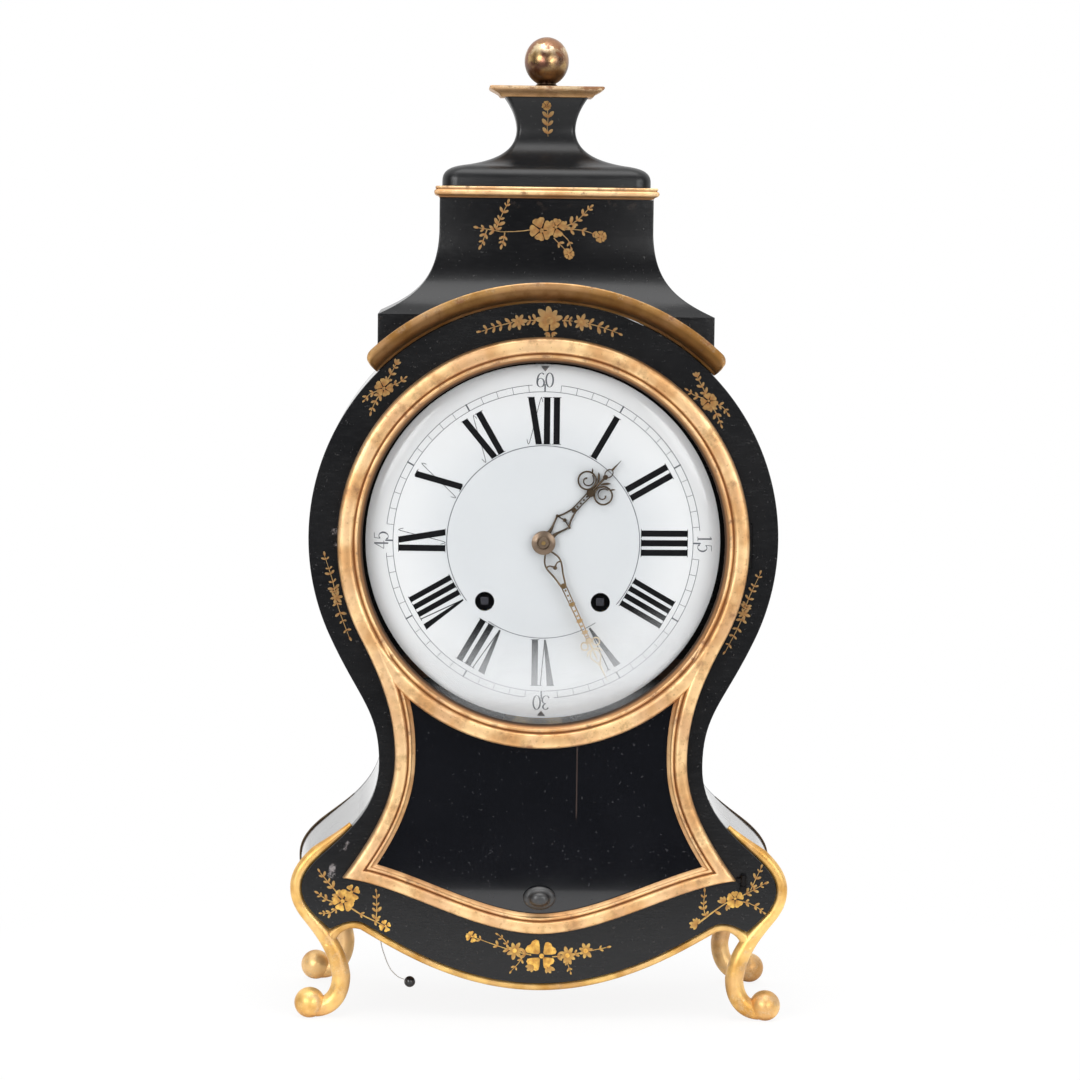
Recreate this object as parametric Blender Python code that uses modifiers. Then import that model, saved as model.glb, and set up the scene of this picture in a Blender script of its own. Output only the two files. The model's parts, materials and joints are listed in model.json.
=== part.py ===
"""A violin-cased spring clock with a repeat cord: case, hood, feet, glazed door, dial, hands and movement.

The front of the clock faces -Y, +X is its right as seen from the front, and it stands on the plane z = 0.
"""

import math

import bmesh
import bpy
from mathutils import Matrix, Vector

MM = 0.001
SEAT = 0.3 * MM

# Case outline, seen from the front
DIAL_Z = 274 * MM
HEAD_LIFT = 2.5 * MM
HEAD_Z = DIAL_Z + HEAD_LIFT
HEAD_RADIUS = 133.4 * MM
HEAD_TURN = math.radians(25)
WAIST_Z = 147 * MM
WAIST_HALF = 92.2 * MM
HIP_Z = 76 * MM
HIP_HALF = 135.7 * MM
HEEL_Z = 52 * MM
HEEL_HALF = 119.3 * MM
APRON_Z = 21.3 * MM
APRON_SHOULDER_HALF = 100 * MM
APRON_SHOULDER_Z = 55.3 * MM

# Case depths, measured back from the face of the front board
FRONT_BOARD = 12 * MM
CASE_DEPTH = 126 * MM
BACK_BOARD = 8 * MM
SIDE_WALL = 8 * MM
BASE_BOARD = 8 * MM
BROW_REACH = 14 * MM
KNOB_REACH = 15 * MM
FRONT_Y = (BROW_REACH - CASE_DEPTH - KNOB_REACH) / 2

# Hood: half widths and heights, with a depth that is a share of the width
HOOD_BASE_HALF = 95.3 * MM
HOOD_LIP_RISE = 126.5 * MM
HOOD_LIP_Z = HEAD_Z + HOOD_LIP_RISE
HOOD_WAIST_HALF = 61 * MM
HOOD_HEIGHT = 66 * MM
HOOD_TOP_Z = HOOD_LIP_Z + HOOD_HEIGHT
HOOD_SETBACK = 1 * MM
HOOD_BASE_DEPTH_HALF = CASE_DEPTH / 2 - HOOD_SETBACK
FILLET_HALF = 64 * MM
FILLET_HEIGHT = 6.4 * MM
CAP_HALF = 60 * MM
CAP_RISE = 19 * MM
CAP_SHOULDER_Z = HOOD_TOP_Z + CAP_RISE
NECK_HALF = 17.2 * MM
NECK_RISE = 20 * MM
NECK_Z = CAP_SHOULDER_Z + NECK_RISE
NECK_TOP_HALF = 23.5 * MM
PLATE_HALF = 33 * MM
NECK_FLARE = 19.5 * MM
PLATE_Z = NECK_Z + NECK_FLARE
PLATE_HEIGHT = 6.2 * MM
BALL_RADIUS = 13.2 * MM
BALL_NECK = 5.6 * MM

# Brow over the dial
BROW_WIDTH = 10 * MM
BROW_HALF_ANGLE = math.radians(45.5)

# Door moulding
DOOR_RADIUS = 116.4 * MM
DOOR_TURN = math.radians(28)
DOOR_WAIST_Z = 150.5 * MM
DOOR_WAIST_HALF = 83.2 * MM
DOOR_TIP_Z = 82 * MM
DOOR_TIP_INSET = 4.1 * MM
DOOR_TIP_HALF = DOOR_RADIUS - DOOR_TIP_INSET
DOOR_FOOT_Z = 50.7 * MM
RING_WIDTH = 14.2 * MM
RAIL_WIDTH = 11.6 * MM
MOULDING_HEIGHT = 8.5 * MM
REBATE = 2.6 * MM
REBATE_DEPTH = 2.8 * MM
PANE = 2 * MM
PANE_CROWN = 3.5 * MM
OPENING_MARGIN = 2 * MM
DOOR_STAND_OFF = 0.4 * MM
DOOR_KNOB_Z = 71.5 * MM
DOOR_KNOB_RADIUS = 7.6 * MM
DOOR_KNOB_REACH = 8 * MM

# Hinges
PIN_RADIUS = 0.9 * MM
KNUCKLE_RADIUS = 1.7 * MM
KNUCKLE_LENGTH = 12 * MM
HINGE_LEAF = 1 * MM
BACK_HINGE_HALF = 30 * MM

# Back door
BACK_OPENING_HALF = 66 * MM
BACK_OPENING_LOW = 178 * MM
BACK_OPENING_HIGH = 332 * MM
BACK_LAP = 7 * MM
BACK_DOOR = 6 * MM
BACK_KNUCKLE = 2.2 * MM
BACK_KNOB_RADIUS = 6 * MM

# Feet
FOOT_BALL_RADIUS = 8.3 * MM
FOOT_BALL_HALF = 129.4 * MM
FOOT_FLAT = 0.4 * MM
FOOT_STEM = 5.1 * MM
FOOT_SCROLL = 17.5 * MM
HIP_BEAD = 3.4 * MM
APRON_BEAD = 2.3 * MM

# Dial and hands
DIAL_RADIUS = 100.5 * MM
DIAL_DEPTH = 8 * MM
DIAL_DOME = 4 * MM
DIAL_ROLL = 5.5 * MM
DIAL_FLAT_RADIUS = 88 * MM
DIAL_THICKNESS = 1.5 * MM
DIAL_BORE = 4.2 * MM
WINDING_HALF = 33 * MM
WINDING_DROP = 34.2 * MM
WINDING_HOLE = 5.5 * MM
HAND_THICKNESS = 1.2 * MM
HOUR_HAND_LENGTH = 64.3 * MM
MINUTE_HAND_LENGTH = 87 * MM
HOUR_HAND_DEPTH = 5.6 * MM
MINUTE_HAND_DEPTH = 2.5 * MM
MINUTES_SHOWN = 25.75
HOURS_SHOWN = 1

# Movement: plates, arbors and teeth
PLATE_THICKNESS = 2.5 * MM
FRONT_PLATE = 34 * MM
BACK_PLATE = 82 * MM
PLATE_SIDE = 65 * MM
PLATE_ABOVE = 66 * MM
PLATE_BELOW = 68 * MM
PILLAR_RADIUS = 4 * MM
SEAT_BOARD = 12 * MM
SEAT_BOARD_FRONT = 26 * MM
PIVOT = 1.2 * MM
ARBOR = 1.8 * MM
WHEEL = 2 * MM
ADDENDUM = 0.7
DEDENDUM = 1.2
BARREL_TEETH = 56
BARREL_MODULE = 1.05 * MM
BARREL_PINION = 8
INTERMEDIATE_TEETH = 48
INTERMEDIATE_MODULE = 0.915 * MM
CENTRE_PINION = 6
CENTRE_TEETH = 60
CENTRE_MODULE = 0.665 * MM
THIRD_PINION = 6
THIRD_TEETH = 84
THIRD_MODULE = 0.45 * MM
ESCAPE_PINION = 6
ESCAPE_TEETH = 30
ESCAPE_RADIUS = 12 * MM
CANNON_TEETH = 8
MINUTE_TEETH = 24
CANNON_MODULE = 0.75 * MM
MINUTE_PINION = 8
HOUR_TEETH = 32
PIN_TEETH = 54
PIN_MODULE = 0.665 * MM
FLY_PINION = 6
HOUR_PIPE = 3 * MM
HOUR_PIPE_BORE = 2 * MM
MINUTE_ARBOR = 1.6 * MM
STUD = 1.2 * MM
WINDING_ARBOR = 2.6 * MM
WINDING_SQUARE = 4.4 * MM
BARREL_RADIUS = 27 * MM
BARREL_LENGTH = 26 * MM
PALLET_RISE = 17 * MM
PENDULUM_LENGTH = 182.6 * MM
PENDULUM_ROD = 1.3 * MM
PENDULUM_STAND_OFF = 11.5 * MM
PENDULUM_DEPTH = BACK_PLATE + PLATE_THICKNESS + PENDULUM_STAND_OFF
BOB_RADIUS = 24 * MM
BOB_THICKNESS = 12 * MM
BELL_RADIUS = 28 * MM
BELL_HEIGHT = 20 * MM
BELL_WALL = 1.8 * MM
BELL_RISE = 77 * MM
BELL_DEPTH = 60 * MM
BELL_POST = 2 * MM

# Repeat work
CORD_RADIUS = 0.3 * MM
CORD_HALF = 91 * MM
CORD_DEPTH = 25 * MM
BUSH_RADIUS = 3 * MM
BEAD_RADIUS = 3.25 * MM
LEVER_ARM = 28.5 * MM
LEVER_RISE = 13 * MM


def depth(distance):
    """World y of a point this far behind the face of the front board."""
    return FRONT_Y + distance


# Shapes


def scene_collection(name):
    made = bpy.data.collections.new(name)
    bpy.context.scene.collection.children.link(made)
    return made


def material(name, colour, roughness, metallic=0.0, alpha=1.0):
    made = bpy.data.materials.new(name)
    made.use_nodes = True
    shader = made.node_tree.nodes["Principled BSDF"]
    shader.inputs["Base Color"].default_value = (*colour, 1.0)
    shader.inputs["Roughness"].default_value = roughness
    shader.inputs["Metallic"].default_value = metallic
    shader.inputs["Alpha"].default_value = alpha
    return made


def loose(mesh):
    """An object of the mesh in the collection of working shapes."""
    made = bpy.data.objects.new("shape", mesh)
    WORKING.objects.link(made)
    return made


def tidy(mesh):
    """Welds the loose caps of a curve and turns every face outward."""
    work = bmesh.new()
    work.from_mesh(mesh)
    bmesh.ops.remove_doubles(work, verts=work.verts, dist=1e-7)
    bmesh.ops.recalc_face_normals(work, faces=work.faces)
    work.to_mesh(mesh)
    work.free()


def baked(source, weld=True):
    """The object as a plain mesh in world space; the source is removed."""
    bpy.context.view_layer.update()
    graph = bpy.context.evaluated_depsgraph_get()
    mesh = bpy.data.meshes.new_from_object(source.evaluated_get(graph))
    mesh.transform(source.matrix_world)
    bpy.data.objects.remove(source)
    if weld:
        tidy(mesh)
    return loose(mesh)


def sheet(loops, front, back):
    """Closed outlines in the front view, the first of them outside, as a plate between two depths."""
    curve = bpy.data.curves.new("outline", "CURVE")
    curve.dimensions = "2D"
    curve.fill_mode = "BOTH"
    curve.extrude = (back - front) / 2
    for loop in loops:
        spline = curve.splines.new("POLY")
        spline.points.add(len(loop) - 1)
        for point, (x, z) in zip(spline.points, loop):
            point.co = (x, z, 0, 1)
        spline.use_cyclic_u = True
    made = loose(curve)
    made.rotation_euler = (math.pi / 2, 0, 0)
    made.location = (0, depth((front + back) / 2), 0)
    return baked(made)


def turned(profile, steps, ring=False):
    """A profile of (radius, height) that runs down its outer side, turned about Z."""
    mesh = bpy.data.meshes.new("profile")
    count = len(profile)
    edges = [(i, i + 1) for i in range(count - 1)]
    if ring:
        edges.append((count - 1, 0))
    mesh.from_pydata([(r, 0, h) for r, h in profile], edges, [])
    made = loose(mesh)
    screw = made.modifiers.new("Screw", "SCREW")
    screw.steps = steps
    screw.render_steps = steps
    screw.use_merge_vertices = True
    screw.merge_threshold = 1e-6
    return baked(made)


def spun(profile, steps, centre, ring=False):
    """A profile of (radius, depth) from front to back, turned about a front-to-back axis at a centre (x, z)."""
    made = turned([(r, -d) for r, d in profile], steps, ring)
    made.data.transform(Matrix.Rotation(math.pi / 2, 4, "X"))
    made.data.transform(Matrix.Translation((centre[0], FRONT_Y, centre[1])))
    return made


def rod(radius, front, back, centre, steps=8):
    return spun([(0, front), (radius, front), (radius, back), (0, back)], steps, centre)


def upright(radius, low, high, x, y, steps=8):
    made = turned([(0, high), (radius, high), (radius, low), (0, low)], steps)
    made.data.transform(Matrix.Translation((x, y, 0)))
    return made


def block(x0, x1, y0, y1, z0, z1):
    mesh = bpy.data.meshes.new("block")
    work = bmesh.new()
    bmesh.ops.create_cube(work, size=1)
    bmesh.ops.scale(work, vec=(x1 - x0, y1 - y0, z1 - z0), verts=work.verts)
    bmesh.ops.translate(work, vec=((x0 + x1) / 2, (y0 + y1) / 2, (z0 + z1) / 2), verts=work.verts)
    work.to_mesh(mesh)
    work.free()
    return loose(mesh)


def ball(radius, centre, segments=12, rings=7):
    mesh = bpy.data.meshes.new("ball")
    work = bmesh.new()
    bmesh.ops.create_uvsphere(work, u_segments=segments, v_segments=rings, radius=radius)
    bmesh.ops.translate(work, vec=centre, verts=work.verts)
    work.to_mesh(mesh)
    work.free()
    return loose(mesh)


def tube(points, radii, resolution=2):
    """A round bar through the points, with its own radius at each."""
    curve = bpy.data.curves.new("path", "CURVE")
    curve.dimensions = "3D"
    curve.bevel_depth = 1
    curve.bevel_resolution = resolution
    curve.use_fill_caps = True
    spline = curve.splines.new("POLY")
    spline.points.add(len(points) - 1)
    for point, place, radius in zip(spline.points, points, radii):
        point.co = (*place, 1)
        point.radius = radius
    return baked(loose(curve))


def loft(rings, closed=False):
    """Faces between rings of points that match one to one, capped at both ends unless the rings close on themselves."""
    mesh = bpy.data.meshes.new("loft")
    work = bmesh.new()
    rows = [[work.verts.new(p) for p in ring] for ring in rings]
    pairs = list(zip(rows, rows[1:]))
    if closed:
        pairs.append((rows[-1], rows[0]))
    else:
        work.faces.new(rows[0])
        work.faces.new(rows[-1])
    count = len(rows[0])
    for one, two in pairs:
        for i in range(count):
            work.faces.new((one[i], one[(i + 1) % count], two[(i + 1) % count], two[i]))
    bmesh.ops.recalc_face_normals(work, faces=work.faces)
    work.to_mesh(mesh)
    work.free()
    return loose(mesh)


def combined(target, others, operation):
    for other in others:
        change = target.modifiers.new("Boolean", "BOOLEAN")
        change.operation = operation
        change.object = other
        target = baked(target, weld=False)
        bpy.data.objects.remove(other)
    return target


def union(target, *others):
    return combined(target, others, "UNION")


def cut(target, *others):
    return combined(target, others, "DIFFERENCE")


def part(name, shape, look, origin=(0, 0, 0), smooth=40):
    """Names a finished shape, puts its origin where it is held or turns, and gives it its material."""
    shape.name = name
    shape.data.name = name
    shape.data.transform(Matrix.Translation(-Vector(origin)))
    shape.location = origin
    shape.data.materials.clear()
    shape.data.materials.append(look)
    shape.data.shade_smooth()
    shape.data.set_sharp_from_angle(angle=math.radians(smooth))
    WORKING.objects.unlink(shape)
    PARTS.objects.link(shape)
    return shape


# Outlines in the front view


def bezier(p0, p1, p2, p3, count):
    """Points of a cubic, without its last one."""
    found = []
    for i in range(count):
        t = i / count
        s = 1 - t
        found.append(
            tuple(
                s**3 * a + 3 * s * s * t * b + 3 * s * t * t * c + t**3 * d
                for a, b, c, d in zip(p0, p1, p2, p3)
            )
        )
    return found


def arc(cx, cz, radius, start, end, count):
    """Points of an arc from one angle to another, without its last one."""
    return [
        (
            cx + radius * math.cos(start + (end - start) * i / count),
            cz + radius * math.sin(start + (end - start) * i / count),
        )
        for i in range(count)
    ]


def circle(centre, radius, count=12, turn=0.0):
    return arc(centre[0], centre[1], radius, turn, turn + 2 * math.pi, count)


def hole(centre, radius, count=8):
    """A faceted circle whose flats lie outside the radius."""
    return circle(centre, radius / math.cos(math.pi / count), count)


def mirrored(right):
    """A closed outline from its right half, which starts and ends on the middle line."""
    left = [(-x, z) for x, z in reversed(right) if abs(x) > 1e-9]
    return right + left


def normals(path, closed):
    """Mitred directions to the left of the way along the path, long enough to keep a strip's width."""
    count = len(path)
    found = []
    for i, here in enumerate(path):
        before = path[i - 1] if closed or i > 0 else None
        after = path[(i + 1) % count] if closed or i < count - 1 else None
        sides = []
        for one, two in ((before, here), (here, after)):
            if one is None or two is None:
                continue
            dx, dz = two[0] - one[0], two[1] - one[1]
            length = math.hypot(dx, dz)
            sides.append((-dz / length, dx / length))
        nx = sum(s[0] for s in sides) / len(sides)
        nz = sum(s[1] for s in sides) / len(sides)
        scale = 1 / (nx * nx + nz * nz)
        found.append((nx * scale, nz * scale))
    return found


def offset(path, distance, closed=True):
    return [
        (x + nx * distance, z + nz * distance)
        for (x, z), (nx, nz) in zip(path, normals(path, closed))
    ]


def case_side():
    """Right side of the case, from the top of the head down to the heel."""
    top = arc(0, HEAD_Z, HEAD_RADIUS, math.pi / 2, -HEAD_TURN, 13)
    turn = (
        HEAD_RADIUS * math.cos(HEAD_TURN),
        HEAD_Z - HEAD_RADIUS * math.sin(HEAD_TURN),
    )
    run = (turn[1] - WAIST_Z) / 2
    leave = (turn[0] - run * math.tan(HEAD_TURN), turn[1] - run)
    neck = bezier(turn, leave, (WAIST_HALF, WAIST_Z + 0.42 * 2 * run), (WAIST_HALF, WAIST_Z), 4)
    fall = WAIST_Z - HIP_Z
    hip = bezier(
        (WAIST_HALF, WAIST_Z),
        (WAIST_HALF, WAIST_Z - 0.56 * fall),
        (HIP_HALF, HIP_Z + 0.28 * fall),
        (HIP_HALF, HIP_Z),
        7,
    )
    drop = HIP_Z - HEEL_Z
    heel = bezier(
        (HIP_HALF, HIP_Z),
        (HIP_HALF, HIP_Z - 0.42 * drop),
        ((HIP_HALF + HEEL_HALF) / 2, HEEL_Z + 0.3 * drop),
        (HEEL_HALF, HEEL_Z),
        4,
    )
    return top + neck + hip + heel + [(HEEL_HALF, HEEL_Z)]


def apron_edge():
    """Lower edge of the front board, from its right shoulder to the middle."""
    rise = APRON_SHOULDER_Z - APRON_Z
    edge = bezier(
        (APRON_SHOULDER_HALF, APRON_SHOULDER_Z),
        (0.8 * APRON_SHOULDER_HALF, APRON_Z + 0.66 * rise),
        (0.45 * APRON_SHOULDER_HALF, APRON_Z),
        (0, APRON_Z),
        10,
    )
    return edge + [(0, APRON_Z)]


def side_half_width(z, path):
    """Half width of a side outline at a height."""
    for (x0, z0), (x1, z1) in zip(path, path[1:]):
        if min(z0, z1) <= z <= max(z0, z1) and z0 != z1:
            return x0 + (x1 - x0) * (z - z0) / (z1 - z0)
    return path[-1][0]


def crossing(one, two):
    """Where two lines of points cross, and the places of the crossing along each."""
    for i, (p, q) in enumerate(zip(one, one[1:])):
        for j, (r, s) in enumerate(zip(two, two[1:])):
            d1 = (q[0] - p[0], q[1] - p[1])
            d2 = (s[0] - r[0], s[1] - r[1])
            cross = d1[0] * d2[1] - d1[1] * d2[0]
            if abs(cross) < 1e-15:
                continue
            t = ((r[0] - p[0]) * d2[1] - (r[1] - p[1]) * d2[0]) / cross
            u = ((r[0] - p[0]) * d1[1] - (r[1] - p[1]) * d1[0]) / cross
            if 0 <= t <= 1 and 0 <= u <= 1:
                return (p[0] + t * d1[0], p[1] + t * d1[1]), i, j
    raise ValueError("the two rails do not meet")


def spread(line, like):
    """The line drawn again with as many points, spaced as those of another line."""

    def lengths(points):
        total = [0.0]
        for p, q in zip(points, points[1:]):
            total.append(total[-1] + math.dist(p, q))
        return total

    own, other = lengths(line), lengths(like)
    found = []
    i = 0
    for mark in other:
        want = mark / other[-1] * own[-1]
        while i < len(line) - 2 and own[i + 1] < want:
            i += 1
        t = (want - own[i]) / (own[i + 1] - own[i])
        found.append(tuple(a + (b - a) * t for a, b in zip(line[i], line[i + 1])))
    return found


def door_half():
    """Right half of the door's outer outline and of its inner one, point by point, and the width between them."""
    ring = arc(0, DIAL_Z, DOOR_RADIUS, math.pi / 2, -DOOR_TURN, 14)
    turn = (
        DOOR_RADIUS * math.cos(DOOR_TURN),
        DIAL_Z - DOOR_RADIUS * math.sin(DOOR_TURN),
    )
    run = turn[1] - DOOR_WAIST_Z
    leave = (turn[0] - 0.34 * run * math.tan(DOOR_TURN), turn[1] - 0.34 * run)
    neck = bezier(
        turn,
        leave,
        (DOOR_WAIST_HALF, DOOR_WAIST_Z + 0.36 * run),
        (DOOR_WAIST_HALF, DOOR_WAIST_Z),
        4,
    )
    fall = DOOR_WAIST_Z - DOOR_TIP_Z
    out = DOOR_TIP_HALF - DOOR_WAIST_HALF
    tip = (DOOR_TIP_HALF, DOOR_TIP_Z)
    flare = bezier(
        (DOOR_WAIST_HALF, DOOR_WAIST_Z),
        (DOOR_WAIST_HALF, DOOR_WAIST_Z - 0.37 * fall),
        (DOOR_WAIST_HALF + 0.47 * out, DOOR_TIP_Z + 0.31 * fall),
        tip,
        5,
    )
    rise = DOOR_TIP_Z - DOOR_FOOT_Z
    foot = bezier(
        tip,
        (0.71 * DOOR_TIP_HALF, DOOR_TIP_Z - 0.1 * rise),
        (0.34 * DOOR_TIP_HALF, DOOR_FOOT_Z),
        (0, DOOR_FOOT_Z),
        6,
    ) + [(0, DOOR_FOOT_Z)]
    upper = ring + neck
    widths = [RING_WIDTH] * len(ring)
    for i in range(len(neck)):
        widths.append(RING_WIDTH + (RAIL_WIDTH - RING_WIDTH) * i / len(neck))
    side = upper + flare + [tip]
    widths += [RAIL_WIDTH] * (len(flare) + 1)
    inner_side = [
        (x - nx * w, z - nz * w) for (x, z), (nx, nz), w in zip(side, normals(side, False), widths)
    ]
    inner_side[0] = (0, DIAL_Z + DOOR_RADIUS - RING_WIDTH)
    inner_foot = offset(foot, -RAIL_WIDTH, False)
    inner_foot[-1] = (0, DOOR_FOOT_Z + RAIL_WIDTH)
    first = len(upper)
    corner, i, j = crossing(inner_side[first:], inner_foot)
    flare_line = spread(inner_side[first : first + i + 1] + [corner], flare + [tip])
    foot_line = spread([corner] + inner_foot[j + 1 :], foot)
    outer = upper + flare + foot
    inner = inner_side[:first] + flare_line[:-1] + foot_line
    widths = widths[: first + len(flare)] + [RAIL_WIDTH] * len(foot)
    return outer, inner, widths


# Toothed wheels


def gear(centre, teeth, module, phase):
    """Outline of a toothed wheel, with a pointed tooth at the phase angle."""
    pitch = teeth * module / 2
    found = []
    for i in range(teeth):
        for lift, step in ((ADDENDUM, 0.0), (-DEDENDUM, 0.5)):
            angle = phase + 2 * math.pi * (i + step) / teeth
            radius = pitch + lift * module
            found.append(
                (centre[0] + radius * math.cos(angle), centre[1] + radius * math.sin(angle))
            )
    return found


def mesh_phase(centre, teeth, phase, other, other_teeth):
    """Phase of the other wheel that puts one of its gaps on the first wheel's tooth."""
    way = math.atan2(other[1] - centre[1], other[0] - centre[0])
    share = ((way - phase) / (2 * math.pi / teeth)) % 1.0
    return way + math.pi + (share + 0.5) * 2 * math.pi / other_teeth


def windows(centre, inner, outer, count, spoke, phase=0.0):
    """Openings between the spokes of a wheel."""
    found = []
    for i in range(count):
        middle = phase + 2 * math.pi * (i + 0.5) / count
        half_outer = math.pi / count - spoke / (2 * outer)
        half_inner = math.pi / count - spoke / (2 * inner)
        loop = arc(centre[0], centre[1], outer, middle - half_outer, middle + half_outer, 3)
        loop += arc(centre[0], centre[1], outer, middle + half_outer, middle + half_outer + 1e-9, 1)
        loop += arc(centre[0], centre[1], inner, middle + half_inner, middle - half_inner, 1)
        loop += arc(centre[0], centre[1], inner, middle - half_inner, middle - half_inner + 1e-9, 1)
        found.append(loop)
    return found


def spoked(centre, teeth, module, phase, front):
    pitch = teeth * module / 2
    rim = pitch - DEDENDUM * module - 1.6 * MM
    hub = max(4.2 * MM, 0.26 * pitch)
    return sheet(
        [gear(centre, teeth, module, phase)] + windows(centre, hub, rim, 4, 2.4 * MM, phase),
        front,
        front + WHEEL,
    )


def arbor(centre, radius=ARBOR, pivot=PIVOT, steps=8):
    """A shaft between the plates, with a pivot at each end that runs through its plate."""
    inner = FRONT_PLATE + PLATE_THICKNESS + SEAT
    outer = BACK_PLATE - SEAT
    front = FRONT_PLATE
    back = BACK_PLATE + PLATE_THICKNESS
    return spun(
        [
            (0, front),
            (pivot, front),
            (pivot, inner),
            (radius, inner),
            (radius, outer),
            (pivot, outer),
            (pivot, back),
            (0, back),
        ],
        steps,
        centre,
    )


def between(one, two, reach_one, reach_two, side):
    """The point at given distances from two centres, on the chosen side of the line between them."""
    gap = math.dist(one, two)
    along = (reach_one**2 - reach_two**2 + gap**2) / (2 * gap)
    away = side * math.sqrt(reach_one**2 - along**2)
    ux, uz = (two[0] - one[0]) / gap, (two[1] - one[1]) / gap
    return (one[0] + along * ux - away * uz, one[1] + along * uz + away * ux)


for old in list(bpy.data.objects):
    bpy.data.objects.remove(old)
PARTS = scene_collection("violin_case_clock")
WORKING = scene_collection("working_shapes")

LACQUER = material("black_lacquer", (0.012, 0.011, 0.011), 0.22)
GILT = material("gilding", (0.72, 0.47, 0.16), 0.38, 0.9)
WOOD = material("plain_wood", (0.24, 0.13, 0.06), 0.6)
ENAMEL = material("enamel", (0.8, 0.82, 0.85), 0.18)
BRASS = material("brass", (0.62, 0.45, 0.2), 0.35, 1.0)
BRONZE = material("hand_bronze", (0.3, 0.22, 0.13), 0.4, 1.0)
STEEL = material("steel", (0.42, 0.42, 0.43), 0.35, 1.0)
GLASS = material("glass", (0.9, 0.92, 0.93), 0.04, 0.0, 0.12)
DARK_GLASS = material("dark_glass", (0.02, 0.02, 0.022), 0.06)
BELL_METAL = material("bell_metal", (0.5, 0.44, 0.3), 0.35, 1.0)
THREAD = material("thread", (0.42, 0.4, 0.38), 0.9)
BLACK_BEAD = material("black_bead", (0.015, 0.015, 0.016), 0.2)

# Case boards

SIDE = case_side()
CASE_BACK = CASE_DEPTH - BACK_BOARD
DOOR_OUTER, DOOR_INNER, DOOR_WIDTHS = door_half()


def door_line(lap):
    """Right half of a line that lies this far outside the inner edge of the moulding."""
    found = []
    for (ox, oz), (ix, iz), width in zip(DOOR_OUTER, DOOR_INNER, DOOR_WIDTHS):
        share = lap / width
        found.append((ix + (ox - ix) * share, iz + (oz - iz) * share))
    return found


OPENING = mirrored(door_line(OPENING_MARGIN))
UPPER_HINGE = (DOOR_RADIUS + 0.2 * MM, DIAL_Z)
LOWER_HINGE = (UPPER_HINGE[0], DOOR_TIP_Z)
HINGE_DEPTH = -(DOOR_STAND_OFF + KNUCKLE_RADIUS + SEAT)

board_outline = mirrored(SIDE + apron_edge())
front_board = sheet([board_outline, OPENING], 0, FRONT_BOARD)
leaf_high = KNUCKLE_LENGTH / 2 + SEAT + KNUCKLE_LENGTH / 2
front_board = cut(
    front_board,
    block(
        UPPER_HINGE[0] - 11 * MM - SEAT,
        UPPER_HINGE[0] + KNUCKLE_RADIUS + SEAT,
        depth(-1 * MM),
        depth(HINGE_LEAF + 2 * SEAT),
        UPPER_HINGE[1] - leaf_high - SEAT,
        UPPER_HINGE[1] + leaf_high + SEAT,
    ),
)
part("front_board", front_board, LACQUER)

inner_side = offset(SIDE + [(HEEL_HALF - 6 * MM, HEEL_Z - 8 * MM)], -SIDE_WALL, False)[: len(SIDE)]
inner_side[0] = (0, SIDE[0][1] - SIDE_WALL)
outer_band = [(-x, z) for x, z in reversed(SIDE[1:])] + SIDE
inner_band = [(-x, z) for x, z in reversed(inner_side[1:])] + inner_side
part(
    "case_shell",
    sheet([outer_band + list(reversed(inner_band))], FRONT_BOARD + SEAT, CASE_BACK - SEAT),
    LACQUER,
)

BASE_TOP = HEEL_Z + BASE_BOARD
base_half = inner_side[-1][0] - SEAT
base_board = block(
    -base_half,
    base_half,
    depth(FRONT_BOARD + SEAT),
    depth(CASE_BACK - SEAT),
    BASE_TOP - BASE_BOARD,
    BASE_TOP,
)
base_board = cut(
    base_board,
    upright(
        BUSH_RADIUS + SEAT,
        BASE_TOP - 2 * BASE_BOARD,
        BASE_TOP + BASE_BOARD,
        -CORD_HALF,
        depth(CORD_DEPTH),
        12,
    ),
)
part("base_board", base_board, WOOD)

back_loop = mirrored(SIDE + [(0, HEEL_Z)])
back_opening = [
    (BACK_OPENING_HALF, BACK_OPENING_HIGH),
    (BACK_OPENING_HALF, BACK_OPENING_LOW),
    (-BACK_OPENING_HALF, BACK_OPENING_LOW),
    (-BACK_OPENING_HALF, BACK_OPENING_HIGH),
]
part("back_board", sheet([back_loop, back_opening], CASE_BACK, CASE_DEPTH), LACQUER)

SEAT_TOP = DIAL_Z - PLATE_BELOW - SEAT
seat_half = side_half_width(SEAT_TOP - SEAT_BOARD, inner_side) - SEAT
part(
    "seat_board",
    block(
        -seat_half,
        seat_half,
        depth(SEAT_BOARD_FRONT),
        depth(BACK_PLATE + PLATE_THICKNESS + 2 * MM),
        SEAT_TOP - SEAT_BOARD,
        SEAT_TOP,
    ),
    WOOD,
)

# Hood

HOOD_MIDDLE = CASE_DEPTH / 2
SHARE = HOOD_BASE_DEPTH_HALF / HOOD_BASE_HALF


def hood_ring(half, z, round_off=0.0):
    """A rectangle of the hood's plan, its corners taken off if asked."""
    deep = half * SHARE
    if round_off == 0:
        corners = [(half, deep), (-half, deep), (-half, -deep), (half, -deep)]
    else:
        r = min(round_off, 0.45 * deep)
        corners = [
            (half, deep - r),
            (half - r, deep),
            (-half + r, deep),
            (-half, deep - r),
            (-half, -deep + r),
            (-half + r, -deep),
            (half - r, -deep),
            (half, -deep + r),
        ]
    return [(x, depth(HOOD_MIDDLE) + y, z) for x, y in corners]


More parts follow.
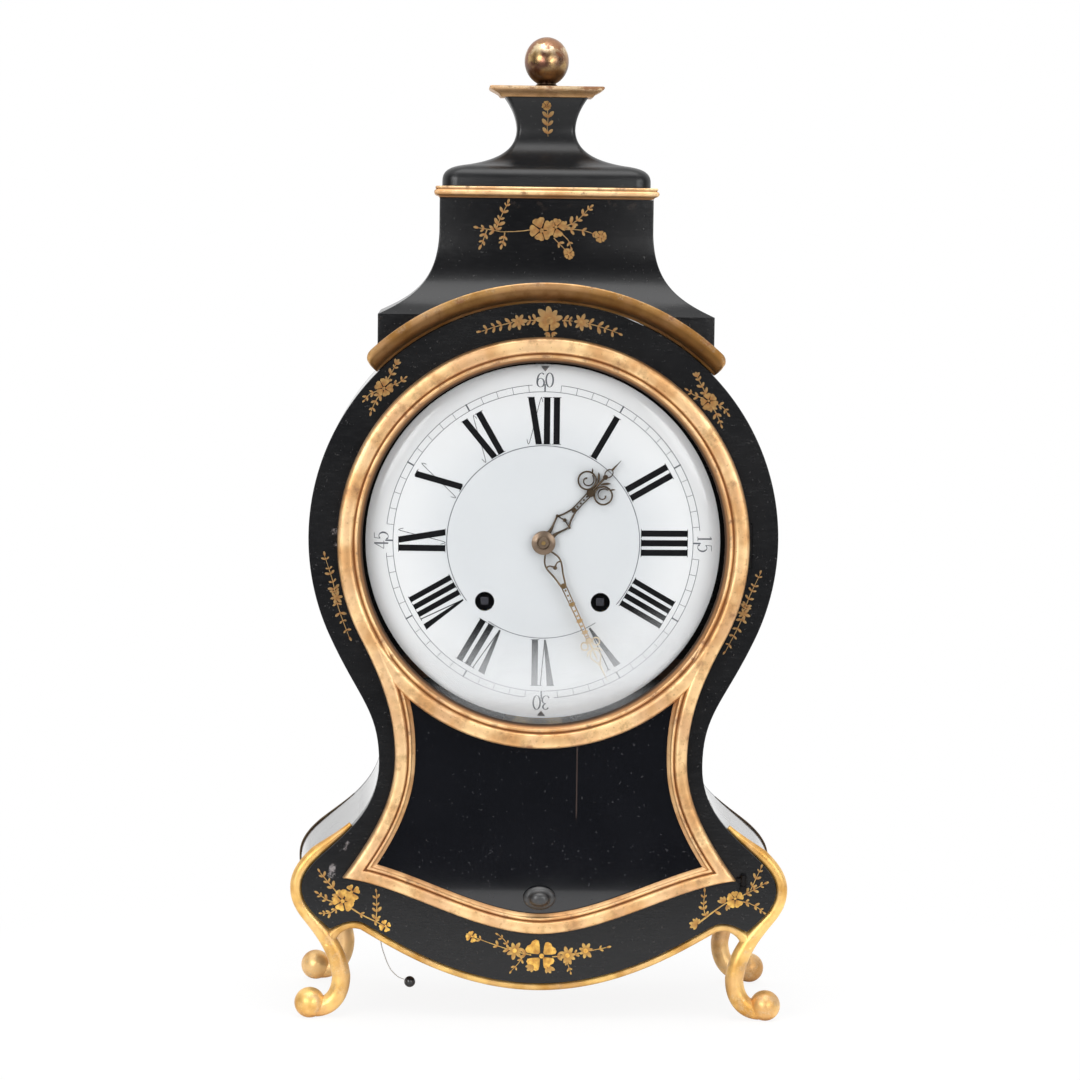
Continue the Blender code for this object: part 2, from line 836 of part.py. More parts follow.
flare = [(HOOD_WAIST_HALF, HOOD_TOP_Z)]
rise = HOOD_TOP_Z - HOOD_LIP_Z
flare_curve = bezier(
    (HOOD_WAIST_HALF, HOOD_TOP_Z - 0.3 * rise),
    (HOOD_WAIST_HALF + 1 * MM, HOOD_TOP_Z - 0.72 * rise),
    (HOOD_WAIST_HALF + 14 * MM, HOOD_LIP_Z + 0.14 * rise),
    (HOOD_BASE_HALF, HOOD_LIP_Z),
    8,
)
hood_low = HEAD_Z + math.sqrt(HEAD_RADIUS**2 - HOOD_BASE_HALF**2) + SEAT
flare += flare_curve + [(HOOD_BASE_HALF, HOOD_LIP_Z), (HOOD_BASE_HALF, hood_low)]
hood = loft([hood_ring(half, z) for half, z in flare])
arch = circle((0, HEAD_Z), HEAD_RADIUS + SEAT, 96)
hood = cut(hood, sheet([arch], -40 * MM, CASE_DEPTH + 40 * MM))
part("hood_flare", hood, LACQUER)

fillet_low = HOOD_TOP_Z + SEAT
fillet = loft(
    [
        hood_ring(HOOD_WAIST_HALF, fillet_low),
        hood_ring(FILLET_HALF, fillet_low + 0.4 * FILLET_HEIGHT),
        hood_ring(FILLET_HALF, fillet_low + 0.85 * FILLET_HEIGHT),
        hood_ring(FILLET_HALF - 1.5 * MM, fillet_low + FILLET_HEIGHT),
    ]
)
part("hood_fillet", fillet, GILT)

cap_low = fillet_low + FILLET_HEIGHT + SEAT
shoulder = CAP_SHOULDER_Z - cap_low
cap = [(CAP_HALF, cap_low), (CAP_HALF, cap_low + 0.35 * shoulder)]
cap += [
    (
        CAP_HALF - 16 * MM * (1 - math.cos(a)),
        cap_low + 0.35 * shoulder + 0.65 * shoulder * math.sin(a),
    )
    for a in (0.5, 1.0, 1.35)
]
cap += bezier(
    (0.72 * CAP_HALF, CAP_SHOULDER_Z),
    (0.34 * CAP_HALF, CAP_SHOULDER_Z + 1 * MM),
    (NECK_HALF, CAP_SHOULDER_Z + 0.35 * (NECK_Z - CAP_SHOULDER_Z)),
    (NECK_HALF, NECK_Z),
    7,
)
cap += bezier(
    (NECK_HALF, NECK_Z),
    (NECK_HALF, NECK_Z + 0.5 * (PLATE_Z - NECK_Z)),
    (NECK_TOP_HALF - 3 * MM, PLATE_Z - 2 * MM),
    (NECK_TOP_HALF, PLATE_Z - SEAT),
    4,
)
cap.append((NECK_TOP_HALF, PLATE_Z - SEAT))
part("hood_cap", loft([hood_ring(half, z, 9 * MM) for half, z in cap]), LACQUER)

top_plate = loft(
    [
        hood_ring(PLATE_HALF - 6.5 * MM, PLATE_Z),
        hood_ring(PLATE_HALF - 5 * MM, PLATE_Z + 0.28 * PLATE_HEIGHT),
        hood_ring(PLATE_HALF - 1 * MM, PLATE_Z + 0.6 * PLATE_HEIGHT),
        hood_ring(PLATE_HALF, PLATE_Z + 0.72 * PLATE_HEIGHT),
        hood_ring(PLATE_HALF, PLATE_Z + PLATE_HEIGHT),
    ]
)
part("hood_top_plate", top_plate, GILT)

ball_low = PLATE_Z + PLATE_HEIGHT + SEAT
ball_mid = ball_low + 1 * MM + BALL_RADIUS * 0.97
profile = [(0, ball_mid + BALL_RADIUS)]
for i in range(1, 9):
    angle = math.pi * i / 9.6
    profile.append((BALL_RADIUS * math.sin(angle), ball_mid + BALL_RADIUS * math.cos(angle)))
profile += [(BALL_NECK, ball_low + 1.4 * MM), (BALL_NECK + 1 * MM, ball_low), (0, ball_low)]
finial = turned(profile, 18)
finial.data.transform(Matrix.Translation((0, depth(HOOD_MIDDLE), 0)))
part("finial_ball", finial, GILT)

# Brow: a hollowed cornice along the top of the head

brow_profile = [
    (0, FRONT_BOARD),
    (0, -1.5 * MM),
    (1.2 * MM, -3.5 * MM),
    (3.2 * MM, -0.62 * BROW_REACH),
    (0.72 * BROW_WIDTH, -0.95 * BROW_REACH),
    (0.78 * BROW_WIDTH, -BROW_REACH),
    (BROW_WIDTH, -BROW_REACH),
    (BROW_WIDTH, HOOD_MIDDLE - HOOD_BASE_DEPTH_HALF - 2 * SEAT),
]
brow_profile[0] = (0, HOOD_MIDDLE - HOOD_BASE_DEPTH_HALF - 2 * SEAT)
brow_rings = []
steps = 18
for i in range(steps + 1):
    angle = math.pi / 2 - BROW_HALF_ANGLE + 2 * BROW_HALF_ANGLE * i / steps
    end = min(i, steps - i)
    shrink = 0.55 if end == 0 else 0.85 if end == 1 else 1.0
    brow_rings.append(
        [
            (
                (HEAD_RADIUS + SEAT + u * shrink) * math.cos(angle),
                depth(d * shrink if d < 0 else d),
                HEAD_Z + (HEAD_RADIUS + SEAT + u * shrink) * math.sin(angle),
            )
            for u, d in brow_profile
        ]
    )
part("brow_moulding", loft(brow_rings), GILT)

# Gilt bead under the apron

edge = apron_edge()
bead_path = offset([(-x, z) for x, z in edge[:-1]] + list(reversed(edge)), -(APRON_BEAD + SEAT), False)
bead_points = [(x, depth(FRONT_BOARD / 2 - 1 * MM), z) for x, z in bead_path]
ends = len(bead_points) - 1
bead_radii = [APRON_BEAD * (0.6 if i in (0, ends) else 1.0) for i in range(ends + 1)]
part("apron_bead", tube(bead_points, bead_radii, 1), GILT)

# Feet: a scroll that starts as the edge of the hip, turns in below the heel and ends on a ball


FOOT_START = 20


def foot(side, middle):
    """One foot: side is 1 for the right and -1 for the left, middle is the depth of its centre line."""
    base = SIDE[FOOT_START:-2]
    hip_run = offset(base, 1.0, False)
    path = []
    radii = []
    for i, ((x, z), (ox, oz)) in enumerate(zip(base, hip_run)):
        radius = HIP_BEAD * min(1.0, (i + 0.6) / 3)
        if i > 4:
            radius = HIP_BEAD + (FOOT_STEM - HIP_BEAD) * 0.6 * (i - 4) / (len(base) - 5)
        away = radius + SEAT
        path.append((x + (ox - x) * away, z + (oz - z) * away))
        radii.append(radius)
    inward = FOOT_BALL_HALF - FOOT_SCROLL
    start = path[-1]
    low = FOOT_BALL_RADIUS - FOOT_FLAT
    scroll = bezier(
        start,
        (start[0] - 0.4 * FOOT_SCROLL, start[1] - 0.46 * FOOT_SCROLL),
        (inward - 0.09 * FOOT_SCROLL, 0.84 * HEEL_Z),
        (inward, 0.5 * HEEL_Z),
        5,
    )[1:]
    scroll += bezier(
        (inward, 0.5 * HEEL_Z),
        (inward, 0.27 * HEEL_Z),
        (inward + 0.34 * FOOT_SCROLL, 0.12 * HEEL_Z),
        (FOOT_BALL_HALF - 0.2 * FOOT_SCROLL, low - 0.12 * FOOT_BALL_RADIUS),
        4,
    )
    scroll.append((FOOT_BALL_HALF - 0.2 * FOOT_SCROLL, low - 0.12 * FOOT_BALL_RADIUS))
    for i, point in enumerate(scroll):
        path.append(point)
        swell = min(1.0, i / 3)
        taper = max(0.0, (i - 5) / 4)
        radii.append((radii[len(base) - 1] * (1 - swell) + FOOT_STEM * swell) * (1 - 0.1 * taper))
    made = tube([(side * x, depth(middle), z) for x, z in path], radii, 1)
    made = union(made, ball(FOOT_BALL_RADIUS, (side * FOOT_BALL_HALF, depth(middle), low)))
    reach = 2 * FOOT_BALL_HALF
    return cut(made, block(-reach, reach, -reach, reach, -0.1, 0))


FRONT_FOOT = FRONT_BOARD - FOOT_STEM - 1.5 * MM
REAR_FOOT = CASE_DEPTH - BACK_BOARD / 2
for label, side in (("left", -1), ("right", 1)):
    for place, middle in (("front", FRONT_FOOT), ("rear", REAR_FOOT)):
        part(
            f"foot_{place}_{label}",
            foot(side, middle),
            GILT,
            (side * FOOT_BALL_HALF, depth(middle), 0),
        )

# Door: gilt moulding with a rebate for the panes, cross arc, panes, knob and hinges

HINGE_AXIS = (UPPER_HINGE[0], depth(HINGE_DEPTH), 0)


def section(width, outer_rebate):
    """Moulding section as (distance in from the outer edge, depth), front bead, groove and inner lip."""
    back = -DOOR_STAND_OFF
    step = -DOOR_STAND_OFF - REBATE_DEPTH
    points = [(0, back), (0, step - 1 * MM)]
    if outer_rebate:
        points = [(REBATE, back), (REBATE, step), (0, step), (0, step - 1 * MM)]
    crown = -MOULDING_HEIGHT
    points += [
        (0.1 * width, 0.76 * crown),
        (0.3 * width, crown),
        (0.5 * width, 0.86 * crown),
        (0.66 * width, 0.62 * crown),
        (width, 0.56 * crown),
    ]
    points += [(width, step), (width - REBATE, step), (width - REBATE, back)]
    return points


rings = []
for (ox, oz), (ix, iz), width in zip(DOOR_OUTER, DOOR_INNER, DOOR_WIDTHS):
    ring = []
    for u, d in section(width, False):
        share = u / width
        ring.append((ox + (ix - ox) * share, depth(d), oz + (iz - oz) * share))
    rings.append(ring)
rings += [[(-x, y, z) for x, y, z in ring] for ring in rings[-2:0:-1]]
moulding = loft(rings, closed=True)


def hinge_pocket(low, high, grow):
    return upright(KNUCKLE_RADIUS + grow, low, high, HINGE_AXIS[0], HINGE_AXIS[1], 12)


moulding = cut(
    moulding,
    hinge_pocket(UPPER_HINGE[1] - leaf_high - SEAT, UPPER_HINGE[1] + leaf_high + SEAT, 2 * SEAT),
    block(
        UPPER_HINGE[0] - KNUCKLE_RADIUS - 2 * SEAT,
        UPPER_HINGE[0] + 10 * MM,
        HINGE_AXIS[1],
        depth(1 * MM),
        UPPER_HINGE[1] - leaf_high - SEAT,
        UPPER_HINGE[1] + leaf_high + SEAT,
    ),
)
part("door_moulding", moulding, GILT, HINGE_AXIS)

arc_rings = []
arc_steps = 14
arc_half = math.pi / 2 - DOOR_TURN
for i in range(arc_steps + 1):
    angle = -math.pi / 2 - arc_half + 2 * arc_half * i / arc_steps
    arc_rings.append(
        [
            ((DOOR_RADIUS - u) * math.cos(angle), depth(d), DIAL_Z + (DOOR_RADIUS - u) * math.sin(angle))
            for u, d in section(RING_WIDTH, True)
        ]
    )
cross_arc = loft(arc_rings)
trim = mirrored(door_line(-SEAT))
frame = mirrored([(0, 0.6), (0.4, 0.6), (0.4, -0.1), (0, -0.1)])
cross_arc = cut(cross_arc, sheet([frame, trim], -0.1, 0.1))
part("door_cross_arc", cross_arc, GILT, HINGE_AXIS)

pane_front = -(DOOR_STAND_OFF + REBATE_DEPTH - SEAT)
pane_lap = REBATE - 3 * SEAT
glass_radius = DOOR_RADIUS - RING_WIDTH + pane_lap
glass_profile = [(0, pane_front - PANE_CROWN)]
for i in range(1, 3):
    share = i / 3
    glass_profile.append((glass_radius * share * 0.98, pane_front - PANE_CROWN * (1 - share**2)))
glass_back = [(r, d + PANE) for r, d in reversed(glass_profile)]
glass_profile += [
    (DOOR_RADIUS - RING_WIDTH - 1 * MM, pane_front),
    (glass_radius, pane_front),
    (glass_radius, pane_front + PANE),
    (DOOR_RADIUS - RING_WIDTH - 1 * MM, pane_front + PANE),
]
dial_glass = spun(glass_profile + glass_back, 30, (0, DIAL_Z))
part("dial_glass", dial_glass, GLASS, HINGE_AXIS)

pane_top = DOOR_RADIUS - REBATE + SEAT
pane_side = door_line(pane_lap)
kept = [p for p in pane_side if math.dist(p, (0, DIAL_Z)) > pane_top + 2 * MM and p[1] < DIAL_Z]
first = kept[0]
start_angle = math.acos(min(1.0, first[0] / (pane_top + 1 * MM)))
top_edge = arc(0, DIAL_Z, pane_top, -math.pi / 2, -start_angle - math.radians(1.5), 9)
lower_pane = sheet([mirrored([(0, DIAL_Z - pane_top)] + top_edge[1:] + kept)], pane_front, pane_front + PANE)
part("lower_pane", lower_pane, DARK_GLASS, HINGE_AXIS)

knob = spun(
    [
        (0, pane_front - SEAT - DOOR_KNOB_REACH),
        (0.5 * DOOR_KNOB_RADIUS, pane_front - SEAT - 0.96 * DOOR_KNOB_REACH),
        (0.9 * DOOR_KNOB_RADIUS, pane_front - SEAT - 0.75 * DOOR_KNOB_REACH),
        (DOOR_KNOB_RADIUS, pane_front - SEAT - 0.55 * DOOR_KNOB_REACH),
        (0.7 * DOOR_KNOB_RADIUS, pane_front - SEAT - 0.34 * DOOR_KNOB_REACH),
        (0.55 * DOOR_KNOB_RADIUS, pane_front - SEAT),
        (0, pane_front - SEAT),
    ],
    18,
    (0, DOOR_KNOB_Z),
)
part("door_knob", knob, LACQUER, HINGE_AXIS)


def bored(radius, low, high):
    """A hinge knuckle on the door's axis, with its bore."""
    return cut(
        upright(radius, low, high, HINGE_AXIS[0], HINGE_AXIS[1], 12),
        upright(PIN_RADIUS + SEAT, low - 1 * MM, high + 1 * MM, HINGE_AXIS[0], HINGE_AXIS[1], 12),
    )


half_knuckle = KNUCKLE_LENGTH / 2
part(
    "door_knuckle_upper",
    bored(KNUCKLE_RADIUS, UPPER_HINGE[1] - half_knuckle, UPPER_HINGE[1] + half_knuckle),
    BRASS,
    HINGE_AXIS,
)
bracket = upright(
    PIN_RADIUS,
    UPPER_HINGE[1] - leaf_high,
    UPPER_HINGE[1] + leaf_high,
    HINGE_AXIS[0],
    HINGE_AXIS[1],
)
bracket = union(
    bracket,
    upright(
        KNUCKLE_RADIUS,
        UPPER_HINGE[1] + half_knuckle + SEAT,
        UPPER_HINGE[1] + leaf_high - 0.2 * MM,
        HINGE_AXIS[0],
        HINGE_AXIS[1],
        12,
    ),
    upright(
        KNUCKLE_RADIUS,
        UPPER_HINGE[1] - leaf_high + 0.2 * MM,
        UPPER_HINGE[1] - half_knuckle - SEAT,
        HINGE_AXIS[0],
        HINGE_AXIS[1],
        12,
    ),
    block(
        HINGE_AXIS[0] - 0.8 * MM,
        HINGE_AXIS[0] + 0.8 * MM,
        HINGE_AXIS[1],
        depth(SEAT + 0.5 * HINGE_LEAF),
        UPPER_HINGE[1] + half_knuckle + 2 * SEAT,
        UPPER_HINGE[1] + leaf_high - 0.4 * MM,
    ),
    block(
        HINGE_AXIS[0] - 0.8 * MM,
        HINGE_AXIS[0] + 0.8 * MM,
        HINGE_AXIS[1],
        depth(SEAT + 0.5 * HINGE_LEAF),
        UPPER_HINGE[1] - leaf_high + 0.4 * MM,
        UPPER_HINGE[1] - half_knuckle - 2 * SEAT,
    ),
    block(
        UPPER_HINGE[0] - 11 * MM,
        UPPER_HINGE[0] + 1.1 * MM,
        depth(SEAT),
        depth(SEAT + HINGE_LEAF),
        UPPER_HINGE[1] - leaf_high,
        UPPER_HINGE[1] + leaf_high,
    ),
)
part("hinge_bracket_upper", bracket, BRASS)

knuckle = bored(KNUCKLE_RADIUS, LOWER_HINGE[1] - half_knuckle / 2, LOWER_HINGE[1] + half_knuckle / 2)
lug = block(
    DOOR_TIP_HALF + 2 * SEAT,
    HINGE_AXIS[0] - PIN_RADIUS - 1.5 * SEAT,
    HINGE_AXIS[1] - 0.6 * MM,
    HINGE_AXIS[1] + 0.6 * MM,
    LOWER_HINGE[1] - 1.2 * MM,
    LOWER_HINGE[1] + 1.2 * MM,
)
part("door_knuckle_lower", union(knuckle, lug), BRASS, HINGE_AXIS)
pintle_low = LOWER_HINGE[1] - half_knuckle / 2 - SEAT - 3 * MM
pintle = union(
    upright(PIN_RADIUS, pintle_low + 0.5 * MM, LOWER_HINGE[1] + half_knuckle / 2, HINGE_AXIS[0], HINGE_AXIS[1]),
    block(
        HINGE_AXIS[0] - KNUCKLE_RADIUS,
        HINGE_AXIS[0] + KNUCKLE_RADIUS,
        HINGE_AXIS[1] - KNUCKLE_RADIUS,
        depth(-SEAT),
        pintle_low,
        pintle_low + 3 * MM,
    ),
)
part("hinge_bracket_lower", pintle, BRASS)

# Back door on its hinge

BACK_AXIS = (
    BACK_OPENING_HALF + BACK_LAP + BACK_KNUCKLE + 2 * SEAT,
    depth(CASE_DEPTH + SEAT + BACK_DOOR / 2),
    (BACK_OPENING_LOW + BACK_OPENING_HIGH) / 2,
)
part(
    "back_door",
    block(
        -BACK_OPENING_HALF - BACK_LAP,
        BACK_OPENING_HALF + BACK_LAP,
        depth(CASE_DEPTH + SEAT),
        depth(CASE_DEPTH + SEAT + BACK_DOOR),
        BACK_OPENING_LOW - BACK_LAP,
        BACK_OPENING_HIGH + BACK_LAP,
    ),
    LACQUER,
    BACK_AXIS,
)
third = BACK_HINGE_HALF / 3
moving = upright(BACK_KNUCKLE, BACK_AXIS[2] - third, BACK_AXIS[2] + third, BACK_AXIS[0], BACK_AXIS[1], 12)
moving = union(
    moving,
    block(
        BACK_OPENING_HALF - 8 * MM,
        BACK_AXIS[0],
        depth(CASE_DEPTH + 2 * SEAT + BACK_DOOR),
        depth(CASE_DEPTH + 2 * SEAT + BACK_DOOR + HINGE_LEAF),
        BACK_AXIS[2] - third + SEAT,
        BACK_AXIS[2] + third - SEAT,
    ),
    block(
        BACK_AXIS[0] - 1 * MM,
        BACK_AXIS[0] + 0.8 * MM,
        BACK_AXIS[1],
        depth(CASE_DEPTH + 2 * SEAT + BACK_DOOR + 0.7 * HINGE_LEAF),
        BACK_AXIS[2] - third + 2 * SEAT,
        BACK_AXIS[2] + third - 2 * SEAT,
    ),
)
moving = cut(
    moving,
    upright(
        PIN_RADIUS + SEAT,
        BACK_AXIS[2] - BACK_HINGE_HALF,
        BACK_AXIS[2] + BACK_HINGE_HALF,
        BACK_AXIS[0],
        BACK_AXIS[1],
        12,
    ),
)
part("back_hinge_moving", moving, BRASS, BACK_AXIS)
fixed = upright(
    PIN_RADIUS,
    BACK_AXIS[2] - BACK_HINGE_HALF + 0.5 * MM,
    BACK_AXIS[2] + BACK_HINGE_HALF - 0.5 * MM,
    BACK_AXIS[0],
    BACK_AXIS[1],
)
for low, high in (
    (BACK_AXIS[2] + third + SEAT, BACK_AXIS[2] + BACK_HINGE_HALF),
    (BACK_AXIS[2] - BACK_HINGE_HALF, BACK_AXIS[2] - third - SEAT),
):
    fixed = union(
        fixed,
        upright(BACK_KNUCKLE, low, high, BACK_AXIS[0], BACK_AXIS[1], 12),
        block(
            BACK_AXIS[0] - 0.5 * MM,
            BACK_AXIS[0] + 1.2 * MM,
            depth(CASE_DEPTH + SEAT + 0.5 * HINGE_LEAF),
            BACK_AXIS[1],
            low + SEAT,
            high - SEAT,
        ),
    )
fixed = union(
    fixed,
    block(
        BACK_AXIS[0] - 0.6 * MM,
        BACK_AXIS[0] + 12 * MM,
        depth(CASE_DEPTH + SEAT),
        depth(CASE_DEPTH + SEAT + 0.8 * HINGE_LEAF),
        BACK_AXIS[2] - BACK_HINGE_HALF + 2 * SEAT,
        BACK_AXIS[2] + BACK_HINGE_HALF - 2 * SEAT,
    ),
)
part("back_hinge_fixed", fixed, BRASS)
knob_seat = CASE_DEPTH + SEAT + BACK_DOOR + SEAT
back_knob = spun(
    [
        (0, knob_seat),
        (0.5 * BACK_KNOB_RADIUS, knob_seat),
        (0.5 * BACK_KNOB_RADIUS, knob_seat + 3 * MM),
        (BACK_KNOB_RADIUS, knob_seat + 5.5 * MM),
        (0.75 * BACK_KNOB_RADIUS, CASE_DEPTH + KNOB_REACH - 0.6 * MM),
        (0, CASE_DEPTH + KNOB_REACH),
    ],
    14,
    (-BACK_OPENING_HALF + 4 * MM, BACK_AXIS[2]),
)
part("back_door_knob", back_knob, BRASS, BACK_AXIS)

# Dial

CENTRE = (0.0, DIAL_Z)


def dial_face(radius):
    """Depth of the dial's face: a shallow dome whose rim rolls back."""
    if radius <= DIAL_FLAT_RADIUS:
        return DIAL_DEPTH + DIAL_DOME * (radius / DIAL_FLAT_RADIUS) ** 2
    share = min(1.0, (radius - DIAL_FLAT_RADIUS) / (DIAL_RADIUS - DIAL_FLAT_RADIUS))
    slope = 2 * DIAL_DOME / DIAL_FLAT_RADIUS * (radius - DIAL_FLAT_RADIUS)
    return DIAL_DEPTH + DIAL_DOME + slope + DIAL_ROLL * (1 - math.sqrt(max(0.0, 1 - share**2)))


dial_radii = [DIAL_BORE, 0.45 * DIAL_RADIUS, 0.7 * DIAL_RADIUS, DIAL_FLAT_RADIUS]
dial_radii += [DIAL_FLAT_RADIUS + (DIAL_RADIUS - DIAL_FLAT_RADIUS) * s for s in (0.5, 0.85, 1.0)]
face = [(r, dial_face(r)) for r in dial_radii]
back = [
    (r - (DIAL_THICKNESS * 0.8 if r > DIAL_FLAT_RADIUS else 0), d + DIAL_THICKNESS)
    for r, d in reversed(face)
]
dial = spun(face + back, 32, CENTRE, ring=True)
WINDING = {
    "going": (WINDING_HALF, DIAL_Z - WINDING_DROP),
    "strike": (-WINDING_HALF, DIAL_Z - WINDING_DROP),
}
for place in WINDING.values():
    dial = cut(dial, rod(WINDING_HOLE, 0, FRONT_PLATE, place, 12))
dial_foot = 0.55 * DIAL_RADIUS
for angle in (90, 210, 330):
    turn = math.radians(angle)
    place = (dial_foot * math.cos(turn), DIAL_Z + dial_foot * math.sin(turn))
    dial = union(
        dial,
        rod(1.5 * MM, dial_face(dial_foot) + 0.6 * DIAL_THICKNESS, FRONT_PLATE - SEAT, place, 8),
    )
part("dial", dial, ENAMEL, (0, depth(DIAL_DEPTH), DIAL_Z))

# Places of the arbors

GOING = WINDING["going"]
STRIKE = WINDING["strike"]
barrel_reach = (BARREL_TEETH + BARREL_PINION) * BARREL_MODULE / 2
INTERMEDIATE = between(
    CENTRE,
    GOING,
    (INTERMEDIATE_TEETH + CENTRE_PINION) * INTERMEDIATE_MODULE / 2,
    barrel_reach,
    1,
)
PIN = (-INTERMEDIATE[0], INTERMEDIATE[1])
third_reach = (CENTRE_TEETH + THIRD_PINION) * CENTRE_MODULE / 2
third_turn = math.radians(105)
THIRD = (third_reach * math.cos(third_turn), DIAL_Z + third_reach * math.sin(third_turn))
escape_reach = (THIRD_TEETH + ESCAPE_PINION) * THIRD_MODULE / 2
ESCAPE = (0.0, THIRD[1] + math.sqrt(escape_reach**2 - THIRD[0] ** 2))
PALLET = (0.0, ESCAPE[1] + PALLET_RISE)
minute_reach = (CANNON_TEETH + MINUTE_TEETH) * CANNON_MODULE / 2
MINUTE_STUD = (0.0, DIAL_Z - minute_reach)
HOUR_MODULE = 2 * minute_reach / (MINUTE_PINION + HOUR_TEETH)
fly_reach = (PIN_TEETH + FLY_PINION) * PIN_MODULE / 2
fly_turn = math.radians(150)
FLY = (PIN[0] + fly_reach * math.cos(fly_turn), PIN[1] + fly_reach * math.sin(fly_turn))
HAMMER = (-45 * MM, DIAL_Z + 40 * MM)


def at(place, distance=None):
    """World position of a point of the front view, at a depth."""
    middle = (FRONT_PLATE + BACK_PLATE) / 2 if distance is None else distance
    return (place[0], depth(middle), place[1])


# Plates

plate_loop = [
    (-PLATE_SIDE, DIAL_Z - PLATE_BELOW),
    (PLATE_SIDE, DIAL_Z - PLATE_BELOW),
    (PLATE_SIDE, DIAL_Z + PLATE_ABOVE - 14 * MM),
    (PLATE_SIDE - 14 * MM, DIAL_Z + PLATE_ABOVE),
    (-PLATE_SIDE + 14 * MM, DIAL_Z + PLATE_ABOVE),
    (-PLATE_SIDE, DIAL_Z + PLATE_ABOVE - 14 * MM),
]
pivots = [INTERMEDIATE, PIN, THIRD, FLY, HAMMER, PALLET]
ESCAPE_PIVOT = 0.8 * MM
holes = [hole(p, PIVOT + SEAT) for p in pivots]
holes.append(hole(ESCAPE, ESCAPE_PIVOT + SEAT))
front_holes = [hole(CENTRE, MINUTE_ARBOR + SEAT), hole(GOING, WINDING_ARBOR + SEAT), hole(STRIKE, WINDING_ARBOR + SEAT)]
back_holes = [hole(CENTRE, PIVOT + SEAT), hole(GOING, WINDING_ARBOR - 0.6 * MM + SEAT)]
back_holes.append(hole(STRIKE, WINDING_ARBOR - 0.6 * MM + SEAT))
front_plate = sheet([plate_loop] + holes + front_holes, FRONT_PLATE, FRONT_PLATE + PLATE_THICKNESS)
STUD_FRONT = 21.5 * MM
front_plate = union(front_plate, rod(STUD, STUD_FRONT, FRONT_PLATE + 1 * MM, MINUTE_STUD))
part("front_plate", front_plate, BRASS)
back_plate = sheet([plate_loop] + holes + back_holes, BACK_PLATE, BACK_PLATE + PLATE_THICKNESS)
for x, z in (
    (-PLATE_SIDE + 6 * MM, DIAL_Z - PLATE_BELOW + 5.5 * MM),
    (PLATE_SIDE - 6 * MM, DIAL_Z - PLATE_BELOW + 5.5 * MM),
    (PLATE_SIDE - 9 * MM, DIAL_Z + PLATE_ABOVE - 18 * MM),
    (-PLATE_SIDE + 9 * MM, DIAL_Z + PLATE_ABOVE - 18 * MM),
):
    pillar = rod(PILLAR_RADIUS, FRONT_PLATE + PLATE_THICKNESS + SEAT, BACK_PLATE + 1 * MM, (x, z))
    back_plate = union(back_plate, pillar)
part("back_plate", back_plate, BRASS)

# Wheels of the going side. Phases follow from tooth to gap along the train.

CANNON_PHASE = 0.0
CENTRE_PHASE = 0.0
PINION_PHASE = 0.0
BARREL_FRONT = 44 * MM
BARREL_FLANGE = BARREL_FRONT + BARREL_LENGTH
INTERMEDIATE_FRONT = BARREL_FLANGE + 6 * MM
CENTRE_WHEEL_FRONT = FRONT_PLATE + PLATE_THICKNESS + 2 * MM
THIRD_FRONT = 56 * MM
ESCAPE_FRONT = 75 * MM
CANNON_FRONT = 28 * MM
HOUR_WHEEL_FRONT = 24 * MM

nut_front = MINUTE_HAND_DEPTH - 1.9 * MM
centre = spun(
    [
        (0, nut_front),
        (MINUTE_ARBOR - 0.6 * MM, nut_front),
        (MINUTE_ARBOR - 0.6 * MM, MINUTE_HAND_DEPTH - 0.2 * MM),
        (MINUTE_ARBOR, MINUTE_HAND_DEPTH - 0.2 * MM),
        (MINUTE_ARBOR, FRONT_PLATE + PLATE_THICKNESS + SEAT),
        (ARBOR, FRONT_PLATE + PLATE_THICKNESS + SEAT),
        (ARBOR, BACK_PLATE - SEAT),
        (PIVOT, BACK_PLATE - SEAT),
        (PIVOT, BACK_PLATE + PLATE_THICKNESS),
        (0, BACK_PLATE + PLATE_THICKNESS),
    ],
    8,
    CENTRE,
)
centre = union(
    centre,
    sheet([gear(CENTRE, CANNON_TEETH, CANNON_MODULE, CANNON_PHASE)], CANNON_FRONT, CANNON_FRONT + 4 * MM),
    spoked(CENTRE, CENTRE_TEETH, CENTRE_MODULE, CENTRE_PHASE, CENTRE_WHEEL_FRONT),
    sheet(
        [gear(CENTRE, CENTRE_PINION, INTERMEDIATE_MODULE, PINION_PHASE)],
        INTERMEDIATE_FRONT - 2 * MM,
        INTERMEDIATE_FRONT + 4 * MM,
    ),
)
part("centre_wheel", centre, BRASS, at(CENTRE))

intermediate_phase = mesh_phase(CENTRE, CENTRE_PINION, PINION_PHASE, INTERMEDIATE, INTERMEDIATE_TEETH)
intermediate = union(
    arbor(INTERMEDIATE),
    spoked(INTERMEDIATE, INTERMEDIATE_TEETH, INTERMEDIATE_MODULE, intermediate_phase, INTERMEDIATE_FRONT),
    sheet(
        [gear(INTERMEDIATE, BARREL_PINION, BARREL_MODULE, 0.0)],
        BARREL_FLANGE - 2 * MM,
        BARREL_FLANGE + 5 * MM,
    ),
)
part("intermediate_wheel", intermediate, BRASS, at(INTERMEDIATE))


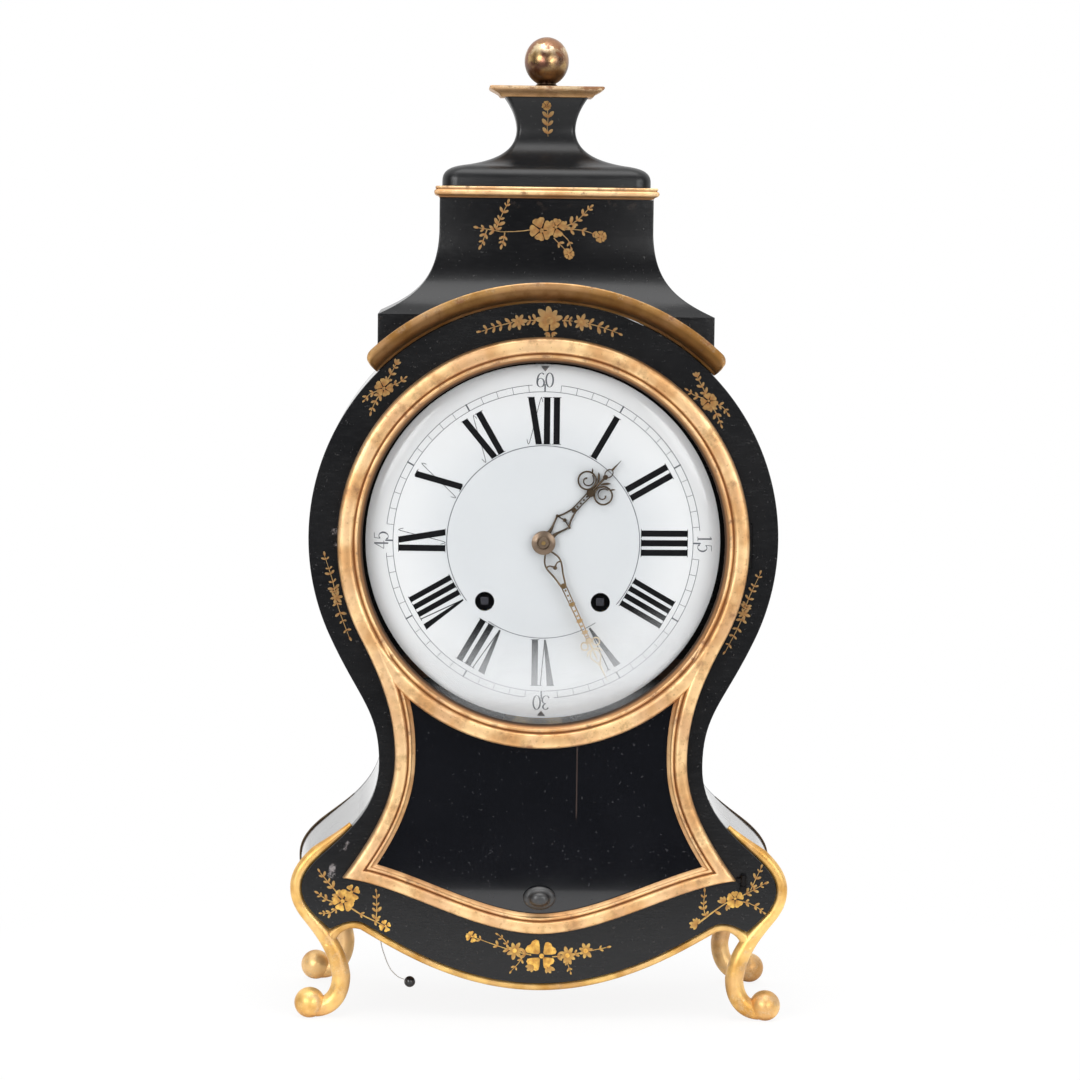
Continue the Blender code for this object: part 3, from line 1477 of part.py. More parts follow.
def barrel(place, phase):
    """A spring barrel with its toothed rim, bored for the winding arbor."""
    core = WINDING_ARBOR + 0.6 * MM
    bore = (core + SEAT) / math.cos(math.pi / 16)
    made = spun(
        [
            (BARREL_RADIUS, BARREL_FRONT),
            (BARREL_RADIUS, BARREL_FLANGE + 1 * MM),
            (bore, BARREL_FLANGE + 1 * MM),
            (bore, BARREL_FRONT),
        ],
        16,
        place,
        ring=True,
    )
    rim = sheet(
        [gear(place, BARREL_TEETH, BARREL_MODULE, phase), circle(place, BARREL_RADIUS / 2, 6, 0.1)],
        BARREL_FLANGE,
        BARREL_FLANGE + 3 * MM,
    )
    return union(made, rim)


def winding_arbor(place):
    """The arbor that the key turns: square in front, ratchet before the front plate, core in the barrel."""
    inner = FRONT_PLATE + PLATE_THICKNESS + SEAT
    outer = BACK_PLATE - SEAT
    pivot = WINDING_ARBOR - 0.6 * MM
    core = WINDING_ARBOR + 0.6 * MM
    made = spun(
        [
            (0, STUD_FRONT + 2 * MM),
            (WINDING_ARBOR, STUD_FRONT + 2 * MM),
            (WINDING_ARBOR, inner),
            (core, inner),
            (core, outer),
            (pivot, outer),
            (pivot, BACK_PLATE + PLATE_THICKNESS),
            (0, BACK_PLATE + PLATE_THICKNESS),
        ],
        8,
        place,
    )
    half = WINDING_SQUARE / 2
    square = [(place[0] + sx * half, place[1] + sz * half) for sx, sz in ((1, 1), (-1, 1), (-1, -1), (1, -1))]
    start = dial_face(math.dist(place, CENTRE)) + DIAL_THICKNESS + 2 * MM
    ratchet = []
    for i in range(14):
        for radius, step in ((8 * MM, 0.0), (6.6 * MM, 0.12)):
            angle = 2 * math.pi * (i + step) / 14
            ratchet.append((place[0] + radius * math.cos(angle), place[1] + radius * math.sin(angle)))
    return union(
        made,
        sheet([square], start, STUD_FRONT + 5 * MM),
        sheet([ratchet], FRONT_PLATE - 4 * MM, FRONT_PLATE - 2 * MM),
    )


going_phase = mesh_phase(INTERMEDIATE, BARREL_PINION, 0.0, GOING, BARREL_TEETH)
part("going_barrel", barrel(GOING, going_phase), BRASS, at(GOING))
part("going_arbor", winding_arbor(GOING), STEEL, at(GOING))
strike_phase = mesh_phase(PIN, BARREL_PINION, 0.0, STRIKE, BARREL_TEETH)
part("strike_barrel", barrel(STRIKE, strike_phase), BRASS, at(STRIKE))
part("strike_arbor", winding_arbor(STRIKE), STEEL, at(STRIKE))

third_phase = mesh_phase(CENTRE, CENTRE_TEETH, CENTRE_PHASE, THIRD, THIRD_PINION)
third_wheel = union(
    arbor(THIRD, PIVOT),
    sheet(
        [gear(THIRD, THIRD_PINION, CENTRE_MODULE, third_phase)],
        CENTRE_WHEEL_FRONT - 1 * MM,
        CENTRE_WHEEL_FRONT + WHEEL + 1.5 * MM,
    ),
    spoked(THIRD, THIRD_TEETH, THIRD_MODULE, 0.0, THIRD_FRONT),
)
part("third_wheel", third_wheel, BRASS, at(THIRD))

escape_phase = mesh_phase(THIRD, THIRD_TEETH, 0.0, ESCAPE, ESCAPE_PINION)
crown = []
for i in range(ESCAPE_TEETH):
    for radius, step in ((ESCAPE_RADIUS, 0.0), (ESCAPE_RADIUS - 2.2 * MM, 0.35)):
        angle = 2 * math.pi * (i + step) / ESCAPE_TEETH
        crown.append((ESCAPE[0] + radius * math.cos(angle), ESCAPE[1] + radius * math.sin(angle)))
escape = union(
    arbor(ESCAPE, ESCAPE_PIVOT, ESCAPE_PIVOT),
    sheet(
        [gear(ESCAPE, ESCAPE_PINION, THIRD_MODULE, escape_phase)],
        THIRD_FRONT - 2 * MM,
        THIRD_FRONT + WHEEL + 2 * MM,
    ),
    sheet(
        [crown],
        ESCAPE_FRONT,
        ESCAPE_FRONT + 1.5 * MM,
    ),
)
part("escape_wheel", escape, BRASS, at(ESCAPE))

# Pallets with the crutch, back cock and pendulum

CRUTCH = BACK_PLATE + PLATE_THICKNESS + 1.5 * MM
COCK = CRUTCH + 1.6 * MM + 2.4 * MM
nib = ESCAPE_RADIUS + 1.3 * MM


def from_escape(angle, radius):
    turn = math.radians(angle)
    return (ESCAPE[0] + radius * math.sin(turn), ESCAPE[1] + radius * math.cos(turn))


right_half = [
    (0, PALLET[1] + 3.4 * MM),
    (3 * MM, PALLET[1] + 2.8 * MM),
    from_escape(40, nib + 4.5 * MM),
    from_escape(54, nib + 3.2 * MM),
    from_escape(60, nib + 0.3 * MM),
    from_escape(51, nib),
    from_escape(45, nib + 2 * MM),
    (3 * MM, PALLET[1] - 2.8 * MM),
    (0, PALLET[1] - 2.6 * MM),
]
anchor = sheet([mirrored(right_half)], ESCAPE_FRONT - 0.5 * MM, ESCAPE_FRONT + 2 * MM)
CRUTCH_DROP = 46 * MM
prong = PENDULUM_ROD + SEAT
pallet_shaft = spun(
    [
        (0, FRONT_PLATE),
        (PIVOT, FRONT_PLATE),
        (PIVOT, COCK + 2 * MM),
        (0, COCK + 2 * MM),
    ],
    10,
    PALLET,
)
crutch = [
    (-2.4 * MM, PALLET[1] + 2.6 * MM),
    (2.4 * MM, PALLET[1] + 2.6 * MM),
    (1.6 * MM, PALLET[1] - 8 * MM),
    (1.6 * MM, PALLET[1] - CRUTCH_DROP + 5 * MM),
    (prong + 1.6 * MM, PALLET[1] - CRUTCH_DROP + 3 * MM),
    (prong + 1.6 * MM, PALLET[1] - CRUTCH_DROP - 2 * MM),
    (-prong - 1.6 * MM, PALLET[1] - CRUTCH_DROP - 2 * MM),
    (-prong - 1.6 * MM, PALLET[1] - CRUTCH_DROP + 3 * MM),
    (-1.6 * MM, PALLET[1] - CRUTCH_DROP + 5 * MM),
    (-1.6 * MM, PALLET[1] - 8 * MM),
]
pallets = union(pallet_shaft, anchor, sheet([crutch], CRUTCH, CRUTCH + 1.6 * MM))
for side in (-1, 1):
    pallets = union(
        pallets,
        block(
            side * (prong + 0.7 * MM) - 0.7 * MM,
            side * (prong + 0.7 * MM) + 0.7 * MM,
            depth(CRUTCH + 0.8 * MM),
            depth(PENDULUM_DEPTH + PENDULUM_ROD + 1 * MM),
            PALLET[1] - CRUTCH_DROP - 1 * MM,
            PALLET[1] - CRUTCH_DROP + 2 * MM,
        ),
    )
part("pallets", pallets, STEEL, at(PALLET))

cock = sheet(
    [
        [
            (-17 * MM, PALLET[1] - 6 * MM),
            (17 * MM, PALLET[1] - 6 * MM),
            (17 * MM, PALLET[1] + 7 * MM),
            (-17 * MM, PALLET[1] + 7 * MM),
        ],
        hole(PALLET, PIVOT + SEAT),
    ],
    COCK,
    COCK + 2.4 * MM,
)
nose_low = PALLET[1] + 2.2 * MM
cock = union(
    cock,
    block(
        -17 * MM,
        -9 * MM,
        depth(BACK_PLATE + PLATE_THICKNESS + SEAT),
        depth(COCK + 1 * MM),
        PALLET[1] - 5 * MM,
        PALLET[1] + 6 * MM,
    ),
    block(
        9 * MM,
        17 * MM,
        depth(BACK_PLATE + PLATE_THICKNESS + SEAT),
        depth(COCK + 1 * MM),
        PALLET[1] - 5 * MM,
        PALLET[1] + 6 * MM,
    ),
    block(
        -4 * MM,
        4 * MM,
        depth(COCK + 1.2 * MM),
        depth(PENDULUM_DEPTH + 2 * MM),
        nose_low,
        PALLET[1] + 6.4 * MM,
    ),
)
part("back_cock", cock, BRASS)

BOB_Z = PALLET[1] - PENDULUM_LENGTH
rod_low = BOB_Z - BOB_RADIUS - 14 * MM
spring = block(
    -2.5 * MM,
    2.5 * MM,
    depth(PENDULUM_DEPTH) - 0.4 * MM,
    depth(PENDULUM_DEPTH) + 0.4 * MM,
    PALLET[1] - 14 * MM,
    nose_low - 1.5 * SEAT,
)
pendulum = union(upright(PENDULUM_ROD, rod_low, PALLET[1] - 10 * MM, 0, depth(PENDULUM_DEPTH)), spring)
part("pendulum_rod", pendulum, STEEL, at(PALLET, PENDULUM_DEPTH))
half_bob = BOB_THICKNESS / 2
bob = spun(
    [
        (0, PENDULUM_DEPTH - half_bob),
        (0.45 * BOB_RADIUS, PENDULUM_DEPTH - 0.86 * half_bob),
        (0.8 * BOB_RADIUS, PENDULUM_DEPTH - 0.5 * half_bob),
        (BOB_RADIUS, PENDULUM_DEPTH - 0.08 * half_bob),
        (BOB_RADIUS, PENDULUM_DEPTH + 0.08 * half_bob),
        (0.8 * BOB_RADIUS, PENDULUM_DEPTH + 0.5 * half_bob),
        (0.45 * BOB_RADIUS, PENDULUM_DEPTH + 0.86 * half_bob),
        (0, PENDULUM_DEPTH + half_bob),
    ],
    18,
    (0, BOB_Z),
)
bob = cut(
    bob,
    upright(PENDULUM_ROD + SEAT, BOB_Z - 2 * BOB_RADIUS, BOB_Z + 2 * BOB_RADIUS, 0, depth(PENDULUM_DEPTH), 10),
)
part("pendulum_bob", bob, BRASS, at(PALLET, PENDULUM_DEPTH))
nut_top = BOB_Z - BOB_RADIUS - SEAT
rating = upright(4 * MM, nut_top - 5 * MM, nut_top, 0, depth(PENDULUM_DEPTH), 12)
rating = cut(
    rating,
    upright(PENDULUM_ROD + SEAT, nut_top - 9 * MM, nut_top + 4 * MM, 0, depth(PENDULUM_DEPTH), 10),
)
part("rating_nut", rating, BRASS, at(PALLET, PENDULUM_DEPTH))

# Motion work under the dial

minute_phase = mesh_phase(CENTRE, CANNON_TEETH, CANNON_PHASE, MINUTE_STUD, MINUTE_TEETH)
minute_wheel = union(
    sheet(
        [gear(MINUTE_STUD, MINUTE_TEETH, CANNON_MODULE, minute_phase)],
        CANNON_FRONT + 1 * MM,
        CANNON_FRONT + 3 * MM,
    ),
    sheet(
        [gear(MINUTE_STUD, MINUTE_PINION, HOUR_MODULE, 0.0)],
        HOUR_WHEEL_FRONT - 1.5 * MM,
        CANNON_FRONT + 2 * MM,
    ),
)
minute_wheel = cut(minute_wheel, rod(STUD + 0.8 * SEAT, STUD_FRONT - 5 * MM, FRONT_PLATE, MINUTE_STUD, 10))
part("minute_wheel", minute_wheel, BRASS, at(MINUTE_STUD, CANNON_FRONT))

hour_phase = mesh_phase(MINUTE_STUD, MINUTE_PINION, 0.0, CENTRE, HOUR_TEETH)
pipe_middle = (HOUR_PIPE + HOUR_PIPE_BORE) / 2
hour_wheel = sheet(
    [gear(CENTRE, HOUR_TEETH, HOUR_MODULE, hour_phase), circle(CENTRE, pipe_middle, 12)],
    HOUR_WHEEL_FRONT,
    HOUR_WHEEL_FRONT + WHEEL,
)
pipe = spun(
    [
        (HOUR_PIPE, HOUR_HAND_DEPTH - 0.4 * MM),
        (HOUR_PIPE, HOUR_WHEEL_FRONT + WHEEL + 1 * MM),
        (HOUR_PIPE_BORE, HOUR_WHEEL_FRONT + WHEEL + 1 * MM),
        (HOUR_PIPE_BORE, HOUR_HAND_DEPTH - 0.4 * MM),
    ],
    12,
    CENTRE,
    ring=True,
)
part("hour_wheel", union(hour_wheel, pipe), BRASS, at(CENTRE, HOUR_WHEEL_FRONT))

# Hands: pierced plates, drawn pointing up and then turned to the time


def strip(points, width, front, back):
    """A thin bar along a line of points of the front view."""
    left = offset(points, width / 2, False)
    right = offset(points, -width / 2, False)
    return sheet([left + list(reversed(right))], front, back)


def ring_plate(centre, radius, width, front, back, count=10):
    return sheet([circle(centre, radius, count), circle(centre, radius - width, count)], front, back)


def up(u, v, length):
    """A point of a hand, in hundredths of its length: u out from the dial's centre and v to its right."""
    return (v / 100 * length, DIAL_Z + u / 100 * length)


def turned_to(shape, angle):
    """Turns a hand clockwise about the centre, seen from the front."""
    shape.data.transform(Matrix.Translation((0, 0, -DIAL_Z)))
    shape.data.transform(Matrix.Rotation(angle, 4, "Y"))
    shape.data.transform(Matrix.Translation((0, 0, DIAL_Z)))
    return shape


def boss(radius, shoulder):
    """Right half of a hand's boss, from its lowest point round to where the shank leaves it."""
    return arc(0, DIAL_Z, radius, -math.pi / 2, shoulder, 7)


def drawn(points, length):
    """Points of a hand, given in hundredths of its length."""
    return [up(u, v, length) for u, v in points]


def slot(low, high, half):
    """A long opening in the shank, between two cross bars."""
    return [(low, half), (high, half), (high, -half), (low, -half)]


def scrolls(shape, place, length, radius, width, front):
    """Adds a ring on each side of the shank, a little thinner than the hand."""
    ease = 0.05 * MM
    for side in (-1, 1):
        middle = up(place[0], side * place[1], length)
        ring = ring_plate(middle, radius, width, front + ease, front + HAND_THICKNESS - ease)
        shape = union(shape, ring)
    return shape


hour_side = [
    (9.02, 4.666), (17.11, 3.888), (25.35, 7.776), (29.55, 5.443), (38.88, 2.644), (57.54, 2.644),
    (60.03, 3.733), (62.83, 2.488), (69.98, 1.866), (76.21, 7.154), (78.07, 6.532), (79.94, 3.421),
    (83.98, 4.199), (88.65, 2.022), (91.76, 1.244), (100, 0),
]
hour_outline = boss(6.6 * MM, math.radians(62)) + drawn(hour_side, HOUR_HAND_LENGTH)
hour_openings = [
    [(13.37, 1.4), (24.57, 3.888), (33.59, 0), (24.57, -3.888), (13.37, -1.4)],
    slot(39.19, 45.41, 1.166),
    slot(47.28, 52.57, 1.166),
    slot(54.43, 57.08, 1.166),
    [(80.25, 0), (83.98, 2.177), (88.02, 0), (83.98, -2.177)],
]
hour_hand = sheet(
    [mirrored(hour_outline), hole(CENTRE, HOUR_PIPE + SEAT, 12)]
    + [drawn(opening, HOUR_HAND_LENGTH) for opening in hour_openings],
    HOUR_HAND_DEPTH,
    HOUR_HAND_DEPTH + HAND_THICKNESS,
)
hour_hand = scrolls(hour_hand, (65.32, 9.953), HOUR_HAND_LENGTH, 5.8 * MM, 1.5 * MM, HOUR_HAND_DEPTH)
hour_angle = math.radians(30 * (HOURS_SHOWN + MINUTES_SHOWN / 60))
part("hour_hand", turned_to(hour_hand, hour_angle), BRONZE, at(CENTRE, HOUR_HAND_DEPTH))

minute_side = [
    (9.195, 3.908), (14.48, 5.402), (19.54, 3.448), (20.69, 2.529), (24.14, 3.908), (31.03, 1.954),
    (70.11, 1.954), (71.26, 2.529), (75.4, 2.529), (77.01, 2.299), (81.61, 3.908), (86.9, 2.069),
    (91.95, 0.9195), (100, 0),
]
minute_outline = boss(6.8 * MM, math.radians(58)) + drawn(minute_side, MINUTE_HAND_LENGTH)
minute_openings = [
    [(9.655, 0), (11.49, 2.759), (14.48, 3.563), (18.39, 0), (14.48, -3.563), (11.49, -2.759)],
    [(22.99, 0), (24.83, 1.954), (28.74, 0), (24.83, -1.954)],
    slot(32.18, 43.68, 0.8621),
    slot(45.06, 55.75, 0.8621),
    slot(57.13, 64.02, 0.8621),
    slot(65.4, 69.77, 0.8621),
    [(77.24, 0), (81.61, 2.299), (87.13, 0), (81.61, -2.299)],
]
minute_hand = sheet(
    [mirrored(minute_outline), hole(CENTRE, MINUTE_ARBOR + SEAT, 10)]
    + [drawn(opening, MINUTE_HAND_LENGTH) for opening in minute_openings],
    MINUTE_HAND_DEPTH,
    MINUTE_HAND_DEPTH + HAND_THICKNESS,
)
minute_hand = scrolls(minute_hand, (73.56, 5.057), MINUTE_HAND_LENGTH, 2.9 * MM, 1.3 * MM, MINUTE_HAND_DEPTH)
minute_angle = math.radians(6 * MINUTES_SHOWN)
part("minute_hand", turned_to(minute_hand, minute_angle), BRONZE, at(CENTRE, MINUTE_HAND_DEPTH))
thread = MINUTE_ARBOR - 0.6 * MM
hand_nut = spun(
    [
        (thread + SEAT, nut_front + SEAT),
        (0.8 * 3.6 * MM, nut_front + SEAT),
        (3.6 * MM, nut_front + 1 * MM),
        (3.6 * MM, MINUTE_HAND_DEPTH - SEAT),
        (thread + SEAT, MINUTE_HAND_DEPTH - SEAT),
    ],
    12,
    CENTRE,
    ring=True,
)
part("hand_nut", hand_nut, BRASS, at(CENTRE, MINUTE_HAND_DEPTH))

# Strike side

pin_wheel = union(
    arbor(PIN),
    spoked(PIN, PIN_TEETH, PIN_MODULE, 0.0, INTERMEDIATE_FRONT),
    sheet([gear(PIN, BARREL_PINION, BARREL_MODULE, 0.0)], BARREL_FLANGE - 2 * MM, BARREL_FLANGE + 5 * MM),
)
pin_ring = PIN_TEETH * PIN_MODULE / 2 - DEDENDUM * PIN_MODULE - 0.8 * MM
for i in range(6):
    angle = 2 * math.pi * i / 6
    place = (PIN[0] + pin_ring * math.cos(angle), PIN[1] + pin_ring * math.sin(angle))
    pin_wheel = union(
        pin_wheel,
        rod(0.7 * MM, INTERMEDIATE_FRONT - 2 * MM, INTERMEDIATE_FRONT + 1 * MM, place, 4),
    )
part("pin_wheel", pin_wheel, BRASS, at(PIN))

fly_phase = mesh_phase(PIN, PIN_TEETH, 0.0, FLY, FLY_PINION)
fly = union(
    arbor(FLY, PIVOT),
    sheet(
        [gear(FLY, FLY_PINION, PIN_MODULE, fly_phase)],
        INTERMEDIATE_FRONT - 1.5 * MM,
        INTERMEDIATE_FRONT + WHEEL + 1.5 * MM,
    ),
    block(
        FLY[0] - 9 * MM,
        FLY[0] + 9 * MM,
        depth(THIRD_FRONT + WHEEL + 2 * MM),
        depth(BARREL_FLANGE + 2 * MM),
        FLY[1] - 0.4 * MM,
        FLY[1] + 0.4 * MM,
    ),
)
part("fly", fly, BRASS, at(FLY))

BELL_Z = DIAL_Z + BELL_RISE
head = (-BELL_RADIUS - 9 * MM, BELL_Z + 5 * MM)
lever = strip(
    [HAMMER, (HAMMER[0] + 1 * MM, HAMMER[1] + 20 * MM), head],
    3.4 * MM,
    BELL_DEPTH - 1 * MM,
    BELL_DEPTH + 1 * MM,
)
pin_way = math.dist(HAMMER, PIN)
tail_share = (pin_way - pin_ring - 1.6 * MM) / pin_way
tail = (HAMMER[0] + (PIN[0] - HAMMER[0]) * tail_share, HAMMER[1] + (PIN[1] - HAMMER[1]) * tail_share)
hammer = union(
    arbor(HAMMER),
    lever,
    rod(4.5 * MM, BELL_DEPTH - 4 * MM, BELL_DEPTH + 4 * MM, head, 14),
    strip([HAMMER, tail], 3 * MM, INTERMEDIATE_FRONT - 2.4 * MM, INTERMEDIATE_FRONT - 0.5 * MM),
)
part("hammer", hammer, STEEL, at(HAMMER))

CROWN_Z = BELL_Z + BELL_HEIGHT
bell_out = [(BELL_POST + SEAT, CROWN_Z)]
bell_out += [
    (BELL_RADIUS * math.sin(a), BELL_Z + BELL_HEIGHT * math.cos(a) ** 0.8) for a in (0.4, 0.8, 1.2)
]
bell_out.append((BELL_RADIUS + 0.6 * MM, BELL_Z))
bell_in = [(max(r - BELL_WALL, BELL_POST + SEAT), max(z - BELL_WALL, BELL_Z)) for r, z in reversed(bell_out)]
bell = turned(bell_out + bell_in, 20, ring=True)
bell.data.transform(Matrix.Translation((0, depth(BELL_DEPTH), 0)))
part("bell", bell, BELL_METAL)
post_foot = (22 * MM, PALLET[1])
post_back = BACK_PLATE + PLATE_THICKNESS + 3 * MM
post_path = [
    (post_foot[0], depth(post_back), post_foot[1]),
    (post_foot[0], depth(post_back), post_foot[1] + 10 * MM),
    (0.8 * post_foot[0], depth(post_back - 6 * MM), post_foot[1] + 14 * MM),
    (0.2 * post_foot[0], depth(BELL_DEPTH + 6 * MM), post_foot[1] + 16 * MM),
    (0, depth(BELL_DEPTH), post_foot[1] + 22 * MM),
    (0, depth(BELL_DEPTH), CROWN_Z + 5 * MM),
]
stand = tube(post_path, [BELL_POST] * len(post_path), 1)
collar_top = CROWN_Z - BELL_WALL - 3 * SEAT
stand = union(
    stand,
    upright(1.9 * BELL_POST, collar_top - 2 * MM, collar_top, 0, depth(BELL_DEPTH), 10),
    block(
        post_foot[0] - 4 * MM,
        post_foot[0] + 4 * MM,
        depth(BACK_PLATE + PLATE_THICKNESS + SEAT),
        depth(BACK_PLATE + PLATE_THICKNESS + 6 * MM),
        post_foot[1] - 5 * MM,
        post_foot[1] + 5 * MM,
    ),
)
stand = union(stand, upright(2.2 * BELL_POST, CROWN_Z + SEAT, CROWN_Z + SEAT + 3 * MM, 0, depth(BELL_DEPTH), 6))
part("bell_stand", stand, STEEL)

# Repeat work: bush, cord with its bead, lever and post

cord_y = depth(CORD_DEPTH)
bush_low = BASE_TOP - BASE_BOARD
bush = union(
    upright(BUSH_RADIUS, bush_low - 1 * MM, BASE_TOP, -CORD_HALF, cord_y, 12),
    upright(1.5 * BUSH_RADIUS, bush_low - SEAT - 1.6 * MM, bush_low - SEAT, -CORD_HALF, cord_y, 12),
)
bush = cut(
    bush,
    upright(CORD_RADIUS + SEAT, bush_low - 9 * MM, BASE_TOP + 5 * MM, -CORD_HALF, cord_y, 8),
)
part("cord_bush", bush, BRASS)

LEVER_Z = BASE_TOP + LEVER_RISE
PIVOT_X = -CORD_HALF + LEVER_ARM
LEVER_HALF = 1.6 * MM
cord_top = LEVER_Z - LEVER_HALF - SEAT
BEAD = (-73.6 * MM, 17 * MM)
route = [
    (-CORD_HALF, cord_top),
    (-CORD_HALF, BASE_TOP - BASE_BOARD - 4 * MM),
    (-90.4 * MM, 39.4 * MM),
    (-87.6 * MM, 30.2 * MM),
    (-84.5 * MM, 23.8 * MM),
    (-80.4 * MM, 19.8 * MM),
]
away = Vector((route[-1][0] - BEAD[0], route[-1][1] - BEAD[1])).normalized() * (BEAD_RADIUS + SEAT)
route.append((BEAD[0] + away.x, BEAD[1] + away.y))


def smooth(points, count):
    """A smooth curve through the points."""
    found = []
    for i in range(1, len(points) - 2):
        p0, p1, p2, p3 = (Vector(p) for p in points[i - 1 : i + 3])
        for step in range(count):
            t = step / count
            found.append(
                0.5
                * (
                    2 * p1
                    + (p2 - p0) * t
                    + (2 * p0 - 5 * p1 + 4 * p2 - p3) * t * t
                    + (3 * p1 - p0 - 3 * p2 + p3) * t**3
                )
            )
    found.append(Vector(points[-2]))
    return found


hanging = [(-CORD_HALF, route[1][1] + 8 * MM)] + route[1:] + [BEAD]
cord_line = [Vector(route[0])] + smooth(hanging, 4)
cord = tube([(p[0], cord_y, p[1]) for p in cord_line], [CORD_RADIUS] * len(cord_line))
PULL = (-CORD_HALF, cord_y, cord_top)
part("repeat_cord", cord, THREAD, PULL)
part("cord_bead", ball(BEAD_RADIUS, (BEAD[0], cord_y, BEAD[1])), BLACK_BEAD, PULL)

LEVER_AXIS = (PIVOT_X, cord_y, LEVER_Z)
lever_thick = 1.5 * MM
arm = [
    (PIVOT_X - LEVER_ARM - 1 * MM, LEVER_Z - LEVER_HALF),
    (PIVOT_X - 4 * MM, LEVER_Z - LEVER_HALF),
    (PIVOT_X, LEVER_Z - 3.4 * MM),
    (PIVOT_X + 4 * MM, LEVER_Z - LEVER_HALF),
    (PIVOT_X + 0.8 * LEVER_ARM, LEVER_Z - LEVER_HALF),
    (PIVOT_X + 0.8 * LEVER_ARM, LEVER_Z + 12 * MM),
    (PIVOT_X + 0.8 * LEVER_ARM - 3.2 * MM, LEVER_Z + 12 * MM),
    (PIVOT_X + 0.8 * LEVER_ARM - 3.2 * MM, LEVER_Z + LEVER_HALF),
    (PIVOT_X + 4 * MM, LEVER_Z + LEVER_HALF),
    (PIVOT_X, LEVER_Z + 3.4 * MM),
    (PIVOT_X - 4 * MM, LEVER_Z + LEVER_HALF),
    (PIVOT_X - LEVER_ARM - 1 * MM, LEVER_Z + LEVER_HALF),
]
lever = sheet([arm, hole((PIVOT_X, LEVER_Z), PIVOT + SEAT)], CORD_DEPTH - lever_thick / 2, CORD_DEPTH + lever_thick / 2)
part("repeat_lever", lever, STEEL, LEVER_AXIS)
post = union(
    block(
        PIVOT_X - 5 * MM,
        PIVOT_X + 5 * MM,
        cord_y + lever_thick / 2 + SEAT,
        cord_y + lever_thick / 2 + 12 * MM,
        BASE_TOP + SEAT,
        BASE_TOP + 2 * MM,
    ),
    block(
        PIVOT_X - 4 * MM,
        PIVOT_X + 4 * MM,
        cord_y + lever_thick / 2 + 2 * SEAT,
        cord_y + lever_thick / 2 + 3 * MM,
        BASE_TOP + 1 * MM,
        LEVER_Z + 4 * MM,
    ),
    rod(PIVOT, CORD_DEPTH - lever_thick / 2 - 2 * MM, CORD_DEPTH + lever_thick / 2 + 2 * MM, (PIVOT_X, LEVER_Z)),
)
part("repeat_post", post, BRASS)

bpy.data.collections.remove(WORKING)
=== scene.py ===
"""Looks of a violin-cased spring clock: lacquered case, gilt mouldings, enamel dial, hands and repeat cord.

Lengths are in millimetres until a point is placed: x across, d behind the face of the front board, z up.
"""

import json
import math

import bmesh
import bpy
from mathutils import Matrix, Vector
from mathutils.geometry import tessellate_polygon

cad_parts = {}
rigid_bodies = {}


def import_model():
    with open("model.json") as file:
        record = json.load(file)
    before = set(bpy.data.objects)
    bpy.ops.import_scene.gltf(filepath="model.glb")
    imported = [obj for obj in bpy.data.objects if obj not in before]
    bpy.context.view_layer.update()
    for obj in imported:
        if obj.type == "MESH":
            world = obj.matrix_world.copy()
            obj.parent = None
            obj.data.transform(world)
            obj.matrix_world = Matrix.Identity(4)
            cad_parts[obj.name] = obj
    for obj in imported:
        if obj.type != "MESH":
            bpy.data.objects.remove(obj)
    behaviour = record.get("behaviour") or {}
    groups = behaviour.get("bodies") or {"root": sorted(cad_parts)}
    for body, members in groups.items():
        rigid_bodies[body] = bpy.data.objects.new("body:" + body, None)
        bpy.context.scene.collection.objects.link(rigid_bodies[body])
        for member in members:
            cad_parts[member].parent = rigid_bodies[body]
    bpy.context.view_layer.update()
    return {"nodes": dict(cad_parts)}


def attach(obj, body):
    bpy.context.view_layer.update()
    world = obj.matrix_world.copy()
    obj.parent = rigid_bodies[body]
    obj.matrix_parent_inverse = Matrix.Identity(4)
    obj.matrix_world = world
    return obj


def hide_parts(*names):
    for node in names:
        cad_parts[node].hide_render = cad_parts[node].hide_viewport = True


for leftover in list(bpy.data.objects):
    bpy.data.objects.remove(leftover)
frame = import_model()

MM = 0.001
FACE = -63.5
DIAL_Z = 274.0
HEAD_Z = 276.5
HEAD_RADIUS = 133.4
DOOR_RADIUS = 117.0
RING_WIDTH = 14.2
RAIL_WIDTH = 11.6
RING_STEPS = 64
WAIST = (92.2, 147)
HIP = (135.7, 76)
HEEL = (119.3, 52)
SHOULDER = (100, 55.3)
APRON_LOW = 21.3
FLARE = 4.2
WALL = 8
BOARD_BACK = 12
REAR_FRONT = 118
REAR_BACK = 126
SEAT = 0.3
KNUCKLE_LOW = DIAL_Z - 12.6
KNUCKLE_HIGH = DIAL_Z + 12.6
HOOD_MIDDLE = 63.0
HOOD_HALF = 95.3
HOOD_SHARE = 62 / HOOD_HALF
HOOD_LIP = 403
HOOD_TOP = 469
ROLL_RADIUS = 88
NUMERAL_FOOT = 55.9
NUMERAL_HEAD = 82.4
MINUTE_NUMBERS = 92.3
HOUR_ANGLE = math.radians(42.875)
MINUTE_ANGLE = math.radians(154.5)
PAINT_LIFT = 0.12
PAINT_SINK = 0.06


def at(x, d, z):
    """A point of the clock in metres."""
    return Vector((x * MM, (FACE + d) * MM, z * MM))


def clamped(value):
    return min(1.0, max(0.0, value))


def linked(name, data):
    """A new object in the scene."""
    made = bpy.data.objects.new(name, data)
    bpy.context.scene.collection.objects.link(made)
    return made


# Camera


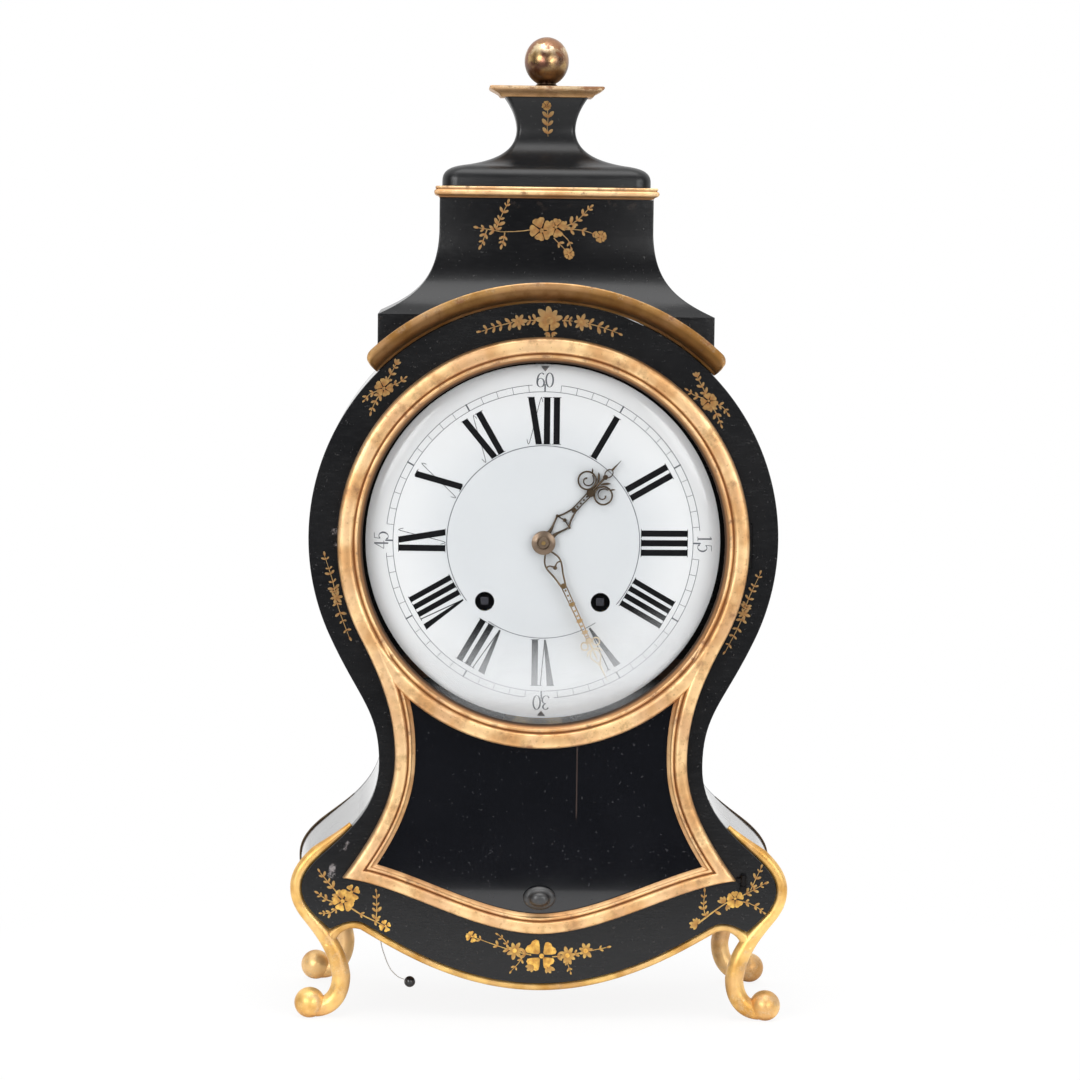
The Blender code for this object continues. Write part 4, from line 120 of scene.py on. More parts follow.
def aim_camera():
    """Sets the camera a little left of the clock's middle, above the dial and turned slightly down."""
    lens = bpy.data.cameras.new("camera")
    lens.sensor_width = 36
    lens.lens = 130.58
    camera = linked("camera", lens)
    down, aside, lean = math.radians(4.487), math.radians(1.559), math.radians(0.725)
    ahead = Vector((math.sin(aside) * math.cos(down), math.cos(aside) * math.cos(down), -math.sin(down)))
    level = Vector((math.cos(aside), -math.sin(aside), 0))
    over = level.cross(ahead)
    right = math.cos(lean) * level + math.sin(lean) * over
    up = math.cos(lean) * over - math.sin(lean) * level
    turn = Matrix((right, up, -ahead)).transposed().to_4x4()
    camera.matrix_world = Matrix.Translation((-0.0624, -2.2786, 0.4498)) @ turn
    bpy.context.scene.camera = camera


aim_camera()


# Shader maths


class Tone:
    """A value in a material, so that shader maths reads as plain expressions."""

    def __init__(self, paint, socket):
        self.paint = paint
        self.socket = socket

    def math(self, operation, one, two):
        return self.paint.node("ShaderNodeMath", {0: one, 1: two}, {"operation": operation})

    def __add__(self, other):
        return self.math("ADD", self, other)

    def __radd__(self, other):
        return self.math("ADD", other, self)

    def __sub__(self, other):
        return self.math("SUBTRACT", self, other)

    def __rsub__(self, other):
        return self.math("SUBTRACT", other, self)

    def __mul__(self, other):
        return self.math("MULTIPLY", self, other)

    def __rmul__(self, other):
        return self.math("MULTIPLY", other, self)

    def __pow__(self, other):
        return self.math("POWER", self, other)

    def most(self, other):
        return self.math("MAXIMUM", self, other)


class Wiring:
    """A node tree, with the one method that adds nodes to it and the steps that its users share."""

    def __init__(self, tree):
        self.tree = tree

    def node(self, kind, sockets=None, settings=None, output=0):
        """Adds a node, sets its settings, then fills its sockets, and gives the named output."""
        made = self.tree.nodes.new(kind)
        for name, value in (settings or {}).items():
            setattr(made, name, value)
        for name, value in (sockets or {}).items():
            if isinstance(value, Tone):
                self.tree.links.new(value.socket, made.inputs[name])
            else:
                made.inputs[name].default_value = value
        return Tone(self, made.outputs[output]) if len(made.outputs) else made

    def ease(self, value, low, high):
        """A soft step from 0 at the low value to 1 at the high one."""
        sockets = {"Value": value, "From Min": low, "From Max": high}
        return self.node("ShaderNodeMapRange", sockets, {"interpolation_type": "SMOOTHSTEP"})

    def part(self, vector, axis):
        return self.node("ShaderNodeSeparateXYZ", {"Vector": vector}, output=axis)

    def turned(self, axis, angle):
        """A rotation about one axis."""
        angles = self.node("ShaderNodeCombineXYZ", {axis: angle})
        return self.node("FunctionNodeEulerToRotation", {"Euler": angles})

    def told(self, name, kind):
        """What each point says under a name."""
        return self.node("GeometryNodeInputNamedAttribute", {"Name": name}, {"data_type": kind})


class Paint(Wiring):
    """One material, with the patterns that the clock's finishes share."""

    def __init__(self, name):
        self.material = bpy.data.materials.new(name)
        self.material.use_nodes = True
        super().__init__(self.material.node_tree)
        self.tree.nodes.clear()
        self.place = self.node("ShaderNodeTexCoord", output="Object")

    def stretched(self, scale, turn=(0, 0, 0)):
        return self.node("ShaderNodeMapping", {"Vector": self.place, "Scale": scale, "Rotation": turn})

    def noise(self, scale, detail=2.0, rough=0.5, place=None):
        sockets = {"Vector": place or self.place, "Scale": scale, "Detail": detail, "Roughness": rough}
        return self.node("ShaderNodeTexNoise", sockets)

    def mark(self, name):
        return self.node("ShaderNodeAttribute", {}, {"attribute_name": name}, "Fac")

    def axis(self, name):
        return self.part(self.place, name)

    def away(self, point):
        """The distance from a point, in metres."""
        points = {0: self.place, 1: point}
        return self.node("ShaderNodeVectorMath", points, {"operation": "DISTANCE"}, "Value")

    def blend(self, share, one, two):
        one, two = [value if isinstance(value, Tone) else (*value, 1) for value in (one, two)]
        return self.node("ShaderNodeMix", {0: share, 6: one, 7: two}, {"data_type": "RGBA"}, 2)

    def bump(self, height, strength, reach):
        return self.node("ShaderNodeBump", {"Height": height, "Strength": strength, "Distance": reach})

    def done(self, shader):
        """Ends the material in a shader."""
        self.node("ShaderNodeOutputMaterial", {"Surface": shader})
        return self.material

    def coat(self, **sockets):
        """Ends the material in one plain shader."""
        named = {name.replace("_", " "): value for name, value in sockets.items()}
        return self.done(self.node("ShaderNodeBsdfPrincipled", named))


# Finishes


CHIPS = (
    (-118.6, 279.5, 5),
    (-117.5, 272, 3.5),
    (-109.7, 101.5, 3.2),
    (-111.1, 98, 3),
    (-117.9, 88.2, 4),
    (-118.7, 83.4, 6),
)


def black_lacquer(name, rough, gloss, polish=0.0):
    """Lacquer with a fine grain, dust, rubbed edges and a few old chips, each with its place and reach."""
    paint = Paint(name)
    mottle = paint.noise(26, 3)
    grain = paint.noise(1, 3, 0.6, paint.stretched((160, 700, 900)))
    dust = paint.ease(paint.noise(620, 1), 0.7, 0.77)
    rub = paint.ease(paint.noise(140, 4, 0.6), 0.56, 0.68) * paint.mark("wear_and_highlight")
    chip = 0
    for x, z, reach in CHIPS:
        chip = chip + (1 - paint.ease(paint.away(at(x, 0, z)), 0.2 * reach * MM, reach * MM))
    chip = paint.ease(chip * paint.noise(1900, 3, 0.7), 0.46, 0.6)
    colour = paint.blend(mottle, (0.003, 0.0034, 0.0046), (0.0058, 0.0058, 0.0064))
    colour = paint.blend(paint.ease(grain, 0.5, 0.8) * 0.3, colour, (0.018, 0.018, 0.02))
    colour = paint.blend(dust * 0.1, colour, (0.2, 0.19, 0.18))
    colour = paint.blend(rub * 0.5, colour, (0.07, 0.05, 0.04))
    colour = paint.blend(chip, colour, (0.24, 0.22, 0.22))
    return paint.coat(
        Base_Color=colour,
        Roughness=rough + 0.12 * mottle + 0.1 * grain + 0.15 * dust,
        Normal=paint.bump(paint.noise(150, 4, 0.55) + 0.5 * grain, 0.12, 0.0004),
        Specular_IOR_Level=gloss,
        Coat_Weight=polish,
        Coat_Roughness=0.05,
    )


def gilding(name, light, deep, shine, rough, dirt_and_shade, cloud=42, age=1.0):
    """Water gilding with soft yellow and pink clouds, rubbed through in places and browned in its grooves;
    the same darkening paints shade where pieces mark it, a lip mark past 1 paints a near black shadow, and
    worn marks also paint paler highlights.
    """
    paint = Paint(name)
    wear_and_highlight = paint.mark("wear_and_highlight")
    groove_and_shade = paint.mark("groove_and_shade")
    broad = paint.noise(cloud, 3, 0.55)
    leaf = paint.noise(130, 4, 0.6)
    fleck = age * paint.ease(paint.noise(430, 3, 0.6), 0.6, 0.72)
    speck = paint.noise(1100, 2)
    rosy = paint.ease(paint.noise(58, 2, 0.5, paint.stretched((1, 1, 0.7), (0.3, 0.5, 0.2))), 0.44, 0.64)
    gold = paint.blend(paint.ease(broad, 0.38, 0.62), light, deep)
    gold = paint.blend(rosy * 0.5, gold, [0.5 * a + 0.5 * b for a, b in zip(light, (0.66, 0.4, 0.27))])
    gold = paint.blend(paint.ease(leaf, 0.48, 0.7) * (0.6 * age), gold, [0.58 * c for c in deep])
    rubbed = age * paint.ease(leaf + 0.12 * wear_and_highlight + 0.14 * broad, 0.71, 0.84)
    colour = paint.blend(fleck * 0.4, gold, (0.24, 0.1, 0.03))
    colour = paint.blend(rubbed * 0.7, colour, (0.25, 0.095, 0.04))
    # Paler patches at random, and paler still where a piece is marked worn: there a painted highlight.
    pale_and_highlight = paint.ease(leaf * 0.7 + 0.3 * speck + 0.2 * wear_and_highlight, 0.62, 0.8) * (1 - rubbed)
    colour = paint.blend(pale_and_highlight * (0.2 + 0.2 * wear_and_highlight), colour, (0.97, 0.82, 0.56))
    # Browned in grooves, and painted shade where pieces mark it darker.
    colour = paint.blend(groove_and_shade * (0.8 + 0.2 * leaf), colour, dirt_and_shade)
    # Past 1 the mark paints a lip near black and dull, a painted shadow.
    lip = paint.ease(groove_and_shade, 1.0, 1.5)
    colour = paint.blend(lip, colour, [0.12 * c for c in dirt_and_shade])
    return paint.coat(
        Base_Color=colour,
        Metallic=shine - 0.5 * rubbed - 0.5 * lip,
        Roughness=rough + 0.2 * leaf + 0.12 * fleck + 0.35 * lip,
        Normal=paint.bump(0.6 * leaf + 0.25 * speck - 0.3 * fleck, 0.16, 0.0005),
    )


def painted_gold():
    """Gold paint of the sprays, painted brighter on the apron and duller higher up, a painted difference of
    light.
    """
    paint = Paint("painted_gold")
    brush = paint.ease(paint.noise(420, 3), 0.3, 0.7)
    thin = paint.ease(paint.noise(800, 3, 0.7), 0.58, 0.74)
    # Painted light: the low sprays take the brighter gold as if better lit, the higher ones a duller shaded
    # copy.
    high = paint.ease(paint.axis("Z"), 0.045, 0.11)
    lit_gold = paint.blend(brush, (0.95, 0.6, 0.125), (0.6, 0.3, 0.055))
    dull = paint.blend(brush, (0.42, 0.245, 0.077), (0.24, 0.122, 0.036))
    colour = paint.blend(high, lit_gold, dull)
    colour = paint.blend(paint.mark("wear_and_highlight") * 0.5, colour, (0.34, 0.23, 0.1))
    colour = paint.blend(paint.ease(paint.mark("groove_and_shade"), 0.15, 0.85) * 0.7, colour, (0.3, 0.11, 0.02))
    colour = paint.blend(thin * 0.55, colour, (0.12, 0.06, 0.022))
    return paint.coat(
        Base_Color=colour,
        Metallic=0.4 - 0.3 * thin,
        Roughness=0.4 + 0.2 * brush,
        Normal=paint.bump(brush, 0.2, 0.0002),
    )


def enamel():
    """White enamel, painted greyer in the middle as painted shade and whiter towards the rim as painted light
    against the shadow of the door's ring.
    """
    paint = Paint("enamel")
    cloud = paint.noise(17, 3)
    pit = paint.ease(paint.noise(700, 1), 0.74, 0.8)
    # Painted light: the middle colour is greyer as painted shade, and past 45 mm out it turns whiter to
    # offset the ring's shadow on the rim.
    away = paint.away(at(0, 10, DIAL_Z))
    painted_shade_middle = paint.blend(cloud, (0.66, 0.68, 0.705), (0.72, 0.735, 0.75))
    colour = paint.blend(paint.ease(away, 0.045, 0.095), painted_shade_middle, (0.9, 0.905, 0.915))
    colour = paint.blend(pit * 0.25, colour, (0.45, 0.44, 0.42))
    return paint.coat(
        Base_Color=colour,
        Roughness=0.14 + 0.08 * cloud + 0.2 * pit,
        Normal=paint.bump(paint.noise(45, 2), 0.05, 0.0006),
        Coat_Weight=0.3,
        Coat_Roughness=0.05,
    )


def dial_black():
    paint = Paint("dial_black")
    fired = paint.noise(500, 2)
    colour = paint.blend(fired, (0.002, 0.002, 0.003), (0.005, 0.005, 0.006))
    return paint.coat(Base_Color=colour, Roughness=0.5 + 0.1 * fired, Specular_IOR_Level=0.1)


def dial_grey():
    paint = Paint("dial_grey")
    fired = paint.noise(800, 2)
    colour = paint.blend(fired, (0.07, 0.075, 0.09), (0.16, 0.17, 0.19))
    return paint.coat(Base_Color=colour, Roughness=0.25 + 0.15 * fired)


def metal(name, light, dark, rough, brushed, tarnish=(0.1, 0.06, 0.03), tarnished=0.3):
    """A brushed metal with stains of tarnish."""
    paint = Paint(name)
    cloud = paint.noise(60, 3)
    brush = paint.noise(1, 2, 0.5, paint.stretched(brushed))
    stain = paint.ease(paint.noise(130, 4, 0.65), 0.58, 0.78)
    colour = paint.blend(cloud, light, dark)
    colour = paint.blend(stain * tarnished, colour, tarnish)
    return paint.coat(
        Base_Color=colour,
        Metallic=1.0,
        Roughness=rough + 0.16 * brush + 0.14 * stain,
        Normal=paint.bump(brush, 0.12, 0.0002),
    )


def minute_bronze():
    """Bronze of the minute hand, dark at the boss with gilding left towards the tip."""
    paint = Paint("minute_bronze")
    cloud = paint.noise(90, 3)
    brush = paint.noise(500, 2)
    away = paint.away(at(0, 3, DIAL_Z))
    left = paint.ease(away + 0.012 * cloud, 0.022, 0.058)
    dark = paint.blend(cloud, (0.17, 0.115, 0.068), (0.08, 0.056, 0.036))
    dark = paint.blend(paint.ease(away, 0.0074, 0.0066), dark, (0.235, 0.17, 0.122))
    gilt = paint.blend(brush, (0.74, 0.5, 0.23), (0.5, 0.31, 0.12))
    gilt = paint.blend(paint.ease(away, 0.054, 0.07) * 0.8, gilt, (0.94, 0.8, 0.54))
    return paint.coat(
        Base_Color=paint.blend(left, dark, gilt),
        Metallic=1.0,
        Roughness=0.3 + 0.16 * brush,
        Normal=paint.bump(brush, 0.12, 0.0002),
    )


def plain_wood():
    paint = Paint("plain_wood")
    ring = paint.noise(1, 3, 0.6, paint.stretched((9, 60, 160)))
    pore = paint.noise(1, 2, 0.5, paint.stretched((60, 900, 1500)))
    colour = paint.blend(paint.ease(ring, 0.3, 0.7), (0.30, 0.17, 0.08), (0.17, 0.085, 0.038))
    colour = paint.blend(paint.ease(pore, 0.58, 0.7) * 0.5, colour, (0.07, 0.035, 0.016))
    return paint.coat(
        Base_Color=colour,
        Roughness=0.5 + 0.25 * pore,
        Normal=paint.bump(ring + 0.4 * pore, 0.2, 0.0004),
    )


def clear_glass():
    """Glass that lets the dial show and mirrors more where it is seen aslant; at its foot a whitish veil,
    partly dust and mostly a painted reflection of the room, greys the lower numerals and the gap below the
    dial.
    """
    paint = Paint("clear_glass")
    smear = paint.noise(30, 3)
    clear = paint.node("ShaderNodeBsdfTransparent", {"Color": (0.992, 0.995, 0.995, 1)})
    sockets = {"Base Color": (0.95, 0.97, 0.98, 1), "Metallic": 1.0, "Roughness": 0.02 + 0.05 * smear}
    mirror = paint.node("ShaderNodeBsdfPrincipled", sockets)
    dust_and_reflection_haze = paint.node("ShaderNodeBsdfPrincipled", {"Base Color": (0.8, 0.82, 0.84, 1), "Roughness": 0.6})
    across = paint.axis("X")
    up = paint.axis("Z")
    # Painted reflection, partly dust: a band across the lower numerals, and a greyer veil over the gap below
    # the dial's foot.
    height = up - 0.12 * across
    foot = paint.ease(height, 0.178, 0.194) * (1 - paint.ease(height, 0.194, 0.234))
    high = up - DIAL_Z * MM
    rim = paint.ease((across * across + high * high) ** 0.5, 0.096, 0.1)
    foot = foot * (1 - rim) + 0.34 * rim * (1 - paint.ease(up, 0.182, 0.198))
    veiled = paint.node("ShaderNodeMixShader", {0: foot * (0.2 + 0.14 * smear), 1: clear, 2: dust_and_reflection_haze})
    aslant = paint.node("ShaderNodeLayerWeight", {"Blend": 0.5}, output="Facing")
    return paint.done(paint.node("ShaderNodeMixShader", {0: 0.022 + 0.9 * aslant**5, 1: veiled, 2: mirror}))


def blackened_glass():
    """The dark lower pane, with dust and one faint upright streak."""
    paint = Paint("blackened_glass")
    smear = paint.noise(40, 4, 0.6)
    dust = paint.ease(paint.noise(520, 1), 0.71, 0.77)
    across = paint.axis("X")
    up = paint.axis("Z")
    aside = paint.node("ShaderNodeMath", {0: across - 0.0205}, {"operation": "ABSOLUTE"})
    streak = (1 - paint.ease(aside, 0.0001, 0.0006)) * paint.ease(up, 0.114, 0.122)
    colour = paint.blend(smear, (0.003, 0.0035, 0.005), (0.006, 0.0065, 0.009))
    colour = paint.blend(dust * 0.05, colour, (0.2, 0.2, 0.22))
    colour = paint.blend(streak * 0.14, colour, (0.35, 0.24, 0.2))
    return paint.coat(
        Base_Color=colour,
        Roughness=0.05 + 0.06 * smear + 0.25 * dust,
        Coat_Weight=0.5,
        Coat_Roughness=0.03,
    )


def thread():
    paint = Paint("thread")
    twist = paint.noise(1, 1, 0.5, paint.stretched((3000, 3000, 9000)))
    colour = paint.blend(twist, (0.34, 0.33, 0.32), (0.66, 0.65, 0.63))
    return paint.coat(Base_Color=colour, Roughness=0.85, Normal=paint.bump(twist, 0.4, 0.0001))


def black_bead():
    paint = Paint("black_bead")
    cloud = paint.noise(300, 2)
    colour = paint.blend(cloud, (0.006, 0.006, 0.007), (0.02, 0.02, 0.022))
    return paint.coat(Base_Color=colour, Roughness=0.12 + 0.15 * cloud, Coat_Weight=0.3)


LACQUER = black_lacquer("black_lacquer", 0.14, 0.42)
HOOD_LACQUER = black_lacquer("satin_lacquer", 0.11, 0.38)
CAP_LACQUER = black_lacquer("cap_lacquer", 0.24, 0.46)
KNOB_LACQUER = black_lacquer("knob_lacquer", 0.3, 1.0)
SIDE_LACQUER = black_lacquer("polished_lacquer", 0.14, 0.5, 0.8)
DOOR_GILT = gilding(
    "door_gilding", (0.97, 0.66, 0.335), (0.66, 0.36, 0.15), 0.78, 0.32, (0.34, 0.165, 0.07)
)
FOOT_GILT = gilding(
    "foot_gilding", (0.96, 0.63, 0.215), (0.6, 0.31, 0.07), 0.7, 0.32, (0.4, 0.17, 0.04), age=0.35
)
# The rear feet's gilding turns near black where marked, a painted shade.
REAR_SHADED_GILT = gilding(
    "rear_foot_shaded_gilding", (0.92, 0.6, 0.26), (0.56, 0.29, 0.09), 0.72, 0.34, (0.012, 0.01, 0.009), age=0.35
)
# The brow's gilding is a darker copy of the door's, painted shade for a moulding whose cove faces down.
SHADED_BROW_GILT = gilding(
    "shaded_brow_gilding", (0.52, 0.3, 0.105), (0.34, 0.165, 0.045), 0.92, 0.34, (0.1, 0.045, 0.012)
)
PLATE_GILT = gilding(
    "plate_gilding", (0.66, 0.41, 0.2), (0.44, 0.24, 0.1), 0.74, 0.34, (0.3, 0.16, 0.06)
)
BALL_GILT = gilding(
    "ball_gilding", (0.64, 0.42, 0.18), (0.17, 0.075, 0.05), 0.96, 0.2, (0.06, 0.038, 0.026), 115
)
SPRAY_GOLD = painted_gold()
ENAMEL = enamel()
DIAL_BLACK = dial_black()
DIAL_GREY = dial_grey()
BRASS = metal("brass", (0.66, 0.47, 0.2), (0.5, 0.33, 0.12), 0.26, (40, 900, 900))
HOUR_BRONZE = metal(
    "hour_bronze", (0.13, 0.09, 0.055), (0.06, 0.043, 0.03), 0.3, (500,) * 3, (0.04, 0.028, 0.018), 0.5
)
BRONZE = metal(
    "hand_bronze", (0.36, 0.262, 0.19), (0.2, 0.145, 0.1), 0.28, (500,) * 3, (0.04, 0.028, 0.018), 0.6
)
MINUTE_BRONZE = minute_bronze()
STEEL = metal(
    "steel", (0.46, 0.46, 0.47), (0.3, 0.3, 0.32), 0.28, (40, 1200, 1200), (0.12, 0.1, 0.08), 0.35
)
BLUED = metal(
    "blued_steel", (0.1, 0.1, 0.115), (0.05, 0.05, 0.06), 0.34, (700,) * 3, (0.06, 0.05, 0.04), 0.4
)
BELL_METAL = metal("bell_metal", (0.6, 0.52, 0.33), (0.44, 0.37, 0.22), 0.22, (1200, 60, 1200))
HINGE_DARK = metal(
    "hinge_dark", (0.022, 0.021, 0.021), (0.014, 0.013, 0.013), 0.42, (600, 600, 60), (0.02, 0.015, 0.012)
)
WOOD = plain_wood()
GLASS = clear_glass()
DARK_GLASS = blackened_glass()
THREAD = thread()
BEAD = black_bead()
FINISHES = {
    "black_lacquer": LACQUER,
    "gilding": DOOR_GILT,
    "plain_wood": WOOD,
    "enamel": ENAMEL,
    "brass": BRASS,
    "hand_bronze": BRONZE,
    "steel": STEEL,
    "glass": GLASS,
    "dark_glass": DARK_GLASS,
    "bell_metal": BELL_METAL,
    "thread": THREAD,
    "black_bead": BEAD,
}
for name, node in frame["nodes"].items():
    for place in node.material_slots:
        finish = FINISHES[place.material.name.split(".")[0]]
        if "knuckle" in name or "hinge_bracket" in name:
            finish = HINGE_DARK
        if name == "hand_nut":
            finish = BRONZE
        if name in ("going_arbor", "strike_arbor"):
            finish = BLUED
        place.material = finish


# Lines


def bezier(a, b, c, d, steps):
    """Points of a curve, without its last one."""
    found = []
    for i in range(steps):
        t = i / steps
        s = 1 - t
        shares = (s**3, 3 * s * s * t, 3 * s * t * t, t**3)
        found.append(tuple(sum(f * p for f, p in zip(shares, ends)) for ends in zip(a, b, c, d)))
    return found


def arc(centre, radius, start, end, steps):
    """Points of an arc, without its last one."""
    turns = [start + (end - start) * i / steps for i in range(steps)]
    return [(centre[0] + radius * math.cos(t), centre[1] + radius * math.sin(t)) for t in turns]


def circle(centre, radius, steps):
    return arc(centre, radius, 0, 2 * math.pi, steps)


def both_sides(half):
    """An open line from its right half, which starts in the middle."""
    return [(-x, z) for x, z in reversed(half[1:])] + half


def mirrored(half):
    """A closed loop from its right half, which runs from the top of the middle to its foot."""
    return half + [(-x, z) for x, z in reversed(half[1:-1])]


def smooth(points, steps):
    """A soft curve through the points, with this many steps from one to the next."""
    found = []
    last = len(points) - 1
    for i in range(last):
        p = [Vector(points[min(max(j, 0), last)]) for j in (i - 1, i, i + 1, i + 2)]
        for k in range(steps):
            t = k / steps
            one = 2 * p[1] + (p[2] - p[0]) * t
            two = (2 * p[0] - 5 * p[1] + 4 * p[2] - p[3]) * t * t
            three = (3 * p[1] - p[0] - 3 * p[2] + p[3]) * t**3
            found.append(tuple((one + two + three) / 2))
    found.append(tuple(points[last]))
    return found


def normals(path, closed):
    """Unit vectors to the left of a path, stretched at its corners so that an offset keeps its width."""
    count = len(path)
    found = []
    for i in range(count):
        before = path[i - 1] if closed or i else path[i]
        after = path[(i + 1) % count] if closed or i < count - 1 else path[i]
        one = Vector((path[i][0] - before[0], path[i][1] - before[1]))
        two = Vector((after[0] - path[i][0], after[1] - path[i][1]))
        one = one.normalized() if one.length > 1e-9 else two.normalized()
        two = two.normalized() if two.length > 1e-9 else one
        middle = (one + two).normalized()
        stretch = min(2.5, 1 / max(0.4, middle.dot(one)))
        found.append((-middle.y * stretch, middle.x * stretch))
    return found


def offset(path, distance, closed=True):
    """The path moved to its left."""
    return [(x + nx * distance, z + nz * distance) for (x, z), (nx, nz) in zip(path, normals(path, closed))]


def hip_curve(steps):
    return bezier(WAIST, (WAIST[0], 107.24), (HIP[0], 95.88), HIP, steps)


def heel_curve(steps):
    return bezier(HIP, (HIP[0], 65.92), (127.5, 59.2), HEEL, steps)


def case_side():
    """Right side of the case, from the top of the head down to the heel."""
    end = math.radians(25)
    head = arc((0, HEAD_Z), HEAD_RADIUS, math.pi / 2, -end, 60)
    turn = (HEAD_RADIUS * math.cos(end), HEAD_Z - HEAD_RADIUS * math.sin(end))
    run = (turn[1] - WAIST[1]) / 2
    leave = (turn[0] - run * math.tan(end), turn[1] - run)
    neck = bezier(turn, leave, (WAIST[0], WAIST[1] + 0.84 * run), WAIST, 18)
    return head + neck + hip_curve(28) + heel_curve(14) + [HEEL]


def hip_flare(z):
    """How far the hip stands out at the back, beyond its line at the front."""
    share = clamped((140 - z) / 60)
    return FLARE * share * share * (3 - 2 * share) * clamped((z - 62) / 14)


def rear_edge():
    """Side of the case at the back."""
    side = case_side()
    found = []
    for (x, z), (nx, nz) in zip(side, normals(side, False)):
        out = hip_flare(z)
        found.append((x + nx * out, z + nz * out))
    return found


def apron_edge():
    """Lower edge of the front board, from its right shoulder to the middle."""
    return bezier(SHOULDER, (80, 43.74), (45, APRON_LOW), (0, APRON_LOW), 34) + [(0, APRON_LOW)]


def hip_edge():
    """Lower edge of the front board over the foot, between the heel and the shoulder."""
    line = [HEEL, (115.4, 53.7), (110.7, 55.7), (106.6, 56.4), (103, 56.3), SHOULDER]
    return smooth(line, 4)[1:-1]


def crossing(one, two):
    """Where two paths cross: how far along each, counted in points."""
    for i in range(len(one) - 1):
        for j in range(len(two) - 1):
            (ax, az), (bx, bz) = one[i], one[i + 1]
            (cx, cz), (dx, dz) = two[j], two[j + 1]
            cross = (bx - ax) * (dz - cz) - (bz - az) * (dx - cx)
            if abs(cross) < 1e-12:
                continue
            s = ((cx - ax) * (dz - cz) - (cz - az) * (dx - cx)) / cross
            t = ((cx - ax) * (bz - az) - (cz - az) * (bx - ax)) / cross
            if 0 <= s <= 1 and 0 <= t <= 1:
                return i + s, j + t
    return None


def along(path, place):
    """The point of a path at a place counted in points."""
    i = min(int(place), len(path) - 2)
    share = place - i
    return tuple(p + (q - p) * share for p, q in zip(path[i], path[i + 1]))


def door_ribs():
    """Outer and inner ends of the door moulding's sections, round its right half, with the width of each."""
    waist, corner, low = (83.2, 150.5), (112.3, 82), (0, 50.7)
    end = math.radians(28)
    ring = arc((0, DIAL_Z), DOOR_RADIUS, math.pi / 2, -end, RING_STEPS)
    turn = (DOOR_RADIUS * math.cos(end), DIAL_Z - DOOR_RADIUS * math.sin(end))
    run = turn[1] - waist[1]
    leave = (turn[0] - 0.34 * run * math.tan(end), turn[1] - 0.34 * run)
    neck = bezier(turn, leave, (waist[0], waist[1] + 0.36 * run), waist, 22)
    flare = bezier(waist, (waist[0], 125.2), (96.9, 103.2), corner, 24) + [corner]
    foot = bezier(corner, (79.7, 78.9), (38.2, low[1]), low, 44) + [low]
    side = ring + neck + flare
    widths = [RING_WIDTH] * len(ring)
    widths += [RING_WIDTH + (RAIL_WIDTH - RING_WIDTH) * i / len(neck) for i in range(len(neck))]
    widths += [RAIL_WIDTH] * len(flare)
    inner_side = []
    for (x, z), (nx, nz), width in zip(side, normals(side, False), widths):
        inner_side.append((x - nx * width, z - nz * width))
    inner_foot = offset(foot, -RAIL_WIDTH, False)
    inner_foot[-1] = (0, low[1] + RAIL_WIDTH)
    first = len(ring) + len(neck)
    inner_flare = inner_side[first:]
    stop, start = crossing(inner_flare, inner_foot)
    count = len(flare) - 1
    inner_flare = [along(inner_flare, stop * i / count) for i in range(count + 1)]
    count = len(foot) - 1
    inner_foot = [along(inner_foot, start + (count - start) * i / count) for i in range(count + 1)]
    outer = side + foot[1:]
    inner = inner_side[:first] + inner_flare + inner_foot[1:]
    return outer, inner, widths + [RAIL_WIDTH] * (len(foot) - 1)


DOOR_OUTER, DOOR_INNER, DOOR_WIDTHS = door_ribs()


def lapped(lap):
    """The line round the door's right half that runs this far out from the moulding's inner edge."""
    found = []
    for outer, inner, width in zip(DOOR_OUTER, DOOR_INNER, DOOR_WIDTHS):
        found.append(tuple(i + (o - i) * lap / width for o, i in zip(outer, inner)))
    return found


# Shapes


